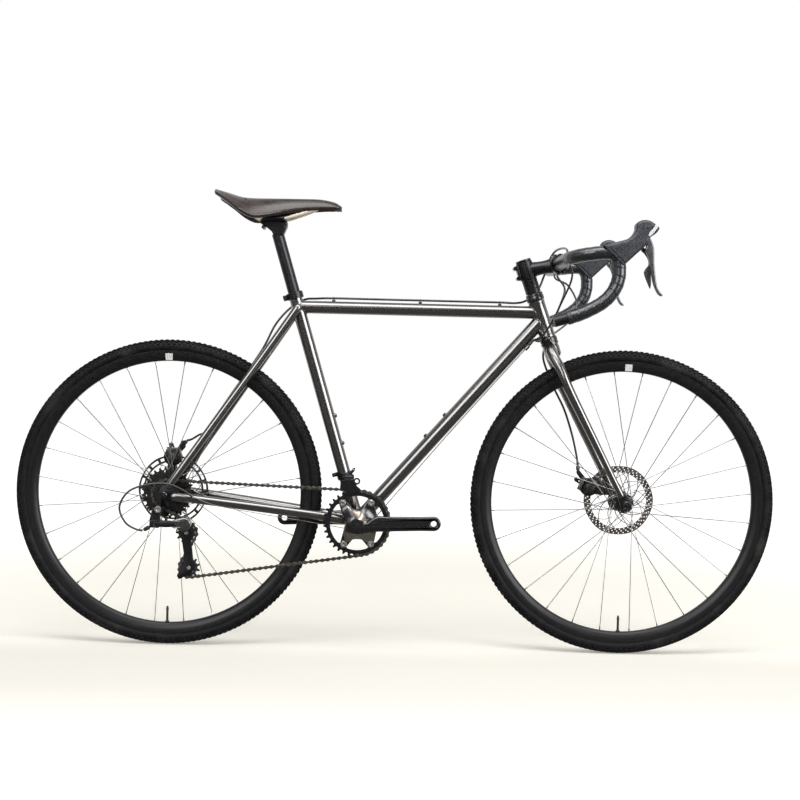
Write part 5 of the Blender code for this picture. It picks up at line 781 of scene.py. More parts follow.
def make_wheels():
    tyre = tyre_shape()
    rim = rim_shape()
    rotors = {"front": rotor_shape(band_holes()), "rear": rotor_shape(band_slots())}
    for label, hub in HUBS.items():
        body = label + "_wheel"
        moved(tyre, hub).piece(label + "_knobbly_tyre", body, "tyre_rubber", TREAD, [label + "_tyre"], 50)
        moved(rim, hub).piece(label + "_deep_rim", body, "black_alloy", RIM, [label + "_rim"])
        moved(hub_shape(label), hub).piece(label + "_hub_shell", body, "hub_black", GLOSS, [label + "_hub"])
        moved(spokes_shape(label), hub).piece(label + "_spokes", body, "hub_black", SPOKE, [label + "_hub"])
        moved(nipples_shape(label), hub).piece(label + "_nipples", body, "bright_steel", SPOKE,
                                               [label + "_hub"])
        disc = moved(rotors[label], hub + LATERAL * ROTOR_Y[label])
        steel = ROTOR_STEEL if label == "front" else DARK_STEEL
        disc.piece(label + "_vented_rotor", body, "bright_steel", steel, [label + "_rotor"])
        foot = hub - UP * (RIM_INNER + 0.002)
        valve = Shape().rod(foot, foot + UP * 0.03, 0.0028, 16, 0.0026, 0.0004)
        valve.rod(foot + UP * 0.002, foot + UP * 0.0045, 0.005, 16, chamfer=0.0006)
        valve.rod(foot + UP * 0.029, foot + UP * 0.0385, 0.0034, 16, 0.0022, 0.0008)
        valve.piece(label + "_valve", body, "black_alloy", PLASTIC, [label + "_rim"])
        for side, name in SIDES:
            patch = label_patch(hub, side, LABEL_ANGLES[label])
            patch.piece(label + "_sticker_" + name, body, "black_alloy", PALE)


make_wheels()

# Frame

TOP_TUBE_HEIGHT = 0.768
TOP_TUBE_RADIUS = 0.0143
DOWN_TUBE_RADIUS = 0.0159
SEAT_TUBE_RADIUS = 0.0148
SEAT_TUBE_LENGTH = 0.5267
HEAD_TUBE_RADIUS = 0.018
HEAD_TUBE_BOTTOM = 0.407
HEAD_TUBE_TOP = 0.492
SHELL_RADIUS = 0.0195
SHELL_HALF = 0.034
SHELL_BORE = 0.0172
DROPOUT_Y = 0.0705
DROPOUT_THICKNESS = 0.006
STAY_END_Y = 0.0725
HOUSING_RADIUS = 0.0025
BEAD = 0.0016
# Points on a stay's path where its bead is looked for from, and towards which it looks
BEAD_FROM = 14
BEAD_TOWARDS = 2
DOME_REACH = 0.9
AXLE_SLOT = 0.0053
STAY_MIDDLE_Y = STAY_END_Y - 0.0015
TOP_TUBE_REAR = on_seat((TOP_TUBE_HEIGHT - BOTTOM_BRACKET.z) / SEAT_DIRECTION.z)
TOP_TUBE_FRONT = on_head((TOP_TUBE_HEIGHT - STEERING_FOOT.z) / HEAD_DIRECTION.z)
DOWN_TUBE_TOP = on_head(HEAD_TUBE_BOTTOM + 0.043)
DOWN_DIRECTION = (DOWN_TUBE_TOP - BOTTOM_BRACKET).normalized()
DOWN_NORMAL = Vector((DOWN_DIRECTION.z, 0, -DOWN_DIRECTION.x))
HEAD_AXIS = (STEERING_FOOT, HEAD_DIRECTION, HEAD_TUBE_RADIUS)
SEAT_AXIS = (BOTTOM_BRACKET, SEAT_DIRECTION, SEAT_TUBE_RADIUS)
SHELL_AXIS = (BOTTOM_BRACKET, LATERAL, SHELL_RADIUS)


def down_point(station, off, y=0.0):
    """Point beside the down tube, off below its axis."""
    return BOTTOM_BRACKET + DOWN_DIRECTION * station + DOWN_NORMAL * off + LATERAL * y


def meeting_line(start, inward, radius, main):
    """Where the surface of a tube running inward from start first meets the main tube."""
    base, axis, main_radius = main
    inward = Vector(inward).normalized()
    matrix = frame_along(start, inward)
    line = []
    for turn in turns(96):
        spot = matrix @ Vector((radius * math.cos(turn), radius * math.sin(turn), 0))
        apart = spot - base
        apart -= axis * apart.dot(axis)
        across = inward - axis * inward.dot(axis)
        a = across.dot(across)
        b = 2 * apart.dot(across)
        c = apart.dot(apart) - main_radius ** 2
        inside = b * b - 4 * a * c
        line.append(spot + inward * ((-b - math.sqrt(inside)) / (2 * a)) if inside > 0 else None)
    return line


def add_bead(shape, start, inward, radius, main):
    """Rippled weld bead round a tube where it meets the main tube."""
    line = meeting_line(start, inward, radius, main)
    closed = None not in line
    if not closed:
        first = next(i for i, spot in enumerate(line) if spot is None)
        line = [spot for spot in line[first:] + line[:first] if spot]
    if len(line) < 4:
        return
    ripples = [1.0 + 0.16 * math.sin(i * 1.9) for i in range(len(line))]
    shape.sweep(line, BEAD, 8, ripples, closed=closed)


def pipe(shape, start, end, radius, wall, lip=0.0, sides=56):
    """Hollow tube with eased ends, and a raised lip at both ends where asked."""
    start, end = Vector(start), Vector(end)
    length = (end - start).length
    inner = radius - wall
    outer = radius + lip
    low = [(inner, 0.0006), (inner + 0.0005, 0), (outer - 0.0006, 0), (outer, 0.0006)]
    if lip:
        low += [(outer, 0.0042), (radius, 0.0056)]
    profile = low + [(r, length - h) for r, h in reversed(low)]
    return shape.lathe(profile, start, end - start, sides, closed=True)


def boss(shape, place, direction):
    """Threaded boss with a low ring round its foot, sunk a little into the tube."""
    radius = 0.0048
    sunk = 0.0012
    tall = 0.003 + sunk
    foot = Vector(place) - direction * sunk
    profile = [(0, 0), (radius + 0.001, 0), (radius + 0.0008, 0.0016), (radius, 0.0024)]
    profile += [(radius, tall - 0.0004), (radius - 0.0004, tall), (0, tall)]
    return shape.lathe(profile, foot, direction, 24)


def make_tubes():
    weld_beads = Shape()
    head = Shape()
    pipe(head, on_head(HEAD_TUBE_BOTTOM), on_head(HEAD_TUBE_TOP), HEAD_TUBE_RADIUS, 0.0017, 0.0005)
    head.piece("head_tube_shell", "frame", "frame_paint", PAINT, ["head_tube"])
    top = Shape()
    pipe(top, TOP_TUBE_REAR, TOP_TUBE_FRONT, TOP_TUBE_RADIUS, 0.0012)
    top.piece("top_tube_shell", "frame", "frame_paint", PAINT, ["top_tube"])
    add_bead(weld_beads, TOP_TUBE_REAR.lerp(TOP_TUBE_FRONT, 0.5), (-1, 0, 0), TOP_TUBE_RADIUS, SEAT_AXIS)
    add_bead(weld_beads, TOP_TUBE_REAR.lerp(TOP_TUBE_FRONT, 0.5), (1, 0, 0), TOP_TUBE_RADIUS, HEAD_AXIS)
    down = Shape()
    pipe(down, BOTTOM_BRACKET + DOWN_DIRECTION * 0.018, DOWN_TUBE_TOP - DOWN_DIRECTION * 0.01,
         DOWN_TUBE_RADIUS, 0.0012)
    down.piece("down_tube_shell", "frame", "frame_paint", PAINT, ["down_tube"])
    middle = BOTTOM_BRACKET.lerp(DOWN_TUBE_TOP, 0.5)
    add_bead(weld_beads, middle, -DOWN_DIRECTION, DOWN_TUBE_RADIUS, SHELL_AXIS)
    add_bead(weld_beads, middle, DOWN_DIRECTION, DOWN_TUBE_RADIUS, HEAD_AXIS)
    seat = Shape()
    pipe(seat, on_seat(0.018), on_seat(SEAT_TUBE_LENGTH), SEAT_TUBE_RADIUS, 0.0011)
    seat.piece("seat_tube_shell", "frame", "frame_paint", PAINT, ["seat_tube"])
    add_bead(weld_beads, on_seat(0.2), -SEAT_DIRECTION, SEAT_TUBE_RADIUS, SHELL_AXIS)
    shell = Shape()
    half = LATERAL * SHELL_HALF
    pipe(shell, BOTTOM_BRACKET - half, BOTTOM_BRACKET + half, SHELL_RADIUS, SHELL_RADIUS - SHELL_BORE,
         0.0004)
    shell.piece("bottom_bracket_housing", "frame", "frame_paint", PAINT, ["bottom_bracket_shell"])
    for side in (-1, 1):
        points = smooth(chainstay_path(side), 60)
        add_bead(weld_beads, points[BEAD_FROM], points[BEAD_TOWARDS] - points[BEAD_FROM], 0.0108, SHELL_AXIS)
        points = smooth(seatstay_path(side), 60)
        add_bead(weld_beads, points[BEAD_FROM], points[BEAD_TOWARDS] - points[BEAD_FROM], 0.0092, SEAT_AXIS)
    weld_beads.piece("weld_beads", "frame", "frame_paint", WELD)


def chainstay_path(side):
    points = [
        (BOTTOM_BRACKET.x - 0.01, 0.0213, BOTTOM_BRACKET.z + 0.0015),
        (BOTTOM_BRACKET.x - 0.045, 0.0262, 0.2945),
        (BOTTOM_BRACKET.x - 0.079, 0.0287, 0.3002),
        (BOTTOM_BRACKET.x - 0.114, 0.0352, 0.3052),
        (-0.3, 0.049, 0.3182),
        (-0.4, 0.0625, 0.3305),
        (-0.47, STAY_MIDDLE_Y, 0.3388),
        (HUBS["rear"].x + 0.0205, STAY_END_Y, 0.3412),
    ]
    return [Vector((x, side * y, z)) for x, y, z in points]


def seatstay_path(side):
    points = [
        (TOP_TUBE_REAR.x + 0.001, 0.0185, TOP_TUBE_HEIGHT - 0.002),
        (-0.303, 0.03, 0.657),
        (-0.3719, 0.047, 0.556),
        (-0.4267, 0.061, 0.475),
        (-0.478, STAY_MIDDLE_Y, 0.3995),
        (HUBS["rear"].x + 0.0095, STAY_END_Y, HUBS["rear"].z + 0.0195),
    ]
    return [Vector((x, side * y, z)) for x, y, z in points]


def domed(points, radii):
    """The path with a rounded cap added at both ends."""
    first, last = points[0], points[-1]
    back = (points[0] - points[1]).normalized()
    ahead = (points[-1] - points[-2]).normalized()
    angles = [math.radians(angle) for angle in (88, 70, 50, 28)]
    before = [first + back * (radii[0] * DOME_REACH * math.sin(a)) for a in angles]
    after = [last + ahead * (radii[-1] * DOME_REACH * math.sin(a)) for a in reversed(angles)]
    caps = [math.cos(a) for a in angles]
    sizes = [radii[0] * c for c in caps] + list(radii) + [radii[-1] * c for c in reversed(caps)]
    return before + list(points) + after, sizes


def tapered(shape, points, start_radius, end_radius, sides=32, quick=1.0):
    """Domed tube whose radius falls from start to end; quick makes it reach the end size sooner."""
    count = len(points)
    sizes = [start_radius + (end_radius - start_radius) * min(1.0, quick * i / (count - 1))
             for i in range(count)]
    path, radii = domed(points, sizes)
    return shape.sweep(path, 1.0, sides, radii)


def rear_dropout_outline(side):
    if side < 0:
        lower = [(-0.006, -0.012), (-0.0045, -0.026), (-0.0045, -0.0385), (-0.016, -0.0385),
                 (-0.019, -0.03), (-0.015, -0.012)]
        upper = [(-0.013, 0.006), (-0.006, 0.02), (0.004, 0.028)]
    else:
        lower = [(-0.006, -0.015), (-0.012, -0.015), (-0.015, -0.005)]
        upper = [(-0.014, 0.01), (-0.016, 0.04), (-0.012, 0.056), (0.004, 0.056), (0.006, 0.04),
                 (0.008, 0.028)]
    front = [(0.018, 0.024), (0.03, 0.01), (0.032, -0.006), (0.014, -0.0155), (0.006, -0.0155)]
    return slotted(rounded([*lower, *upper, *front], 0.003, 2))


def slotted(outline):
    """The outline with an open slot for the axle at its origin, opening downwards."""
    if area(outline) > 0:
        outline = outline[::-1]
    count = len(outline)
    for i in range(count):
        (x, z), (u, w) = outline[i], outline[(i + 1) % count]
        if max(z, w) < -0.01 and x > AXLE_SLOT >= u:
            right = i
        if max(z, w) < -0.01 and x >= -AXLE_SLOT > u:
            left = i
    kept = outline[left + 1:] + outline[:right + 1] if left >= right else outline[left + 1:right + 1]
    mouth = [(AXLE_SLOT, outline[right][1]), *arc((0, 0), AXLE_SLOT, 0, 180, 14),
             (-AXLE_SLOT, outline[(left + 1) % count][1])]
    return mouth + kept


def make_stays():
    for name, path, radii in (("chainstay", chainstay_path, (0.0112, 0.0095)),
                              ("seatstay", seatstay_path, (0.0094, 0.008))):
        for side, label in SIDES:
            shape = Shape()
            tapered(shape, smooth(path(side), 64), *radii)
            shape.piece(name + "_" + label, "frame", "frame_paint", PAINT, [name + "s"])
    bridges = Shape()
    for x, z, reach in ((-0.14, 0.2968, 0.028), (-0.2995, 0.6622, 0.03)):
        bridges.rod((x, -reach, z), (x, reach, z), 0.0065, 24)
        for side in (-1, 1):
            edge = Vector((x, side * (0.017 if z < 0.5 else 0.0195), z))
            bridges.lathe([(0.0062, -0.0014), (0.0076, -0.0008), (0.0078, 0.0004), (0.0062, 0.0016)], edge,
                          LATERAL, 32)
    bridges.piece("stay_bridges", "frame", "frame_paint", PAINT, ["chainstays", "seatstays"])
    for side, label in SIDES:
        matrix = Matrix.Translation(HUBS["rear"] + LATERAL * side * DROPOUT_Y)
        holes = [circle((-0.0105, -0.0305), 0.0052, 20)] if side < 0 else []
        half = DROPOUT_THICKNESS / 2
        plate = Shape().plate(rear_dropout_outline(side), -half, half, holes, 0.0007, 2, matrix)
        # The rear dropouts take the black material as painted shade, for the frame's paint dark in shadow
        # there.
        plate.piece("rear_dropout_" + label, "frame", "black_alloy", BLACK, ["chainstays"])


BOSS_SCREW_DEPTH = 0.0016
SEAT_BOSSES = (0.179, 0.243)
DOWN_BOSSES = (0.246, 0.31)
CLIP_X = (-0.1511, 0.0438, 0.2233)
TOP_HOUSING_Z = TOP_TUBE_HEIGHT + 0.0212
STOP_STATION = 0.547


def make_fittings():
    """Bottle bosses, the clips along the top tube and the stops under the down tube."""
    feet = Shape()
    screws = Shape()
    for station in SEAT_BOSSES:
        place = on_seat(station) + SEAT_FORWARD * SEAT_TUBE_RADIUS
        boss(feet, place, SEAT_FORWARD)
        screws.bolt(place + SEAT_FORWARD * BOSS_SCREW_DEPTH, SEAT_FORWARD, 0.0036, 0.0024)
    for station in DOWN_BOSSES:
        place = down_point(station, -DOWN_TUBE_RADIUS)
        boss(feet, place, -DOWN_NORMAL)
        screws.bolt(place - DOWN_NORMAL * BOSS_SCREW_DEPTH, -DOWN_NORMAL, 0.0036, 0.0024)
    for x in CLIP_X:
        top = TOP_HOUSING_Z - HOUSING_RADIUS - 0.0003
        centre = (x, 0, (TOP_TUBE_HEIGHT + TOP_TUBE_RADIUS - 0.001 + top) / 2)
        feet.block((0.008, 0.007, top - centre[2] + 0.002), centre, (1, 0, 0), 0.0008)
        ring = [(x, y, TOP_HOUSING_Z + z) for y, z in circle((0, 0), 0.0031)]
        screws.sweep(ring, 0.0005, 8, closed=True)
    for side in (-1, 1):
        low = down_point(STOP_STATION - 0.006, 0.018, side * 0.007)
        high = down_point(STOP_STATION + 0.006, 0.018, side * 0.007)
        pipe(feet, low, high, 0.0042, 0.003, sides=28)
        feet.block((0.011, 0.0028, 0.004), down_point(STOP_STATION, 0.0155, side * 0.0062), DOWN_DIRECTION,
                   0.0005)
    feet.piece("frame_fittings", "frame", "frame_paint", PAINT, ["down_tube", "seat_tube", "top_tube"])
    screws.piece("frame_screws", "frame", "black_alloy", BLACK)


make_tubes()
make_stays()
make_fittings()

# Headset and fork

CROWN_TO_AXLE = 0.389
STEM_TOP = 0.585
STEERER_RADIUS = 0.0143
SPACER_BOTTOM = 0.5115
FORK_TIP_Y = 0.053


def leg_path(side):
    points = [
        (0.34, 0.015, 0.682),
        (0.347, 0.0262, 0.666),
        (0.361, 0.036, 0.64),
        (0.381, 0.043, 0.5936),
        (0.4482, 0.0505, 0.464),
        (0.501, FORK_TIP_Y - 0.0005, 0.363),
    ]
    return [Vector((x, side * y, z)) for x, y, z in points]


def make_headset():
    lower = Shape().lathe([(0.0146, 0.0004), (0.0194, 0.0004), (0.0199, 0.001), (0.0199, 0.0056),
                           (0.0193, 0.0062), (0.0193, 0.0078), (0.0199, 0.0084), (0.0199, 0.015),
                           (0.0186, 0.0166), (0.0181, 0.0176), (0.0146, 0.0176)], on_head(CROWN_TO_AXLE),
                          HEAD_DIRECTION, 56, closed=True)
    lower.piece("lower_cup", "frame", "black_alloy", GLOSS, ["headset_cup_lower"])
    upper = Shape().lathe([(0.0146, 0.0004), (0.0181, 0.0004), (0.0186, 0.0016), (0.0199, 0.0034),
                           (0.0199, 0.011), (0.0192, 0.0122), (0.0192, 0.0134), (0.0198, 0.0142),
                           (0.0192, 0.0176), (0.0174, 0.0191), (0.0146, 0.0191)], on_head(HEAD_TUBE_TOP),
                          HEAD_DIRECTION, 56, closed=True)
    upper.piece("upper_cup", "frame", "black_alloy", GLOSS, ["headset_cup_upper"])
    stack = Shape()
    heights = (0.01, 0.01, 0.005, 0.0079)
    at = SPACER_BOTTOM + 0.0003
    for height in heights:
        stack.lathe([(0.0147, 0.0001), (0.0166, 0.0001), (0.0172, 0.0007), (0.0172, height - 0.0007),
                     (0.0166, height - 0.0001), (0.0147, height - 0.0001)], on_head(at), HEAD_DIRECTION, 56,
                    closed=True)
        at += height
    stack.piece("spacer_stack", "steering", "black_alloy", BLACK, ["headset_spacers"])


def make_fork():
    crown = Shape().lathe([(0.0143, -0.03), (0.0172, -0.026), (0.0186, -0.0235), (0.0188, -0.006),
                           (0.018, -0.003), (0.0188, -0.0018), (0.0188, -0.0002), (0.0143, 0.0)],
                          on_head(CROWN_TO_AXLE), HEAD_DIRECTION, 56, closed=True)
    crown.piece("fork_crown", "steering", "frame_paint", PAINT, ["fork"])
    steerer = Shape()
    pipe(steerer, on_head(CROWN_TO_AXLE - 0.02), on_head(STEM_TOP - 0.002), STEERER_RADIUS, 0.0015)
    steerer.piece("steerer_tube", "steering", "frame_paint", DARK_STEEL, ["fork"])
    beads = Shape()
    for side, label in SIDES:
        points = smooth(leg_path(side), 72)
        leg = Shape()
        tapered(leg, points, 0.0125, 0.0076, 36, 1.15)
        leg.piece("fork_leg_" + label, "steering", "frame_paint", PAINT, ["fork"])
        crown_axis = (STEERING_FOOT, HEAD_DIRECTION, 0.0187)
        add_bead(beads, points[12], points[2] - points[12], 0.0123, crown_axis)
        outline = rounded([(-0.0115, -0.0115), (-0.015, 0.002), (-0.02, 0.024), (-0.008, 0.03),
                           (0.008, 0.014), (0.013, 0.0), (0.0115, -0.0115)], 0.0035, 2)
        matrix = Matrix.Translation(HUBS["front"] + LATERAL * side * FORK_TIP_Y)
        tip = Shape().plate(slotted(outline), -0.003, 0.003, (), 0.0007, 2, matrix)
        tip.piece("fork_tip_" + label, "steering", "black_alloy", GLOSS, ["fork"])
    outline = rounded([(0.464, 0.354), (0.5, 0.354), (0.496, 0.37), (0.48, 0.4), (0.466, 0.398)],
                      0.004, 3)
    tab = Shape().plate(outline, 0.0495, 0.0555, [circle((0.4745, 0.39), 0.003, 16)], 0.0007, 2)
    tab.piece("brake_tab", "steering", "frame_paint", PAINT, ["fork"])
    beads.piece("fork_beads", "steering", "frame_paint", WELD, ["fork"])


make_headset()
make_fork()

# Stem and handlebar

BAR_CENTRE = Vector((0.35274, 0, 0.8774))
STEM_MIDDLE = on_head(0.565)
STEM_DIRECTION = (BAR_CENTRE - STEM_MIDDLE).normalized()
STEM_UP = Vector((-STEM_DIRECTION.z, 0, STEM_DIRECTION.x))
STEM_RISE = math.degrees(math.atan2(STEM_DIRECTION.z, STEM_DIRECTION.x))
CLAMP_RADIUS = 0.0159
STEM_EAR = (0.008, 0.04, 0.009)
STEM_EAR_UP = 0.0185
STEM_CAP = 0.5852
TAPE_START = 0.052
BAR_STEPS = 460
PLUG_STEPS = 27
CLAMP_HALF = 0.026
CLAMP_TAPER = 0.014
BAR_RADIUS = 0.012
TAPE_RADIUS = 0.0145
BAR_REACH = 0.215
# Bar points in front of and above its clamp, with the distance in from the reach of the drops
BAR_BEND = (
    (0.0005, -0.058, 0.0), (0.006, -0.028, 0.0012), (0.022, -0.009, 0.0045), (0.043, -0.001, 0.0075),
    (0.068, 0.0, 0.0105), (0.086, 0.0, 0.009), (0.097, 0.0, -0.0055), (0.0998, 0.0, -0.027),
    (0.0985, 0.0, -0.044), (0.0925, 0.0, -0.063), (0.08, 0.0, -0.0815), (0.0625, 0.0, -0.097),
    (0.038, 0.0, -0.111), (0.012, 0.0, -0.1225), (-0.034, 0.0, -0.1365),
)


def bar_path(side, count):
    """Points from the middle of the bar to the end of one drop."""
    points = [BAR_CENTRE + LATERAL * side * y for y in (0.0, 0.03, 0.052, 0.11)]
    points += [BAR_CENTRE + Vector((x, side * (BAR_REACH + inset), z)) for x, inset, z in BAR_BEND]
    return smooth(points, count)


def ring_part(centre, outer, start, end):
    return arc(centre, outer, start, end, 28) + arc(centre, CLAMP_RADIUS, end, start, 28)


def make_stem():
    stem = Shape()
    stem.lathe([(0.0146, 0.5448), (0.0176, 0.5448), (0.0185, 0.5457), (0.0187, 0.548), (0.0187, 0.582),
                (0.0185, 0.5843), (0.0176, STEM_CAP), (0.0146, STEM_CAP)], STEERING_FOOT, HEAD_DIRECTION,
               56, closed=True)
    length = (BAR_CENTRE - STEM_MIDDLE).length
    stations = (0.008, 0.02, 0.03, 0.04, length - 0.019, length - 0.015)
    widths = (0.017, 0.016, 0.0148, 0.0144, 0.0148, 0.0165)
    centres = [STEM_MIDDLE + STEM_DIRECTION * at for at in stations]
    stem.sweep(smooth(centres, 20), 1.0, 40, spread(widths, 20), flat=1.04)
    centre = (BAR_CENTRE.x, BAR_CENTRE.z)
    back = ring_part(centre, 0.0203, STEM_RISE + 93, STEM_RISE + 267)
    stem.plate(back, -0.021, 0.021, (), 0.0012, 2)
    stem.block((0.006, 0.023, 0.035), STEM_MIDDLE - HEAD_FORWARD * 0.0186, HEAD_FORWARD, 0.002)
    for up in (-1, 1):
        ear = BAR_CENTRE - STEM_DIRECTION * 0.0052 + STEM_UP * up * STEM_EAR_UP
        stem.block(STEM_EAR, ear, STEM_DIRECTION, 0.0016)
    stem.piece("stem_body", "steering", "black_alloy", BLACK, ["stem"])
    plate = Shape()
    front = ring_part(centre, 0.0201, STEM_RISE - 86, STEM_RISE + 86)
    for low, high in ((-0.0205, -0.0075), (0.0075, 0.0205)):
        plate.plate(front, low, high, (), 0.0012, 2)
    waist = ring_part(centre, 0.0196, STEM_RISE - 44, STEM_RISE + 44)
    plate.plate(waist, -0.009, 0.009, (), 0.001, 2)
    for up in (-1, 1):
        ear = BAR_CENTRE + STEM_DIRECTION * 0.0056 + STEM_UP * up * STEM_EAR_UP
        plate.block(STEM_EAR, ear, STEM_DIRECTION, 0.0018)
    plate.piece("stem_faceplate_shell", "steering", "black_alloy", BLACK, ["stem_faceplate"])
    bolts = Shape()
    for y in (-0.014, 0.014):
        for up in (-1, 1):
            head = BAR_CENTRE + STEM_DIRECTION * 0.0085 + STEM_UP * up * STEM_EAR_UP + LATERAL * y
            bolts.bolt(head, STEM_DIRECTION, 0.0036, 0.004)
    bolts.piece("faceplate_bolts", "steering", "bright_steel", DARK_STEEL)
    clamps = Shape()
    for up, y in ((-0.0118, -0.0135), (0.0118, 0.0135)):
        place = STEM_MIDDLE - HEAD_FORWARD * 0.0232 + HEAD_DIRECTION * up
        side = 1 if y > 0 else -1
        clamps.rod(place - LATERAL * 0.012, place + LATERAL * 0.012, 0.0048, 24, chamfer=0.0006)
        clamps.bolt(place + LATERAL * side * 0.0115, LATERAL * side, 0.0043, 0.004)
        clamps.rod(place - LATERAL * side * 0.0115, place - LATERAL * side * 0.015, 0.004, 24,
                   chamfer=0.0008)
    clamps.piece("stem_clamp_bolts", "steering", "black_alloy", GLOSS)
    cap = Shape().lathe([(0, 0.0003), (0.0168, 0.0003), (0.0178, 0.0012), (0.0178, 0.0034), (0.0166, 0.005),
                         (0.0075, 0.0056), (0.007, 0.0052), (0.0068, 0.0034), (0, 0.0034)],
                        on_head(STEM_CAP), HEAD_DIRECTION, 56)
    cap.bolt(on_head(STEM_CAP + 0.0034), HEAD_DIRECTION, 0.0052, 0.0026)
    cap.piece("top_cap_shell", "steering", "black_alloy", GLOSS, ["top_cap"])


TAPE_STEP = 0.036
TAPE_WRAPS = 24


def wrapped_section(row, rows):
    """Ring of the tape at one row, with its overlapping edge going round and along the bar."""
    ring = []
    for x, z in circle((0, 0), 1.0, 36):
        share = (row / rows * TAPE_WRAPS + len(ring) / 36) % 1.0
        rise = share * TAPE_STEP if share < 0.9 else (1.0 - share) / 0.1 * 0.9 * TAPE_STEP
        radius = 1 - TAPE_STEP * 0.8 + rise
        ring.append((x * radius, z * radius))
    return ring


def make_bar():
    bar = Shape()
    left = bar_path(1, 180)
    right = bar_path(-1, 180)
    path = right[::-1] + left[1:]
    radii = []
    for point in path:
        bent = point.x >= BAR_CENTRE.x + 0.004
        share = 1.0 if bent else ease((abs(point.y) - CLAMP_HALF) / CLAMP_TAPER)
        radii.append(CLAMP_RADIUS + (BAR_RADIUS - CLAMP_RADIUS) * share)
    bar.sweep(path, 1.0, 36, radii)
    bar.piece("handlebar_tube", "steering", "black_alloy", BLACK, ["handlebar"])
    for side, label in SIDES:
        points = bar_path(side, BAR_STEPS)
        first = next(i for i, point in enumerate(points) if abs(point.y) > TAPE_START)
        last = len(points) - PLUG_STEPS
        part = points[first:last]
        rows = len(part)
        ends = [1.0 - 0.14 * max(0.0, 1 - i / 3) ** 2 - 0.14 * max(0.0, 1 - (rows - 1 - i) / 3) ** 2
                for i in range(rows)]
        tape = Shape()
        tape.sweep(part, TAPE_RADIUS, radii=ends, section=lambda row: wrapped_section(row, rows))
        tape.piece("tape_wrap_" + label, "steering", "bar_tape", TAPE, ["bar_tape_" + label], 50)
        finish = Shape()
        finish.sweep(points[first:first + 9], 0.0148, 32)
        finish.sweep(points[last - 8:last + 1], 0.0146, 32)
        finish.piece("tape_finish_" + label, "steering", "bar_tape", PLASTIC)
        end = points[-1]
        along = (points[-1] - points[-4]).normalized()
        plug = Shape().lathe([(0, -0.001), (0.01, -0.001), (0.0116, -0.0004), (0.0119, 0.0006),
                              (0.0112, 0.002), (0.008, 0.0028), (0, 0.003)], end - along * 0.0022, along,
                             36)
        plug.piece("bar_plug_" + label, "steering", "bar_tape", PLASTIC)


make_stem()
make_bar()

# Brake hoods and levers

HOOD_OUTLINE = (
    (0.4175, 0.9015), (0.43, 0.9062), (0.4626, 0.9151), (0.4745, 0.9225), (0.4825, 0.9345),
    (0.4836, 0.947), (0.4914, 0.9546), (0.5033, 0.957), (0.5153, 0.954), (0.5254, 0.9469),
    (0.5322, 0.9409), (0.5262, 0.93), (0.5135, 0.9205), (0.5085, 0.9075), (0.4865, 0.8865),
    (0.466, 0.8668), (0.459, 0.8625), (0.452, 0.87), (0.438, 0.883),
)
LEVER_OUTLINE = (
    (0.5145, 0.919), (0.5216, 0.9047), (0.5236, 0.8925), (0.525, 0.8634), (0.5307, 0.8246),
    (0.5378, 0.8085), (0.5436, 0.803), (0.5428, 0.7995), (0.5385, 0.7998), (0.5313, 0.807),
    (0.5232, 0.8264), (0.5172, 0.856), (0.514, 0.872), (0.5095, 0.885), (0.5045, 0.8945), (0.507, 0.903),
    (0.51, 0.913),
)
PADDLE_OUTLINE = (
    (0.5, 0.895), (0.505, 0.8975), (0.511, 0.887), (0.517, 0.869), (0.52, 0.85), (0.5213, 0.827),
    (0.52, 0.815), (0.5175, 0.818), (0.514, 0.8257), (0.508, 0.8393), (0.5057, 0.8495), (0.5095, 0.8574),
    (0.5148, 0.865), (0.5132, 0.876), (0.507, 0.886), (0.501, 0.892),
)
LEVER_EAR = ((0.4995, 0.9215), (0.514, 0.923), (0.5155, 0.905), (0.5095, 0.901), (0.4995, 0.912))
HOOD_Y = 0.215
HOOD_HALF = 0.0163
HOOD_CORNER = 0.0155
HOOD_EDGE_HALF = 0.0164
LEVER_HALF = 0.006
PADDLE_HALF = 0.0018
LEVER_Y = 0.217
PADDLE_Y = 0.2065
LEVER_PIVOT = Vector((0.5045, LEVER_Y, 0.9175))
PADDLE_PIVOT = Vector((0.501, PADDLE_Y, 0.8945))


def make_hood(side, label):
    """Rubber hood, rounded across, with a flatter grip side and ribs under the thumb."""
    place = Matrix.Translation(LATERAL * side * HOOD_Y)
    corner = Vector(HOOD_OUTLINE[0])
    smooth_part = [point for point in smooth_loop(HOOD_OUTLINE, 72)
                   if (Vector(point) - corner).length > HOOD_CORNER]
    hood = Shape().plate([tuple(corner), *smooth_part], -HOOD_HALF, HOOD_HALF, (), 0.0066, 6, place)
    for step in range(6):
        low = Vector((0.464 + 0.0062 * step, 0, 0.876 + 0.0056 * step))
        high = low + Vector((-0.002, 0, 0.017 - 0.0009 * step))
        for face in (-1, 1):
            rib = [point + LATERAL * (side * HOOD_Y + face * 0.0157)
                   for point in (low, low.lerp(high, 0.5), high)]
            hood.sweep(rib, 0.0007, 8)
    hood.piece("hood_skin_" + label, "steering", "hood_rubber", HOOD, ["brake_hood_" + label], 55)
    band = Shape()
    lower = [(0.416, 0.9012), (0.4188, 0.902), (0.4393, 0.8852), (0.4606, 0.8636), (0.4586, 0.8612),
             (0.4372, 0.8822)]
    band.plate(lower, -HOOD_EDGE_HALF, HOOD_EDGE_HALF, (), 0.001, 2, place)
    band.piece("hood_edge_" + label, "steering", "hood_rubber", PLASTIC)
    trim = Shape()
    cap = [(0.5262, 0.9462), (0.5238, 0.9478), (0.516, 0.9388), (0.509, 0.93), (0.5072, 0.924),
           (0.511, 0.9222), (0.517, 0.9268), (0.5226, 0.933), (0.5275, 0.9412)]
    trim.plate(smooth_loop(cap, 48), -HOOD_EDGE_HALF, HOOD_EDGE_HALF, (), 0.0016, 3, place)
    trim.piece("hood_trim_" + label, "steering", "lever_grey", PALE)


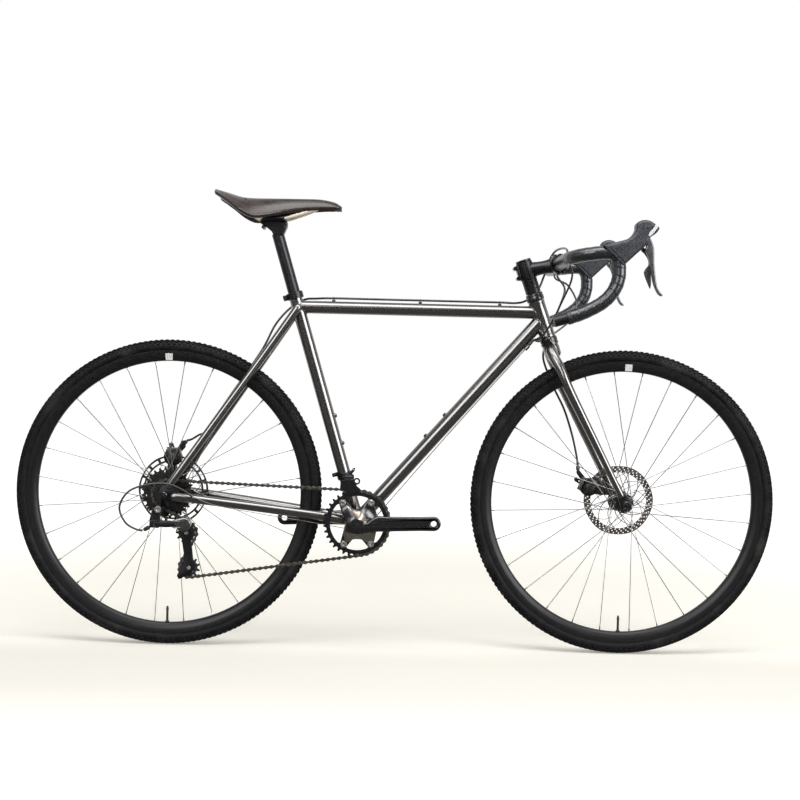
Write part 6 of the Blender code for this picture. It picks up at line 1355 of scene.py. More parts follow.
def make_lever(side, label):
    blade = Shape()
    place = Matrix.Translation(LATERAL * side * LEVER_Y)
    blade.plate(smooth_loop(LEVER_OUTLINE, 80), -LEVER_HALF, LEVER_HALF, (), 0.0022, 4, place)
    blade.plate(rounded(LEVER_EAR, 0.0022), -0.0045, 0.0045, [circle((LEVER_PIVOT.x, LEVER_PIVOT.z), 0.0022,
                                                                     16)], 0.0008, 2, place)
    blade.piece("lever_blade_" + label, "brake_lever_" + label, "lever_grey", LEVER,
                ["brake_lever_" + label], 50)
    pin = Shape()
    pivot = Vector((LEVER_PIVOT.x, side * LEVER_Y, LEVER_PIVOT.z))
    pin.rod(pivot - LATERAL * 0.0115, pivot + LATERAL * 0.0115, 0.0021, 20, chamfer=0.0004)
    pin.piece("lever_pin_" + label, "steering", "black_alloy", DARK_STEEL)
    paddle = Shape()
    place = Matrix.Translation(LATERAL * side * PADDLE_Y)
    paddle.plate(smooth_loop(PADDLE_OUTLINE, 64), -PADDLE_HALF, PADDLE_HALF, (), 0.0009, 3, place)
    paddle.plate(circle((PADDLE_PIVOT.x + 0.002, PADDLE_PIVOT.z + 0.0015), 0.0045, 28), -0.0018, 0.0018,
                 [circle((PADDLE_PIVOT.x, PADDLE_PIVOT.z), 0.0016, 14)], 0.0006, 2, place)
    paddle.piece("paddle_blade_" + label, "shift_paddle_" + label, "lever_grey", DARK_LEVER,
                 ["shift_paddle_" + label], 50)


for lever_side, lever_label in SIDES:
    make_hood(lever_side, lever_label)
    make_lever(lever_side, lever_label)

# Seat

RAIL_Z = 0.9635
POST_RADIUS = 0.0136
RAIL_POINTS = (
    (-0.18, 0.009, 0.997), (-0.206, 0.015, 0.983), (-0.245, 0.022, 0.969), (-0.262, 0.022, 0.9641),
    (-0.269, 0.022, 0.9635), (-0.31, 0.022, 0.9635), (-0.324, 0.023, 0.9645), (-0.344, 0.028, 0.978),
    (-0.356, 0.031, 1.0),
)
SEAM_SHARE = 0.72
CROWN_POWER = 2.6
CHANNEL_DEPTH = 0.0016
CHANNEL_BACK = 0.27
CHANNEL_LENGTH = 0.075
CHANNEL_WIDTH = 0.007
COLLAR_FOOT = 0.5202
# Saddle sections from the nose: x, top height, half width, drop of the edge below the top
SADDLE_SECTIONS = (
    (-0.1375, 0.9945, 0.009, 0.002), (-0.143, 0.9982, 0.0165, 0.0062), (-0.155, 1.0042, 0.0205, 0.0125),
    (-0.185, 1.0098, 0.0215, 0.0195), (-0.225, 1.0105, 0.024, 0.024), (-0.265, 1.01, 0.033, 0.031),
    (-0.3, 1.009, 0.047, 0.039), (-0.332, 1.0084, 0.062, 0.043), (-0.359, 1.0098, 0.07, 0.034),
    (-0.388, 1.0175, 0.07, 0.02), (-0.416, 1.0249, 0.06, 0.009),
)


def saddle_rows(count):
    """Sections of the saddle, evenly spread from nose to tail."""
    places = smooth([Vector((x, half, top)) for x, top, half, drop in SADDLE_SECTIONS], count)
    drops = smooth([Vector((x, drop, 0)) for x, top, half, drop in SADDLE_SECTIONS], 200)
    rows = []
    for place in places:
        drop = min(drops, key=lambda spot: abs(spot.x - place.x)).y
        rows.append((place.x, place.z, place.y, drop))
    return rows


def across(half, share):
    """Sideways place on the saddle's top, a little closer together at its edges."""
    return half * (math.sin(share * math.pi / 2) * 0.12 + share * 0.88)


def make_saddle():
    """Padded cover with rolled edges, a shallow channel down the middle and a hard shell below."""
    cover = Shape()
    rows = []
    for x, top, half, drop in saddle_rows(72):
        row = []
        channel = CHANNEL_DEPTH * math.exp(-((x + CHANNEL_BACK) / CHANNEL_LENGTH) ** 2)
        for step in range(49):
            share = -1 + step / 24
            crown = top - drop * abs(share) ** CROWN_POWER
            crown -= channel * math.exp(-(share * half / CHANNEL_WIDTH) ** 2)
            row.append((x, across(half, share), crown))
        edge = row[-1]
        thick = min(0.0075, 0.35 * half)
        roll = [(x, half * 0.985, edge[2] - thick * 0.35), (x, half * 0.93, edge[2] - thick * 0.75),
                (x, half * 0.86, edge[2] - thick * 0.85)]
        under = []
        for step in range(17):
            share = 0.84 * (1 - step / 8)
            under.append((x, half * share, top - 0.0095 - drop * 0.86 * abs(share) ** CROWN_POWER))
        rows.append(row + roll + under + [(a, -b, c) for a, b, c in reversed(roll)])
    cover.grid(rows, closed_columns=True, caps=True)
    cover.piece("saddle_cover", "saddle_post", "saddle_leather", LEATHER, ["saddle"], 60)
    shell = Shape()
    rows = []
    for x, top, half, drop in saddle_rows(72)[3:-2]:
        row = []
        for level in (0.0092, 0.0112):
            line = []
            for step in range(25):
                share = 0.8 * (-1 + step / 12)
                line.append((x, half * share, top - level - drop * 0.93 * abs(share) ** CROWN_POWER))
            row.append(line)
        rows.append(row[0] + row[1][::-1])
    shell.grid(rows, closed_columns=True, caps=True)
    shell.piece("saddle_shell", "saddle_post", "black_alloy", PLASTIC)
    seams = Shape()
    sections = saddle_rows(90)[4:-3]
    for side in (-1, 1):
        line = []
        for x, top, half, drop in sections:
            line.append((x, side * across(half, SEAM_SHARE), top - drop * SEAM_SHARE ** CROWN_POWER
                         + 0.0001))
        seams.sweep(line, 0.0005, 6)
    seams.piece("saddle_seams", "saddle_post", "saddle_leather", PLASTIC)
    pockets = Shape()
    for side in (-1, 1):
        nose = Vector((-0.18, side * 0.009, 0.999))
        pockets.block((0.016, 0.01, 0.009), nose + Vector((0.004, 0, 0.001)), (1, 0, -0.3), 0.0015)
        tail = Vector((-0.357, side * 0.031, 1.0))
        pockets.block((0.02, 0.013, 0.007), tail, (1, 0, 0.2), 0.0015)
    pockets.piece("rail_pockets", "saddle_post", "black_alloy", PLASTIC)


def make_seatpost():
    collar = Shape()
    start = on_seat(COLLAR_FOOT)
    collar.lathe([(0.0152, 0), (0.018, 0), (0.0188, 0.0008), (0.0188, 0.0137), (0.018, 0.0145),
                  (0.0152, 0.0145)], start, SEAT_DIRECTION, 56, closed=True)
    ears = on_seat(COLLAR_FOOT + 0.00725) - SEAT_FORWARD * 0.0215
    for side in (-1, 1):
        collar.block((0.011, 0.0066, 0.012), ears + LATERAL * side * 0.0042, SEAT_FORWARD, 0.0012)
    collar.piece("seat_collar_band", "frame", "black_alloy", BLACK, ["seat_collar"])
    screw = Shape()
    spot = ears - SEAT_FORWARD * 0.0012
    screw.rod(spot - LATERAL * 0.0095, spot + LATERAL * 0.0095, 0.0028, 20, chamfer=0.0005)
    screw.bolt(spot - LATERAL * 0.0072, -LATERAL, 0.0042, 0.0038)
    screw.piece("seat_collar_bolt", "frame", "bright_steel", DARK_STEEL)
    post = Shape()
    pipe(post, on_seat(0.4167), on_seat(0.672), POST_RADIUS, 0.002)
    outline = rounded([(-0.32, 0.9597), (-0.259, 0.9597), (-0.258, 0.95), (-0.264, 0.934), (-0.268, 0.925),
                       (-0.289, 0.925), (-0.293, 0.935), (-0.306, 0.945), (-0.32, 0.953)], 0.004, 3)
    post.plate(outline, -0.014, 0.014, (), 0.003, 3)
    post.piece("seatpost_tube", "saddle_post", "black_alloy", BLACK, ["seatpost"])
    clamp = Shape()
    for length, width, level in ((0.056, 0.05, -0.0033), (0.052, 0.048, 0.0033)):
        clamp.block((length, width, 0.0048), (-0.289, 0, RAIL_Z + level), (1, 0, 0), 0.0014)
    for side in (-1, 1):
        clamp.rod((-0.313, side * 0.022, RAIL_Z), (-0.265, side * 0.022, RAIL_Z), 0.0056, 28, chamfer=0.001)
    clamp.piece("rail_clamp", "saddle_post", "black_alloy", BLACK, ["seatpost"])
    screws = Shape()
    for x, low in ((-0.312, 0.944), (-0.263, 0.946)):
        screws.rod((x, 0, low), (x, 0, RAIL_Z + 0.0072), 0.0029, 20, chamfer=0.0005)
        screws.bolt((x, 0, RAIL_Z + 0.0055), (0, 0, 1), 0.0052, 0.003)
        screws.rod((x, -0.0155, low), (x, 0.0155, low), 0.004, 20, chamfer=0.0008)
    screws.piece("post_head_bolts", "saddle_post", "bright_steel", DARK_STEEL)
    rails = Shape()
    for side in (-1, 1):
        rails.sweep(smooth([(x, side * y, z) for x, y, z in RAIL_POINTS], 90), 0.0035, 20)
    rails.piece("saddle_rails_pair", "saddle_post", None, CREAM, ["saddle"])


make_saddle()
make_seatpost()

# Cranks and chainring

CHAIN_PITCH = 0.0127
RING_TEETH = 36
RING_Y = -0.0435
BOLT_ANGLES = (55.0, 125.0, 237.0, 303.0)
BOLT_CIRCLE_RADIUS = 0.055
CRANK_ANGLE = math.radians(1.6)
CRANK_LENGTH = 0.17
CRANK_HALF = 0.016
CRANK_INNER_Y = 0.059
CRANK_OUTER_Y = 0.072
SPIDER_Y = (-0.0506, -0.0446)
SPROCKET_HALF = 0.0008
FIRST_SPROCKET_Y = -0.0612
SPROCKET_STEP = 0.00395
SPROCKETS = (12, 13, 14, 15, 17, 19, 21, 23, 25, 28)
CHAIN_SPROCKET = 3
CRANK_PLACE = Matrix.Translation(BOTTOM_BRACKET) @ Matrix.Rotation(-CRANK_ANGLE, 4, "Y")
LEFT_CRANK_PLACE = Matrix.Translation(BOTTOM_BRACKET) @ Matrix.Rotation(-CRANK_ANGLE - math.pi, 4, "Y")


def pitch_radius(teeth):
    return CHAIN_PITCH / (2 * math.sin(math.pi / teeth))


def sprocket_y(index):
    return FIRST_SPROCKET_Y + SPROCKET_STEP * index


CHAIN_Y = sprocket_y(CHAIN_SPROCKET)


def toothed(teeth, root, tip):
    """Outline of a sprocket whose teeth have rounded roots and blunt tips."""
    points = []
    for tooth in range(teeth):
        for share, radius in ((-0.24, root + 0.0006), (-0.16, root), (0.0, root - 0.0002), (0.16, root),
                              (0.24, root + 0.0006), (0.29, (root + tip) / 2), (0.37, tip - 0.0003),
                              (0.5, tip), (0.63, tip - 0.0003), (0.71, (root + tip) / 2)):
            angle = 2 * math.pi * (tooth + share) / teeth
            points.append((radius * math.cos(angle), radius * math.sin(angle)))
    return points


def bolt_point(degrees, radius=BOLT_CIRCLE_RADIUS):
    angle = math.radians(degrees)
    return (radius * math.cos(angle), radius * math.sin(angle))


def spider_outline():
    """Four arms ending in round pads, with deep curved valleys between them."""
    valleys = {125: (90, 0.032), 237: (181, 0.028), 303: (270, 0.036)}
    points = []
    for degrees in BOLT_ANGLES:
        if int(degrees) in valleys:
            middle, radius = valleys[int(degrees)]
            points += [bolt_point(middle - 16, radius + 0.002), bolt_point(middle - 8, radius),
                       bolt_point(middle + 8, radius), bolt_point(middle + 16, radius + 0.002)]
        x, z = bolt_point(degrees)
        points += arc((x, z), 0.0085, degrees - 84, degrees + 84, 9)
    points += [(0.043, -0.018), (0.046, -0.015), (0.048, 0.015), (0.045, 0.018)]
    return points


# Upper edge of a crank arm from its root to its end; the lower edge mirrors it
ARM_EDGE = ((0.03, 0.0172), (0.045, 0.0166), (0.09, 0.0158), (0.14, 0.0154))


def arm_end():
    """Outline of an arm along its lower edge and round its end."""
    return [*((x, -z) for x, z in ARM_EDGE), *arc((CRANK_LENGTH, 0), CRANK_HALF, -96, 96, 20)]


# Ridge of the crank's hollow face, which bears a painted highlight: degrees round the spindle and distance
# from it
CRANK_RIDGE = (
    (18.0, 0.025), (30.0, 0.015), (70.0, 0.0118), (98.0, 0.014), (108.0, 0.018), (114.0, 0.025),
    (118.0, 0.038), (121.0, 0.052),
)
# Width of that face outward from its ridge
FACE_WIDTH = (
    (18.0, 0.004), (30.0, 0.008), (45.0, 0.012), (75.0, 0.016), (105.0, 0.016), (118.0, 0.009),
    (121.0, 0.0015),
)
# The same for the face below the arm, which bears a painted sheen
LOWER_RIDGE = (
    (208.0, 0.035), (218.0, 0.027), (236.0, 0.0235), (262.0, 0.0215), (290.0, 0.0225), (308.0, 0.0255),
    (322.0, 0.032), (332.0, 0.042),
)
LOWER_WIDTH = (
    (208.0, 0.001), (222.0, 0.014), (238.0, 0.024), (262.0, 0.015), (282.0, 0.015), (302.0, 0.026),
    (320.0, 0.022), (332.0, 0.008),
)
DOME_TOP = 0.0719
DOME_RIM = 0.0512
DOME_FLAT = 0.012
DOME_FALL = 0.036
FACE_LIFT = 0.00025


def outline_radius(outline, degrees):
    """Distance from the middle to the outline in one direction."""
    towards = Vector(bolt_point(degrees, 1.0))
    best = 0.0
    for here, there in zip(outline, outline[1:] + outline[:1]):
        start = Vector(here)
        edge = Vector(there) - start
        cross = towards.x * edge.y - towards.y * edge.x
        if abs(cross) > 1e-12:
            along = (start.x * edge.y - start.y * edge.x) / cross
            share = (start.x * towards.y - start.y * towards.x) / cross
            if along > 0 and -1e-6 <= share <= 1 + 1e-6:
                best = max(best, along)
    return best


def between(table, degrees):
    """Value of a table of angles and lengths at one angle, or none outside it."""
    for (low, near), (high, far) in zip(table, table[1:]):
        if low <= degrees <= high:
            return near + (far - near) * ease((degrees - low) / (high - low))
    return None


def dome_height(radius, rim, degrees):
    """How far the crank's face stands out: full in the middle, falling to the pads and the rim."""
    height = DOME_TOP - (DOME_TOP - DOME_RIM) * ease((radius - DOME_FLAT) / DOME_FALL)
    ridge = between(CRANK_RIDGE, degrees)
    if ridge is not None and radius > ridge:
        share = (radius - ridge) / max(0.004, rim - ridge)
        height -= (height - DOME_RIM) * min(1.0, share) ** 0.8 * 0.75
    near_rim = max(0.0, (radius / rim - 0.8) / 0.2)
    return height - (height - DOME_RIM + 0.0012) * (1 - math.sqrt(max(0.0, 1 - near_rim ** 2)))


def crank_dome(shape, ridge=(), widths=()):
    """The X of the crank as one rounded form, or a thin skin over one of its faces to bear painted light."""
    face = bool(ridge)
    start, end = (ridge[0][0], ridge[-1][0]) if face else (0.0, 360.0)
    outline = spider_outline()
    steps = round((end - start) / (0.75 if face else 1.5))
    columns = []
    for step in range(steps + (1 if face else 0)):
        degrees = start + (end - start) * step / steps
        rim = outline_radius(outline, degrees)
        inner = between(ridge, degrees) if face else 0.0004
        lift = FACE_LIFT if face else 0.0
        outer = min(rim * 0.97, inner + between(widths, degrees)) if face else rim
        front = []
        for level in range(19):
            radius = inner + (max(inner + 0.0005, outer) - inner) * level / 18
            x, z = bolt_point(degrees, radius)
            front.append(Vector((x, -dome_height(min(radius, rim), rim, degrees) - lift, z)))
        back = [Vector((p.x, p.y + 0.001 if face else SPIDER_Y[1], p.z)) for p in reversed(front)]
        columns.append([CRANK_PLACE @ point for point in front + back])
    if face:
        return shape.grid(columns, closed_columns=True, caps=True)
    rows = [[column[index] for column in columns] for index in range(len(columns[0]))]
    return shape.grid(rows, closed_columns=True, caps=True)


def make_cranks():
    pedal = circle((CRANK_LENGTH, 0), 0.0072, 28)
    right = Shape()
    outline = [(-0.008, -0.004), (-0.005, -0.013), (0.01, -0.0175), *arm_end(), ARM_EDGE[-1],
               (0.062, 0.0166), (0.052, 0.0176), (0.044, 0.0172), (0.036, 0.0138), (0.029, 0.0092),
               (0.0235, 0.0046), (0.016, 0.0028), (0.008, 0.0042), (-0.003, 0.006)]
    right.plate(outline, -CRANK_OUTER_Y, -CRANK_INNER_Y, [pedal], 0.0034, 4, CRANK_PLACE)
    crank_dome(right)
    right.piece("crank_arm_right", "crank", "crank_grey", CRANK, ["crank_right"], 50)
    # Skin over the hollow face in the brighter metal: a painted highlight.
    face = crank_dome(Shape(), CRANK_RIDGE, FACE_WIDTH)
    face.piece("crank_highlight_inlay", "crank", "crank_grey", CRANK_HIGHLIGHT, (), 60)
    # Skin over the face below the arm: a painted sheen.
    lower = crank_dome(Shape(), LOWER_RIDGE, LOWER_WIDTH)
    lower.piece("crank_lower_painted_sheen", "crank", "crank_grey", CRANK_LOWER_SHEEN, (), 60)
    left = Shape()
    outline = [*arc((0, 0), 0.02, 44, 316, 30), *arm_end(), *reversed(ARM_EDGE)]
    left.plate(outline, CRANK_INNER_Y, CRANK_OUTER_Y, [pedal], 0.0034, 4, LEFT_CRANK_PLACE)
    left.piece("crank_arm_left", "crank", "crank_grey", CRANK, ["crank_left"], 50)
    spindle = Shape()
    spindle.rod(BOTTOM_BRACKET - LATERAL * 0.07, BOTTOM_BRACKET + LATERAL * 0.07, 0.012, 40, chamfer=0.0006)
    spindle.piece("crank_spindle", "crank", "bright_steel", STEEL, ["crank_right"])
    ends = Shape()
    ends.lathe([(0, 0.0004), (0.005, 0.0004), (0.0056, 0.0016), (0.0088, 0.0016), (0.0098, 0.001),
                (0.0102, -0.001)], BOTTOM_BRACKET + LATERAL * 0.0704, LATERAL, 40)
    for side in (-1, 1):
        place = CRANK_PLACE if side < 0 else LEFT_CRANK_PLACE
        eye = place @ Vector((CRANK_LENGTH, side * 0.0655, 0))
        ends.lathe([(0.0072, -0.0068), (0.0079, -0.0068), (0.0079, 0.0068), (0.0072, 0.0068),
                    (0.0067, 0.0062), (0.0067, -0.0062)], eye, LATERAL, 36, closed=True)
    ends.piece("crank_end_caps", "crank", "bright_steel", DARK_STEEL)


def make_chainring():
    radius = pitch_radius(RING_TEETH)
    hole = []
    for i, degrees in enumerate(BOLT_ANGLES):
        following = BOLT_ANGLES[(i + 1) % 4] + (360 if i == 3 else 0)
        hole += arc(bolt_point(degrees), 0.008, degrees + 290, degrees + 70, 14)
        hole += arc((0, 0), 0.0605, degrees + 12, following - 12, 14)
    holes = [hole, *[circle(bolt_point(degrees), 0.0044, 18) for degrees in BOLT_ANGLES]]
    ring = Shape().plate(toothed(RING_TEETH, radius - 0.003, radius + 0.0032), RING_Y - SPROCKET_HALF,
                         RING_Y + SPROCKET_HALF, holes, 0.0003, 1, CRANK_PLACE)
    ring.piece("chainring_plate", "crank", "black_alloy", BLACK, ["chainring"])
    bolts = Shape()
    for degrees in BOLT_ANGLES:
        x, z = bolt_point(degrees)
        front = CRANK_PLACE @ Vector((x, SPIDER_Y[0], z))
        bolts.lathe([(0, -0.0002), (0.0072, -0.0002), (0.0074, 0.0004), (0.0068, 0.001), (0, 0.001)], front,
                    -LATERAL, 28)
        bolts.bolt(front - LATERAL * 0.0008, -LATERAL, 0.0056, 0.0016, 24)
        back = CRANK_PLACE @ Vector((x, RING_Y + 0.0009, z))
        bolts.lathe([(0.0043, -0.003), (0.0043, 0), (0.0058, 0), (0.0058, 0.0008), (0.0052, 0.0013),
                     (0.003, 0.0013), (0.0028, 0.0002), (0, 0.0002)], back, LATERAL, 24)
    bolts.piece("chainring_bolts", "crank", "bright_steel", STEEL)


def make_bottom_bracket():
    cups = Shape()
    for side in (-1, 1):
        cups.lathe([(0.0126, 0.0343), (0.0198, 0.0343), (0.0204, 0.035), (0.0204, 0.04), (0.0192, 0.0415),
                    (0.0175, 0.042), (0.0126, 0.042)], BOTTOM_BRACKET, LATERAL * side, 48, closed=True)
        for turn in turns(16):
            spot = BOTTOM_BRACKET + around(0.0203, turn, side * 0.0376)
            cups.block((0.0016, 0.0044, 0.0034), spot, around(1, turn), 0.0003)
    cups.piece("bottom_bracket_cups", "frame", "black_alloy", BLACK, ["bottom_bracket"])


# Cassette and chain

def make_cassette():
    hub = HUBS["rear"]
    discs = Shape()
    for index, teeth in enumerate(SPROCKETS):
        radius = pitch_radius(teeth)
        y = sprocket_y(index)
        outline = toothed(teeth, radius - 0.0042, radius + 0.0018)
        holes = [circle((0, 0), 0.015 if index < 4 else max(0.018, radius - 0.018), 32)]
        if index >= 6:
            for hole in range(8):
                holes.append(circle(bolt_point(45 * (hole + index * 0.35), radius - 0.0085), 0.0032, 12))
        discs.plate(outline, y - SPROCKET_HALF, y + SPROCKET_HALF, holes, 0.0003, 1,
                    Matrix.Translation(hub))
    discs.piece("sprockets", "cassette", "black_alloy", SPROCKET_BLACK, ["cassette"])
    core = Shape()
    core.lathe([(0.0123, -0.062), (0.016, -0.062), (0.0165, -0.061), (0.0165, -0.048), (0.023, -0.048),
                (0.03, -0.033), (0.03, -0.0262), (0.0123, -0.0262)], hub, LATERAL, 48, closed=True)
    core.lathe([(0.01, -0.064), (0.014, -0.064), (0.0152, -0.0632), (0.0152, -0.0618), (0.01, -0.0618)],
               hub, LATERAL, 40, closed=True)
    core.piece("cassette_core", "cassette", "black_alloy", DARK_STEEL, ["cassette"])


GUIDE_PULLEY = (HUBS["rear"].x + 0.0475, HUBS["rear"].z - 0.085)
TENSION_PULLEY = (HUBS["rear"].x + 0.0545, HUBS["rear"].z - 0.1624)
PULLEY_TEETH = 11
PULLEY_RADIUS = pitch_radius(PULLEY_TEETH)


def belt_circles():
    """Sprockets along the chain's travel: centre, pitch radius, turning sense and y."""
    rear = (HUBS["rear"].x, HUBS["rear"].z)
    return [
        ((BOTTOM_BRACKET.x, BOTTOM_BRACKET.z), pitch_radius(RING_TEETH), 1, RING_Y),
        (TENSION_PULLEY, PULLEY_RADIUS, 1, CHAIN_Y),
        (GUIDE_PULLEY, PULLEY_RADIUS, -1, CHAIN_Y),
        (rear, pitch_radius(SPROCKETS[CHAIN_SPROCKET]), 1, CHAIN_Y),
    ]


CHAIN_STEP = 0.0008
LINK_THICKNESS = 0.0007
# Link plates: distance from the chain's middle and half height
INNER_LINK = (0.00155, 0.0039)
OUTER_LINK = (0.00235, 0.0041)


def tangent_points(first, second):
    """Where the chain leaves one sprocket and meets the next; a sense of 1 turns clockwise."""
    (ax, az), ra, sense_a, _ = first
    (bx, bz), rb, sense_b, _ = second
    distance = math.hypot(bx - ax, bz - az)
    angle = math.atan2(bz - az, bx - ax) + math.acos((ra * sense_a - rb * sense_b) / distance)
    leave = (ax + ra * sense_a * math.cos(angle), az + ra * sense_a * math.sin(angle))
    meet = (bx + rb * sense_b * math.cos(angle), bz + rb * sense_b * math.sin(angle))
    return leave, meet


def chain_line():
    """Fine points on the closed pitch line, each with the name of the stretch it lies on."""
    circles = belt_circles()
    tangents = [tangent_points(circles[i], circles[(i + 1) % 4]) for i in range(4)]
    wraps = ("ring", "tension", "guide", "cassette")
    runs = ("lower", "between", "upward", "upper")
    points = []
    for i, ((cx, cz), radius, sense, y) in enumerate(circles):
        arrive, leave = tangents[i - 1][1], tangents[i][0]
        start = math.atan2(arrive[1] - cz, arrive[0] - cx)
        end = math.atan2(leave[1] - cz, leave[0] - cx)
        sweep = (start - end) % (2 * math.pi) if sense > 0 else (end - start) % (2 * math.pi)
        count = max(6, int(sweep * radius / CHAIN_STEP))
        for step in range(count):
            angle = start - sense * sweep * step / count
            points.append((Vector((cx + radius * math.cos(angle), y, cz + radius * math.sin(angle))),
                           wraps[i]))
        reach = Vector(tangents[i][1]) - Vector(leave)
        following = circles[(i + 1) % 4][3]
        count = max(4, int(reach.length / CHAIN_STEP))
        for step in range(count):
            share = step / count
            spot = Vector(leave) + reach * share
            points.append((Vector((spot.x, y + (following - y) * share, spot.y)), runs[i]))
    return points


def chain_pins():
    """Pins at even steps of about one pitch round the closed line, with their stretches."""
    line = chain_line()
    travelled = [0.0]
    for i, (point, _) in enumerate(line):
        travelled.append(travelled[-1] + (line[(i + 1) % len(line)][0] - point).length)
    count = 2 * round(travelled[-1] / CHAIN_PITCH / 2)
    pins = []
    at = 0
    for index in range(count):
        target = travelled[-1] * index / count
        while travelled[at + 1] < target:
            at += 1
        share = (target - travelled[at]) / (travelled[at + 1] - travelled[at])
        after = line[(at + 1) % len(line)][0]
        pins.append((line[at][0].lerp(after, share), line[at][1]))
    return pins


def link_plate(shape, start, end, y_shift, height):
    """Waisted figure-of-eight link plate between two pins."""
    start, end = Vector(start), Vector(end)
    along = end - start
    length = math.hypot(along.x, along.z)
    x_axis = Vector((along.x / length, 0, along.z / length))
    z_axis = Vector((-x_axis.z, 0, x_axis.x))
    matrix = Matrix((x_axis, LATERAL, z_axis)).transposed().to_4x4()
    matrix.translation = (start + end) / 2 + LATERAL * y_shift
    half = length / 2
    outline = [*arc((half, 0), height, -95, 95, 9), (0, height * 0.48),
               *arc((-half, 0), height, 85, 275, 9), (0, -height * 0.48)]
    half = LINK_THICKNESS / 2
    shape.plate(outline, -half, half, (), LINK_THICKNESS * 0.2, 1, matrix)


def chain_part(pins, first, last):
    """Links from pin first to pin last: rollers, inner and outer plates in turn, and pin ends."""
    shape = Shape()
    count = len(pins)
    for index in range(first, last):
        start = pins[index % count][0]
        end = pins[(index + 1) % count][0]
        outer = index % 2
        for side in (-1, 1):
            away, height = OUTER_LINK if outer else INNER_LINK
            link_plate(shape, start, end, side * away, height)
            if outer:
                for pin in (start, end):
                    shape.rod(pin + LATERAL * side * 0.0024, pin + LATERAL * side * 0.0029, 0.0017, 10,
                              chamfer=0.0002)
        shape.rod(start - LATERAL * 0.0012, start + LATERAL * 0.0012, 0.0024, 10)
    return shape


def make_chain():
    """The chain in stretches, each on the body that carries it, or on no body where it runs between two of
    them.
    """
    pins = chain_pins()
    count = len(pins)
    first = {}
    for index, (_, stretch) in enumerate(pins):
        first.setdefault(stretch, index)
    lower_middle = first["lower"] + round((first["tension"] - first["lower"]) * 0.6)
    upward_middle = first["upward"] + max(1, round((first["cassette"] - first["upward"]) * 0.3))
    parts = (
        ("chain_upper", "frame", None, first["cassette"], count + first["lower"]),
        ("chain_lower_front", "frame", "rear_mech_body", first["lower"], lower_middle),
        ("chain_lower_rear", "rear_mech_body", "rear_mech_cage", lower_middle, first["tension"]),
        ("chain_at_pulleys", "rear_mech_cage", None, first["tension"], first["upward"]),
        ("chain_upward_low", "rear_mech_cage", "rear_mech_body", first["upward"], upward_middle),
        ("chain_upward_high", "rear_mech_body", "frame", upward_middle, first["cassette"]),
    )
    for name, body, other, low, high in parts:
        shape = chain_part(pins, low, high)
        if other is None:
            shape.piece(name, body, "chain_steel", CHAIN, ["chain"])
            continue
        made = shape.piece(name, None, "chain_steel", CHAIN, ["chain"])
        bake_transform(made)


make_cranks()
make_chainring()
make_bottom_bracket()
make_cassette()
make_chain()

# Rear derailleur

REAR = HUBS["rear"]
HANGER_BOLT = REAR + Vector((-0.0105, 0, -0.0305))
LINK_PIVOT = REAR + Vector((-0.012, -0.0895, -0.062))
# Neck of the upper knuckle, from the rear axle
KNUCKLE_NECK = (
    (-0.0215, -0.027), (-0.003, -0.026), (-0.006, -0.042), (-0.0075, -0.056), (-0.0275, -0.056),
    (-0.0262, -0.042),
)
LINK_SPREAD = 0.012
LINK_LENGTH = 0.0385
MECH_BODY = (REAR.x + 0.0465, REAR.z - 0.0625)
CAGE_PIVOT = REAR + Vector((0.0415, CHAIN_Y, -0.074))
CAGE_HALF_GAP = 0.0052
CAGE_PLATE_HALF = 0.0008


def add_ears(shape, low, high):
    """Thin ears above and below the links, from one x to the other."""
    middle = LINK_PIVOT.y + LINK_SPREAD / 2
    for level in (-1, 1):
        centre = Vector(((low + high) / 2, middle, LINK_PIVOT.z + level * 0.007))
        shape.block((high - low, 0.0216, 0.0024), centre, (1, 0, 0), 0.0008)


def add_link_pins(shape, reach):
    """Heads of both links' pins, reach in front of their pivots on the knuckle."""
    for y in (0, LINK_SPREAD):
        for level in (-1, 1):
            pin = LINK_PIVOT + Vector((reach, y, level * 0.008))
            shape.rod(pin, pin + UP * level * 0.0013, 0.0019, 16, chamfer=0.0003)


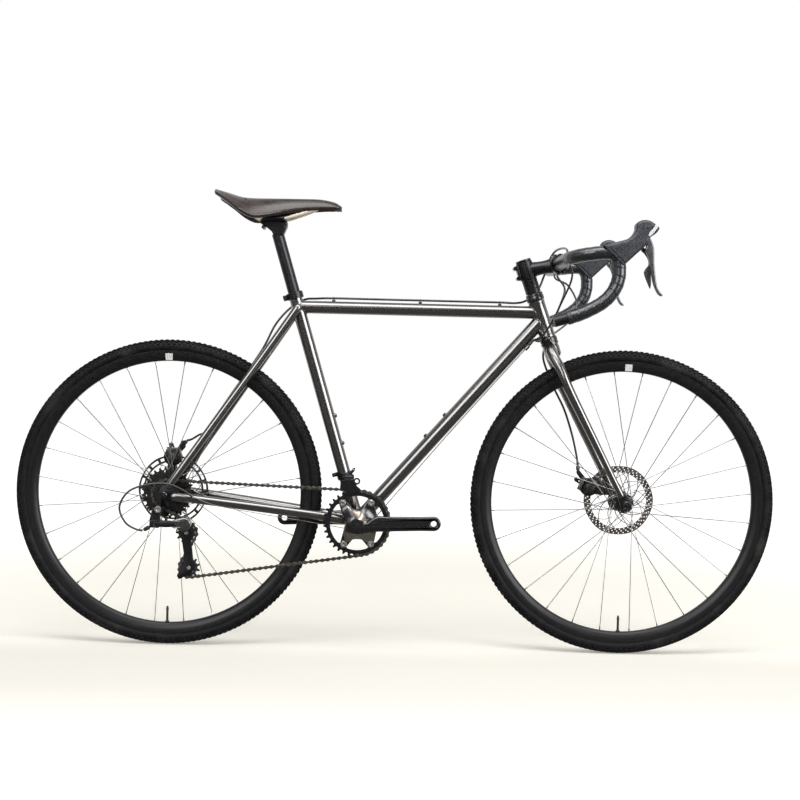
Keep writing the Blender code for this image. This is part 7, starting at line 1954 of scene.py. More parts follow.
def make_knuckle():
    """Upper knuckle: hanger bolt, boss, neck, fork for the links and the adjuster for the cable."""
    x, z = HANGER_BOLT.x, HANGER_BOLT.z
    boss_part = Shape()
    boss_part.lathe([(0.005, -0.0738), (0.0088, -0.0738), (0.0095, -0.0746), (0.0095, -0.0892),
                     (0.0088, -0.09), (0.005, -0.09)][::-1], (x, 0, z), LATERAL, 40, closed=True)
    neck = smooth_loop([(REAR.x + x, REAR.z + z) for x, z in KNUCKLE_NECK], 40)
    boss_part.plate(neck, -0.089, -0.078, (), 0.0022, 3)
    back = Vector((REAR.x - 0.0238, LINK_PIVOT.y + LINK_SPREAD / 2, LINK_PIVOT.z))
    boss_part.block((0.0084, 0.022, 0.016), back, (1, 0, 0), 0.0016)
    add_ears(boss_part, REAR.x - 0.0235, REAR.x - 0.0065)
    boss_part.piece("mech_knuckle", "frame", "black_alloy", BLACK, ["rear_mech_knuckle"])
    bolt = Shape()
    bolt.lathe([(0, -0.0915), (0.003, -0.0915), (0.0036, -0.093), (0.0066, -0.093), (0.0074, -0.092),
                (0.0074, -0.0895), (0, -0.0895)][::-1], (x, 0, z), LATERAL, 32)
    bolt.rod((x, -0.074, z), (x, -0.068, z), 0.0046, 28, chamfer=0.0004)
    bolt.piece("hanger_bolt", "frame", "bright_steel", STEEL)
    small = Shape()
    add_link_pins(small, 0)
    low = REAR + Vector((-0.0262, -0.085, -0.0679))
    out = (REAR + Vector((-0.042, -0.085, -0.0772)) - low).normalized()
    small.rod(low, low + out * 0.006, 0.003, 20, chamfer=0.0003)
    small.lathe([(0.0028, 0.004), (0.004, 0.0044), (0.0042, 0.0052), (0.0042, 0.015), (0.0034, 0.017),
                 (0.0026, 0.0178), (0, 0.0178)], low, out, 12)
    matrix = frame_along(low, out)
    for x, y in circle((0, 0), 0.0042, 10):
        small.sweep([matrix @ Vector((x, y, z)) for z in (0.0058, 0.01, 0.0145)], 0.00035, 6)
    small.piece("mech_adjuster", "frame", "black_alloy", PLASTIC, ["rear_mech_knuckle"])


def make_links():
    for label, shift in (("outer", 0.0), ("inner", LINK_SPREAD)):
        pivot = LINK_PIVOT + LATERAL * shift
        link = Shape()
        outline = smooth_loop([(-0.0045, -0.005), (0.004, -0.0062), (0.017, -0.0072), (0.03, -0.0066),
                               (LINK_LENGTH + 0.0045, -0.0048), (LINK_LENGTH + 0.0052, 0.003),
                               (LINK_LENGTH - 0.002, 0.0056), (0.023, 0.0066), (0.009, 0.0062),
                               (-0.0048, 0.0045)], 56)
        link.plate(outline, -0.0024, 0.0021, (), 0.0014, 3, Matrix.Translation(pivot))
        for place in ((0.0115, -0.002), (0.018, -0.0026)):
            link.rod(pivot + Vector((place[0], -0.003, place[1])), pivot
                     + Vector((place[0], -0.001, place[1])), 0.0016, 14, chamfer=0.0003)
        link.piece("mech_link_" + label, "rear_mech_link_" + label, "black_alloy", BLACK,
                   ["rear_mech_link_" + label])


def make_mech_body():
    """Lower knuckle: a rounded silvery barrel with ears and a chromed spring cap."""
    x, z = MECH_BODY
    shape = Shape()
    profile = [(0.0029, -0.0905), (0.0118, -0.0905), (0.0138, -0.0896), (0.0146, -0.0876), (0.0146, -0.064),
               (0.014, -0.0612), (0.0126, -0.06), (0.0029, -0.06)]
    shape.lathe(profile, (x, 0, z), LATERAL, 56, closed=True)
    hood_outline = smooth_loop([(-0.024, 0.006), (-0.0215, 0.01), (-0.01, 0.0138), (0.003, 0.015),
                                (0.013, 0.0088), (0.015, -0.001), (0.011, -0.011), (0.001, -0.0148),
                                (-0.011, -0.0118), (-0.018, -0.005)], 60)
    shape.plate(hood_outline, -0.0925, -0.085, (), 0.003, 4, Matrix.Translation((x, 0, z)))
    add_ears(shape, LINK_PIVOT.x + LINK_LENGTH - 0.0045, x - 0.006)
    shape.piece("mech_lower_knuckle", "rear_mech_body", "lever_grey", KNUCKLE, ["rear_mech_body"])
    cap = Shape()
    cap.lathe([(0, -0.059), (0.006, -0.059), (0.0092, -0.0594), (0.0106, -0.0604), (0, -0.0606)], (x, 0, z),
              LATERAL, 40)
    add_link_pins(cap, LINK_LENGTH)
    for shift in (-0.0045, 0.0045):
        spot = Vector((x - 0.015, -0.072 + shift, z - 0.0125))
        cap.rod(spot, spot + Vector((-0.003, 0, -0.003)), 0.0016, 14, chamfer=0.0003)
    cap.piece("mech_spring_cap", "rear_mech_body", "black_alloy", DARK_STEEL)


def cage_outline():
    gx, gz = GUIDE_PULLEY
    tx, tz = TENSION_PULLEY
    return rounded([*arc((gx, gz), 0.012, -10, 190, 16), (gx - 0.01, gz - 0.015), (tx - 0.0105, tz + 0.025),
                    (tx - 0.015, tz + 0.006), (tx - 0.0265, tz - 0.018), (tx - 0.0215, tz - 0.0265),
                    (tx + 0.002, tz - 0.0145), *arc((tx, tz), 0.012, -60, 20, 8), (tx + 0.0075, tz + 0.02),
                    (gx + 0.01, gz - 0.018)], 0.002, 2)


def make_mech_cage():
    cage = Shape()
    tx, tz = TENSION_PULLEY
    window = rounded([(tx - 0.006, tz + 0.019), (tx + 0.003, tz + 0.019), (tx + 0.003, tz + 0.05),
                      (tx - 0.0085, tz + 0.05)], 0.003, 3)
    for side in (-1, 1):
        y = CHAIN_Y + side * (CAGE_HALF_GAP + CAGE_PLATE_HALF)
        cage.plate(cage_outline(), y - CAGE_PLATE_HALF, y + CAGE_PLATE_HALF, [window] if side > 0 else [],
                   0.0004, 2)
    cage.rod((CAGE_PIVOT.x, CHAIN_Y - CAGE_HALF_GAP - 0.0004, CAGE_PIVOT.z),
             (CAGE_PIVOT.x, -0.0597, CAGE_PIVOT.z), 0.0078, 32, chamfer=0.0006)
    pin = Vector((tx - 0.02, 0, tz - 0.019))
    cage.rod(pin + LATERAL * (CHAIN_Y - 0.0055), pin + LATERAL * (CHAIN_Y + 0.0055), 0.002, 16,
             chamfer=0.0003)
    cage.piece("mech_cage_plates", "rear_mech_cage", "black_alloy", BLACK, ["rear_mech_cage"])
    bolts = Shape()
    for px, pz in (GUIDE_PULLEY, TENSION_PULLEY):
        bolts.rod((px, CHAIN_Y - 0.0066, pz), (px, CHAIN_Y + 0.0066, pz), 0.0026, 20, chamfer=0.0003)
        bolts.bolt((px, CHAIN_Y - CAGE_HALF_GAP - 0.0015, pz), -LATERAL, 0.004, 0.0017)
    bolts.piece("pulley_bolts", "rear_mech_cage", "bright_steel", STEEL)
    for label, (px, pz) in (("guide", GUIDE_PULLEY), ("tension", TENSION_PULLEY)):
        pulley = Shape()
        outline = toothed(PULLEY_TEETH, PULLEY_RADIUS - 0.004, PULLEY_RADIUS + 0.002)
        place = Matrix.Translation((px, CHAIN_Y, pz))
        slots = [circle(bolt_point(72 * k + 20, 0.0105), 0.0022, 14) for k in range(5)]
        pulley.plate(outline, -0.0011, 0.0011, [circle((0, 0), 0.0031, 20), *slots], 0.0003, 1, place)
        pulley.lathe([(0.0031, -0.003), (0.0062, -0.003), (0.0068, -0.0024), (0.0068, 0.0024),
                      (0.0062, 0.003), (0.0031, 0.003)], (px, CHAIN_Y, pz), LATERAL, 32, closed=True)
        pulley.piece(label + "_pulley_wheel", label + "_pulley", "black_alloy", PLASTIC,
                     [label + "_pulley"])


make_knuckle()
make_links()
make_mech_body()
make_mech_cage()

# Front derailleur

FRONT_MECH = BOTTOM_BRACKET + Vector((-0.0218, -0.0265, 0.1005))
BAND_MIDDLE = on_seat(0.1065)


def make_front_mech():
    band = Shape()
    base = on_seat(0.0995)
    band.lathe([(0.015, 0.0002), (0.0174, 0.0002), (0.018, 0.001), (0.018, 0.013), (0.0174, 0.0138),
                (0.015, 0.0138)], base, SEAT_DIRECTION, 48, closed=True)
    band.block((0.015, 0.0104, 0.009), BAND_MIDDLE + Vector((-0.0215, 0, 0.0015)), SEAT_FORWARD, 0.0014)
    band.block((0.024, 0.0062, 0.0104), FRONT_MECH + LATERAL * 0.009, (1, 0, 0), 0.0012)
    for side in (-1, 1):
        cheek = smooth_loop([(-0.0014, -0.0045), (0.0014, -0.0045), (0.0014, 0.0045), (-0.0014, 0.0045)],
                            16)
        band.plate(cheek, -0.0068, 0.0068, (), 0.0005, 1,
                   Matrix.Translation(FRONT_MECH + Vector((side * 0.0106, 0.005, 0))))
    horn = [(-0.0035, 0.003), (0.0035, 0.004), (0.012, 0.012), (0.0145, 0.019), (0.0105, 0.0205),
            (0.004, 0.012)]
    band.plate(smooth_loop(horn, 36), -0.003, 0.003, [circle((0.0112, 0.0165), 0.0012, 10)], 0.0008, 2,
               Matrix.Translation(FRONT_MECH + LATERAL * 0.011))
    band.piece("front_mech_band", "frame", "black_alloy", BLACK, ["front_mech_clamp"])
    screws = Shape()
    ear = BAND_MIDDLE + Vector((-0.024, 0, 0.0015))
    screws.rod(ear - LATERAL * 0.0075, ear + LATERAL * 0.0075, 0.0027, 20, chamfer=0.0004)
    screws.bolt(ear - LATERAL * 0.0052, -LATERAL, 0.004, 0.003)
    pin = Vector((0.0126, 0, 0))
    screws.rod(FRONT_MECH - pin, FRONT_MECH + pin, 0.0021, 20, chamfer=0.0003)
    screws.piece("front_mech_screws", "frame", "bright_steel", DARK_STEEL)
    cage = Shape()
    low, high = FRONT_MECH.z - 0.02, FRONT_MECH.z - 0.0055
    rear, nose = FRONT_MECH.x - 0.019, FRONT_MECH.x + 0.028
    for y, drop in ((RING_Y - 0.0068, 0.0), (RING_Y + 0.0068, 0.003)):
        outline = rounded([(rear + 0.001, low - 0.005 + drop), (nose - 0.025, low - 0.011 + drop),
                           (nose - 0.005, low - 0.014 + drop), (nose, low - 0.005),
                           (nose - 0.008, low + 0.001), (nose - 0.015, high - 0.003), (nose - 0.019, high),
                           (rear + 0.006, high), (rear + 0.002, high - 0.004)], 0.0024, 3)
        cage.plate(outline, y - 0.0007, y + 0.0007, (), 0.0003, 1)
    cage.block((0.02, 0.015, 0.0014), (FRONT_MECH.x - 0.004, RING_Y, high - 0.0007), (1, 0, 0), 0.0004)
    link = Vector((FRONT_MECH.x + 0.019, -0.04, FRONT_MECH.z - 0.0073))
    cage.plate(circle((0, 0), 0.0078, 32), -0.0022, 0.0022, [circle((0, 0), 0.004, 24)], 0.0008, 2,
               Matrix.Translation(link))
    cage.plate([(-0.015, -0.0035), (-0.0062, -0.0035), (-0.0062, 0.003), (-0.015, 0.003)], -0.0018, 0.0018,
               (), 0.0006, 1, Matrix.Translation(link))
    cage.block((0.0165, 0.02, 0.0042), (FRONT_MECH.x, -0.0365, high + 0.0015), (1, 0, 0), 0.001)
    barrel = Vector((0.0085, 0, 0))
    cage.rod(FRONT_MECH - barrel, FRONT_MECH + barrel, 0.0046, 24, chamfer=0.0006)
    cage.piece("front_mech_plates", "front_mech_cage", "black_alloy", BLACK, ["front_mech_cage"])


make_front_mech()

# Axles and quick releases

# Directions in which the closed quick release levers point
QR_POINTS = {"front": (-0.45, 0, 1), "rear": (0.72, 0, 1)}
AXLE_FACES = {"front": 0.0563, "rear": 0.0738}


def make_axles():
    for label, hub in HUBS.items():
        body = "steering" if label == "front" else "frame"
        face = AXLE_FACES[label]
        ends = Shape()
        ends.lathe([(0.003, 0.0108), (0.0062, 0.011), (0.0076, 0.01), (0.008, 0.0078), (0.0088, 0.003),
                    (0.0094, 0.0016), (0.0094, 0.0004), (0, 0.0004)], hub - LATERAL * face, -LATERAL, 40)
        ends.lathe([(0, 0.0002), (0.0092, 0.0002), (0.0095, 0.001), (0.0095, 0.006), (0.0088, 0.0092),
                    (0.0075, 0.01), (0, 0.01)], hub + LATERAL * face, LATERAL, 40)
        for turn in turns(18):
            spot = hub + around(0.0091, turn, -face - 0.0022)
            ends.block((0.001, 0.0034, 0.0014), spot, around(1, turn), 0.0002)
        ends.piece(label + "_axle_ends", body, "hub_black", GLOSS, [label + "_axle"])
        shaft = Shape().rod(hub - LATERAL * (face + 0.013), hub + LATERAL * (face + 0.006), 0.0025, 24,
                            chamfer=0.0005)
        shaft.rod(hub - LATERAL * face, hub + LATERAL * face, 0.0049, 28, chamfer=0.0004)
        shaft.piece(label + "_skewer", body, "bright_steel", DARK_STEEL, [label + "_axle"])
        pivot = hub + LATERAL * (face + 0.0163)
        along = Vector(QR_POINTS[label]).normalized()
        across = Vector((along.z, 0, -along.x))
        lever = Shape()
        lever.rod(pivot - across * 0.008, pivot + across * 0.008, 0.006, 32, chamfer=0.001)
        spine = [pivot + along * 0.003, pivot + along * 0.018 + LATERAL * 0.002,
                 pivot + along * 0.036 - LATERAL * 0.001, pivot + along * 0.052 + LATERAL * 0.001]
        lever.sweep(smooth(spine, 40), 0.0048, 28, spread((0.85, 0.75, 0.8, 0.95, 1.08, 1.12, 1.0, 0.55),
                                                          40), flat=0.55)
        lever.piece(label + "_release_lever", label + "_qr_lever", "hub_black", GLOSS,
                    [label + "_qr_lever"])


make_axles()

# Disc brake callipers

# Degrees of the calliper and of its arm round the hub, the rotor's y and the body
CALIPERS = {
    "front": (157.0, 151.0, 0.0395, "steering"),
    "rear": (91.0, 110.0, 0.052, "frame"),
}
CALIPER_RADIUS = 0.073
ARM_Y = 0.0263
CALIPER_FEET = {
    "front": (((0.45, 0.356), (0.48, 0.356), (0.474, 0.38), (0.466, 0.396), (0.45, 0.396)),
              0.0425, 0.0492),
    "rear": (((-0.526, 0.386), (-0.508, 0.386), (-0.508, 0.412), (-0.526, 0.412)), 0.056, 0.0672),
}
CABLE_STOPS = {
    "front": ((0.417, 0.4085), (0.4245, 0.4085), (0.444, 0.386), (0.433, 0.38), (0.417, 0.402)),
    "rear": ((-0.4985, 0.456), (-0.489, 0.456), (-0.489, 0.44), (-0.5, 0.428), (-0.51, 0.434)),
}
STOP_ENDS = {
    "front": (Vector((0.4206, 0.0678, 0.42)), Vector((0.4212, 0.0679, 0.4085))),
    "rear": (Vector((-0.4875, 0.0803, 0.4556)), Vector((-0.4945, 0.0806, 0.4465))),
}


def make_callipers():
    for label, (degrees, arm_degrees, rotor_y, body) in CALIPERS.items():
        hub = HUBS[label]
        out = around(1, math.radians(degrees))
        centre = hub + LATERAL * rotor_y + out * CALIPER_RADIUS
        tangent = Vector((-out.z, 0, out.x))
        shell = Shape()
        slot = 0.0018
        for low, high in ((-0.0125, -slot), (slot, 0.02)):
            block_y = (low + high) / 2
            shell.block((0.034, high - low, 0.033), centre + out * 0.006 + LATERAL * block_y, out, 0.005)
        shell.block((0.012, 0.0325, 0.033), centre + out * 0.0165 + LATERAL * 0.00375, out, 0.0045)
        shell.lathe([(0, -0.0128), (0.008, -0.0128), (0.0105, -0.0116), (0.0185, -0.0112),
                     (0.0208, -0.0098), (0.0212, -0.006), (0, -0.006)], centre + out * 0.003, LATERAL, 56)
        shell.lathe([(0, 0.015), (0.0165, 0.015), (0.0165, 0.0215), (0.0155, 0.0235), (0.0146, 0.0258),
                     (0, 0.026)], centre, LATERAL, 48)
        outline, low, high = CALIPER_FEET[label]
        shell.plate(rounded(outline, 0.0035, 3), low, high, (), 0.0008, 2)
        stop_y = centre.y + ARM_Y
        shell.plate(rounded(CABLE_STOPS[label], 0.0018, 2), stop_y - 0.0045, stop_y - 0.0005, (), 0.0006, 2)
        shell.piece(label + "_calliper_shell", body, "black_alloy", CALIPER_BLACK, [label + "_caliper"])
        details = Shape()
        knob = centre - LATERAL * 0.012
        details.lathe([(0, 0.003), (0.008, 0.003), (0.01, 0.0024), (0.0106, 0.0012), (0.0106, 0), (0, 0)],
                      knob, -LATERAL, 36)
        for angle in turns(14):
            spot = knob + tangent * (0.0102 * math.cos(angle)) + out * (0.0102 * math.sin(angle))
            spot -= LATERAL * 0.0012
            details.block((0.0012, 0.0024, 0.0018), spot, tangent, 0.0003)
        top = centre + out * 0.0225
        for along in (-0.0125, 0.0125):
            details.bolt(top + tangent * along - LATERAL * 0.0022, out, 0.0033, 0.0022)
            details.bolt(centre + out * 0.006 + tangent * along * 1.1 - LATERAL * 0.0124, -LATERAL, 0.0027,
                         0.0016)
        start, end = STOP_ENDS[label]
        back = (start - end).normalized()
        details.lathe([(0.0012, -0.0005), (0.0036, -0.0005), (0.0038, 0.002), (0.0046, 0.0024),
                       (0.0046, 0.0095), (0.004, 0.0105), (0.0012, 0.011)], end, back, 14)
        details.piece(label + "_calliper_details", body, "black_alloy", DARK_STEEL, [label + "_caliper"])
        make_arm(label, centre, math.radians(arm_degrees))


def make_arm(label, centre, turn):
    """Arm that the cable pulls, with its return spring, its pinch bolt and the shaft's nut."""
    origin = centre + LATERAL * ARM_Y
    along = around(1, turn)
    matrix = Matrix((along, LATERAL, Vector((-along.z, 0, along.x)))).transposed().to_4x4()
    matrix.translation = origin
    arm = Shape()
    outline = [*arc((0, 0), 0.01, 62, 298, 24), (0.015, -0.0056), *arc((0.03, 0), 0.0055, -80, 80, 10),
               (0.015, 0.0056)]
    arm.plate(outline, 0.0, 0.004, [circle((0.023, 0), 0.0016, 12)], 0.0008, 2, matrix)
    arm.piece(label + "_calliper_lever", label + "_caliper_arm", "black_alloy", CALIPER_BLACK,
              [label + "_caliper_arm"])
    small = Shape()
    small.bolt(origin + LATERAL * 0.004, LATERAL, 0.0056, 0.0022)
    tip = origin + along * 0.03
    small.bolt(tip + LATERAL * 0.004, LATERAL, 0.0034, 0.0022)
    small.piece(label + "_calliper_pinch", label + "_caliper_arm", "bright_steel", DARK_STEEL)
    spring = Shape()
    steps = [step / 48 for step in range(49)]
    coil = [centre + around(0.0172, 4 * math.pi * share, 0.0215 + 0.004 * share) for share in steps]
    spring.sweep(coil, 0.0007, 8)
    spring.piece(label + "_calliper_spring", CALIPERS[label][3], "bright_steel", DARK_STEEL)


make_callipers()

# Cables

SHIFT_RADIUS = 0.0022
WIRE_RADIUS = 0.0009 * 0.8
WIRE_SPREAD = 0.007
GUIDE_DROP = 0.0222
GUIDE_X = 0.004
REAR_BRAKE_POINTS = (
    (0.3588, -0.09, 0.892), (0.3612, -0.084, 0.9), (0.361, -0.068, 0.9065), (0.3585, -0.04, 0.911),
    (0.354, -0.01, 0.912), (0.348, 0.02, 0.909), (0.341, 0.037, 0.897), (0.335, 0.04, 0.88),
    (0.327, 0.037, 0.856), (0.311, 0.032, 0.818), (0.285, 0.023, 0.796), (0.26, 0.008, 0.789),
    (0.2233, 0.0, 0.7892), (0.1336, 0.0, 0.7892), (0.0438, 0.0, 0.7892), (-0.0537, 0.0, 0.7892),
    (-0.1511, 0.0, 0.7892), (-0.19, 0.012, 0.7882), (-0.218, 0.026, 0.786), (-0.248, 0.034, 0.769),
    (-0.283, 0.033, 0.729), (-0.3154, 0.033, 0.6654), (-0.3843, 0.048, 0.5644), (-0.4391, 0.064, 0.484),
    (-0.46, 0.074, 0.469), (-0.477, 0.0797, 0.4585), (-0.4875, 0.0803, 0.4556),
)
FRONT_BRAKE_POINTS = (
    (0.358, 0.07, 0.8647), (0.3635, 0.07, 0.852), (0.379, 0.068, 0.825), (0.362, 0.052, 0.775),
    (0.346, 0.047, 0.73), (0.335, 0.048, 0.698), (0.331, 0.049, 0.667), (0.344, 0.053, 0.63),
    (0.362, 0.058, 0.592), (0.3847, 0.062, 0.5483), (0.404, 0.065, 0.493), (0.4162, 0.0672, 0.445),
    (0.4206, 0.0678, 0.42),
)
SHIFT_POINTS = {
    -1: ((0.364, -0.105, 0.869), (0.369, -0.105, 0.858), (0.3702, -0.104, 0.844), (0.3655, -0.099, 0.824),
         (0.35, -0.084, 0.785), (0.336, -0.06, 0.748), (0.316, -0.034, 0.713)),
    1: ((0.3582, 0.105, 0.8642), (0.3635, 0.1052, 0.852), (0.392, 0.108, 0.838), (0.412, 0.1, 0.798),
        (0.398, 0.078, 0.76), (0.362, 0.052, 0.729), (0.324, 0.028, 0.707)),
}
REAR_LOOP_POINTS = (
    (-0.448, -0.0825, 0.343), (-0.47, -0.0845, 0.357), (-0.505, -0.086, 0.37),
    (-0.5519, -0.0865, 0.3662), (-0.5888, -0.0865, 0.35), (-0.6067, -0.086, 0.3166),
    (-0.5941, -0.0855, 0.2839), (-0.572, -0.085, 0.2695), (-0.5552, -0.085, 0.266),
)


# Where the housings leave the bar and where the rear brake's meets the top tube
BRAKE_LEAVES = (0.335, 0.04, 0.88)
BRAKE_MEETS = (0.26, 0.008, 0.789)
SHIFT_LEAVES = {-1: (0.365, -0.0985, 0.823), 1: (0.412, 0.1, 0.798)}


def nearest(points, place):
    return min(range(len(points)), key=lambda i: (points[i] - Vector(place)).length)


def housing_piece(name, points, radius, body, other=None, nodes=()):
    """Stretch of housing on one body, or on no body where it runs from one body to the other."""
    shape = Shape().sweep(points, radius, 20)
    if other is None:
        return shape.piece(name, body, "cable_housing", HOUSING, nodes)
    made = shape.piece(name, None, "cable_housing", HOUSING, nodes)
    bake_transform(made)
    return made


def ferrule(shape, end, ahead, radius, length=0.009):
    """Metal cap pushed over a housing's end."""
    back = (Vector(ahead) - Vector(end)).normalized()
    shape.lathe([(0.0012, 0), (radius, 0), (radius + 0.0004, 0.0006), (radius + 0.0004, length - 0.001),
                 (radius - 0.0001, length), (0.0012, length)], end, back, 24)


def make_cables():
    caps = Shape()
    fork_caps = Shape()
    rear = smooth(REAR_BRAKE_POINTS, 620)
    first = nearest(rear, BRAKE_LEAVES)
    last = nearest(rear, BRAKE_MEETS)
    node = ["rear_brake_housing"]
    housing_piece("rear_brake_housing_bar", rear[:first + 1], HOUSING_RADIUS, "steering", None, node)
    housing_piece("rear_brake_housing_loop", rear[first:last + 1], HOUSING_RADIUS, "steering", "frame",
                  node)
    housing_piece("rear_brake_housing_tube", rear[last:], HOUSING_RADIUS, "frame", None, node)
    ferrule(caps, rear[-1], rear[-6], HOUSING_RADIUS)
    front = smooth(FRONT_BRAKE_POINTS, 320)
    housing_piece("front_brake_housing", front, HOUSING_RADIUS, "steering", None, ["front_brake_cable"])
    ferrule(fork_caps, front[-1], front[-6], HOUSING_RADIUS)
    for side, label in SIDES:
        y = side * WIRE_SPREAD
        tail = [down_point(0.571, 0.0186, y * 1.1), down_point(0.5533, 0.018, y)]
        points = smooth([*SHIFT_POINTS[side], *tail], 260)
        leave = nearest(points, SHIFT_LEAVES[side])
        arrive = nearest(points, SHIFT_POINTS[side][-1])
        node = ["shift_cables"]
        housing_piece("shift_housing_bar_" + label, points[:leave + 1], SHIFT_RADIUS, "steering", None,
                      node)
        housing_piece("shift_housing_loop_" + label, points[leave:arrive + 1], SHIFT_RADIUS, "steering",
                      "frame", node)
        housing_piece("shift_housing_end_" + label, points[arrive:], SHIFT_RADIUS, "frame", None, node)
        ferrule(caps, points[-1], points[-5], SHIFT_RADIUS, 0.011)
        barrel = points[arrive + 8]
        along = (points[arrive + 12] - barrel).normalized()
        caps.lathe([(0.002, 0), (0.0034, 0), (0.004, 0.0008), (0.004, 0.008), (0.0033, 0.009),
                    (0.0033, 0.013), (0.002, 0.013)], barrel, along, 18)
    wires = Shape()
    for side in (-1, 1):
        y = side * WIRE_SPREAD
        run = [down_point(0.555, 0.018, y), down_point(0.3, 0.019, y),
               down_point(0.035, SHELL_RADIUS + 0.005, y * 0.8), BOTTOM_BRACKET
               + Vector((0.0175, y * 0.75, -0.0152)), BOTTOM_BRACKET
               + Vector((GUIDE_X, y * 0.7, -GUIDE_DROP))]
        wires.sweep(smooth(run, 90), WIRE_RADIUS, 10)
    to_rear = [BOTTOM_BRACKET + Vector((GUIDE_X, -0.0049, -GUIDE_DROP)),
               BOTTOM_BRACKET + Vector((-0.0388, -0.014, -0.0145)), (-0.2, -0.033, 0.288),
               (-0.3, -0.052, 0.3045), (-0.4, -0.0735, 0.324), (-0.45, -0.083, 0.344)]
    wires.sweep(smooth(to_rear, 90), WIRE_RADIUS, 10)
    to_front_mech = [BOTTOM_BRACKET + Vector((GUIDE_X, 0.0049, -GUIDE_DROP)), (-0.1, 0.002, 0.264),
                     (-0.111, -0.003, 0.28), (-0.115, -0.008, 0.305), (-0.116, -0.015, 0.335),
                     (-0.115, -0.0205, 0.36), (-0.113, -0.0225, 0.3795)]
    wires.sweep(smooth(to_front_mech, 60), WIRE_RADIUS, 10)
    wires.piece("shift_wires", "frame", "cable_housing", WIRE, ["shift_cables"])
    loop = smooth(REAR_LOOP_POINTS, 160)
    housing_piece("rear_mech_housing", loop, SHIFT_RADIUS, "frame", None, ["shift_cables"])
    ferrule(caps, loop[0], loop[5], SHIFT_RADIUS)
    ferrule(caps, loop[-1], loop[-6], SHIFT_RADIUS)
    caps.piece("housing_ferrules", "frame", "bright_steel", DARK_STEEL)
    fork_caps.piece("fork_ferrule", "steering", "bright_steel", DARK_STEEL)
    guide = Shape()
    outline = rounded([(-0.008, -0.004), (0.008, -0.004), (0.008, 0.0012), (0.004, 0.0026),
                       (-0.004, 0.0026), (-0.008, 0.0012)], 0.0014, 2)
    guide.plate(outline, -0.011, 0.011, (), 0.0008, 2,
                Matrix.Translation(BOTTOM_BRACKET + Vector((GUIDE_X, 0, -SHELL_RADIUS - 0.0022))))
    guide.bolt(BOTTOM_BRACKET + Vector((GUIDE_X, 0, -SHELL_RADIUS - 0.0058)), (0, 0, -1), 0.003, 0.0018)
    guide.piece("cable_guide", "frame", "cable_housing", PLASTIC, ["shift_cables"])


make_cables()

# Floor, backdrop and light

# Brightness of floor and backdrop, as the camera and the mirrors see them
FLOOR_GLOW_NEAR = 0.37
FLOOR_GLOW_FAR = 0.8
FRONT_GLOW = 0.36
WORLD_LIGHT = 0.4
DARK_SIDE = 0.12
FLOOR_NEAR = (0.86, 0.835, 0.765, 1)
FLOOR_FAR = (0.88, 0.88, 0.88, 1)
# Colour of the floor in front of the bicycle as mirrors see it: painted shade in the reflections.
FLOOR_MIRRORED_SHADE = (0.06, 0.057, 0.052, 1)
FLOOR_SIZE = 9.0
# Bright panels that the glossy surfaces mirror: direction, inner and outer half angle, strength
PANELS = (
    ((-0.36, -0.84, 0.42), 12, 20, 6.5),
    ((0.74, -0.63, 0.22), 13, 23, 7.0),
    ((0.1, -0.5, 0.86), 14, 26, 4.5),
)


def math_node(tree, operation, first, second):
    made = add_node(tree, "Math")
    made.operation = operation
    for socket, value in zip(made.inputs, (first, second)):
        feed(tree, socket, value)
    return made.outputs["Value"]


def ramp_node(tree, value, low, high, to_low, to_high):
    """Smooth step of value from to_low at low to to_high at high."""
    made = add_node(tree, "MapRange", Value=value, From_Min=low, From_Max=high, To_Min=to_low,
                    To_Max=to_high)
    made.interpolation_type = "SMOOTHSTEP"
    return made.outputs["Result"]


def make_floor():
    """Pale floor that takes the shadow and brightens to white away from the bicycle; to mirrors it is
    painted dark in front of the bicycle, as shade in their reflections.
    """
    made, tree, shader = new_material("floor_white")
    feed(tree, shader.inputs["Roughness"], 0.9)
    feed(tree, shader.inputs["Specular IOR Level"], 0.1)
    place = add_node(tree, "TexCoord").outputs["Object"]
    y = add_node(tree, "SeparateXYZ", Vector=place).outputs["Y"]
    length = add_node(tree, "VectorMath", Vector=place)
    length.operation = "LENGTH"
    reach = length.outputs["Value"]
    rays = add_node(tree, "LightPath").outputs
    tint = mix_colours(tree, ramp_node(tree, reach, 1.0, 3.6, 0.0, 1.0), FLOOR_NEAR, FLOOR_FAR)
    behind = ramp_node(tree, y, -0.4, 0.8, DARK_SIDE, 1.0)
    mirrored = math_node(tree, "MULTIPLY", rays["Is Glossy Ray"], behind)
    direct = math_node(tree, "SUBTRACT", 1.0, rays["Is Glossy Ray"])
    lit = math_node(tree, "ADD", direct, mirrored)
    feed(tree, shader.inputs["Base Color"], mix_colours(tree, lit, FLOOR_MIRRORED_SHADE, tint))
    clear = math_node(tree, "MAXIMUM", rays["Is Camera Ray"], rays["Is Transmission Ray"])
    seen = math_node(tree, "MAXIMUM", clear, mirrored)
    level = ramp_node(tree, reach, 0.9, 2.6, FLOOR_GLOW_NEAR, FLOOR_GLOW_FAR)
    nearer = ramp_node(tree, y, -0.15, 0.1, FRONT_GLOW, 1.0)
    edge = ramp_node(tree, y, -0.8, -0.35, 1.1, FRONT_GLOW)
    level = math_node(tree, "MULTIPLY", level, math_node(tree, "MAXIMUM", nearer, edge))
    glow = add_node(tree, "Emission", Color=tint, Strength=math_node(tree, "MULTIPLY", seen, level))
    added = add_node(tree, "AddShader")
    tree.links.new(shader.outputs["BSDF"], added.inputs[0])
    tree.links.new(glow.outputs["Emission"], added.inputs[1])
    tree.links.new(added.outputs["Shader"], tree.nodes["Material Output"].inputs["Surface"])
    mesh = bpy.data.meshes.new("floor")
    corners = [(x * FLOOR_SIZE, y * FLOOR_SIZE, 0) for x, y in ((-1, -1), (1, -1), (1, 1), (-1, 1))]
    mesh.from_pydata(corners, [], [(0, 1, 2, 3)])
    mesh.materials.append(made)
    floor = bpy.data.objects.new("floor", mesh)
    bpy.context.scene.collection.objects.link(floor)


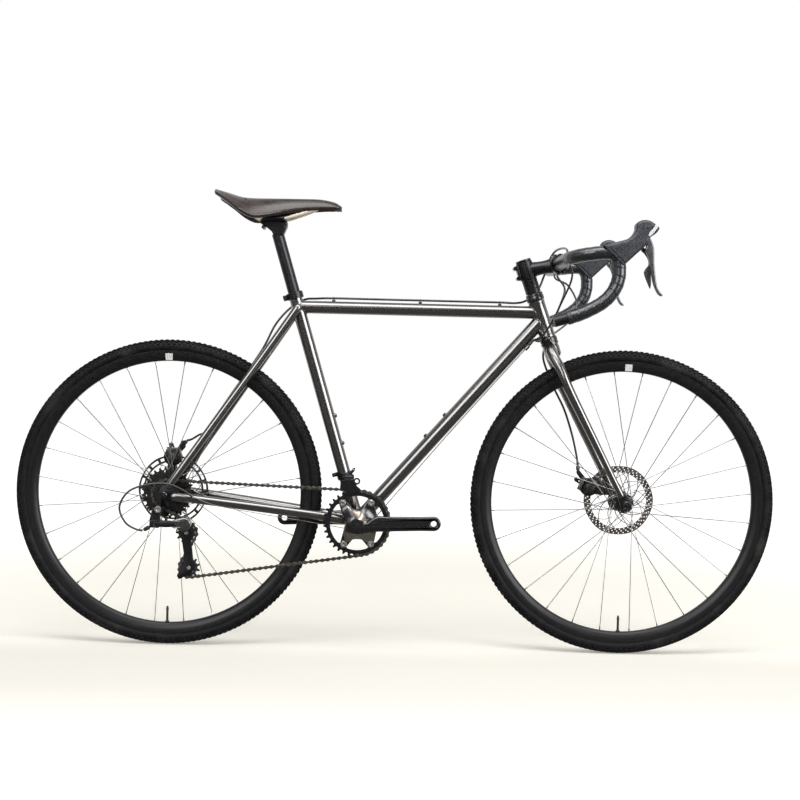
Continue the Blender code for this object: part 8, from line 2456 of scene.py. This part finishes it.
def make_world():
    """White backdrop; mirrored, it is white behind and above the bicycle and dark in front of it."""
    world = bpy.data.worlds.new("studio")
    bpy.context.scene.world = world
    world.use_nodes = True
    tree = world.node_tree
    background = tree.nodes["Background"].inputs
    feed(tree, background["Color"], (1, 1, 1, 1))
    direction = add_node(tree, "TexCoord").outputs["Generated"]
    apart = add_node(tree, "SeparateXYZ", Vector=direction).outputs
    behind = ramp_node(tree, apart["Y"], -0.3, 0.45, DARK_SIDE, 1.0)
    above = ramp_node(tree, apart["Z"], 0.6, 0.9, 0.0, 0.7)
    mirrored = math_node(tree, "MAXIMUM", behind, above)
    for towards, inner, outer, strength in PANELS:
        facing = add_node(tree, "VectorMath", Vector=direction)
        facing.operation = "DOT_PRODUCT"
        feed(tree, facing.inputs[1], Vector(towards).normalized())
        edge = (math.cos(math.radians(outer)), math.cos(math.radians(inner)))
        panel = ramp_node(tree, facing.outputs["Value"], *edge, 0.0, strength)
        mirrored = math_node(tree, "MAXIMUM", mirrored, panel)
    rays = add_node(tree, "LightPath").outputs
    clear = math_node(tree, "MAXIMUM", rays["Is Camera Ray"], rays["Is Transmission Ray"])
    shine = math_node(tree, "MULTIPLY", rays["Is Glossy Ray"], mirrored)
    plain = math_node(tree, "SUBTRACT", 1.0, rays["Is Glossy Ray"])
    plain = math_node(tree, "MULTIPLY", plain, WORLD_LIGHT)
    strength = math_node(tree, "ADD", plain, shine)
    feed(tree, background["Strength"], math_node(tree, "MAXIMUM", strength, clear))


def make_lamp(name, place, target, size, power):
    data = bpy.data.lights.new(name, "AREA")
    data.shape = "RECTANGLE"
    data.size, data.size_y = size
    data.energy = power
    lamp = bpy.data.objects.new(name, data)
    bpy.context.scene.collection.objects.link(lamp)
    lamp.location = place
    lamp.rotation_euler = (Vector(target) - Vector(place)).to_track_quat("-Z", "Y").to_euler()


make_floor()
make_world()
make_lamp("overhead", (0.0, -0.9, 2.5), (0, 0, 0.4), (3.4, 1.0), 44)
make_lamp("right_front", (2.2, -1.7, 1.5), (0, 0, 0.5), (1.1, 1.8), 22)
make_lamp("left_front", (-2.6, -1.6, 1.2), (0, 0, 0.5), (0.8, 1.6), 6)
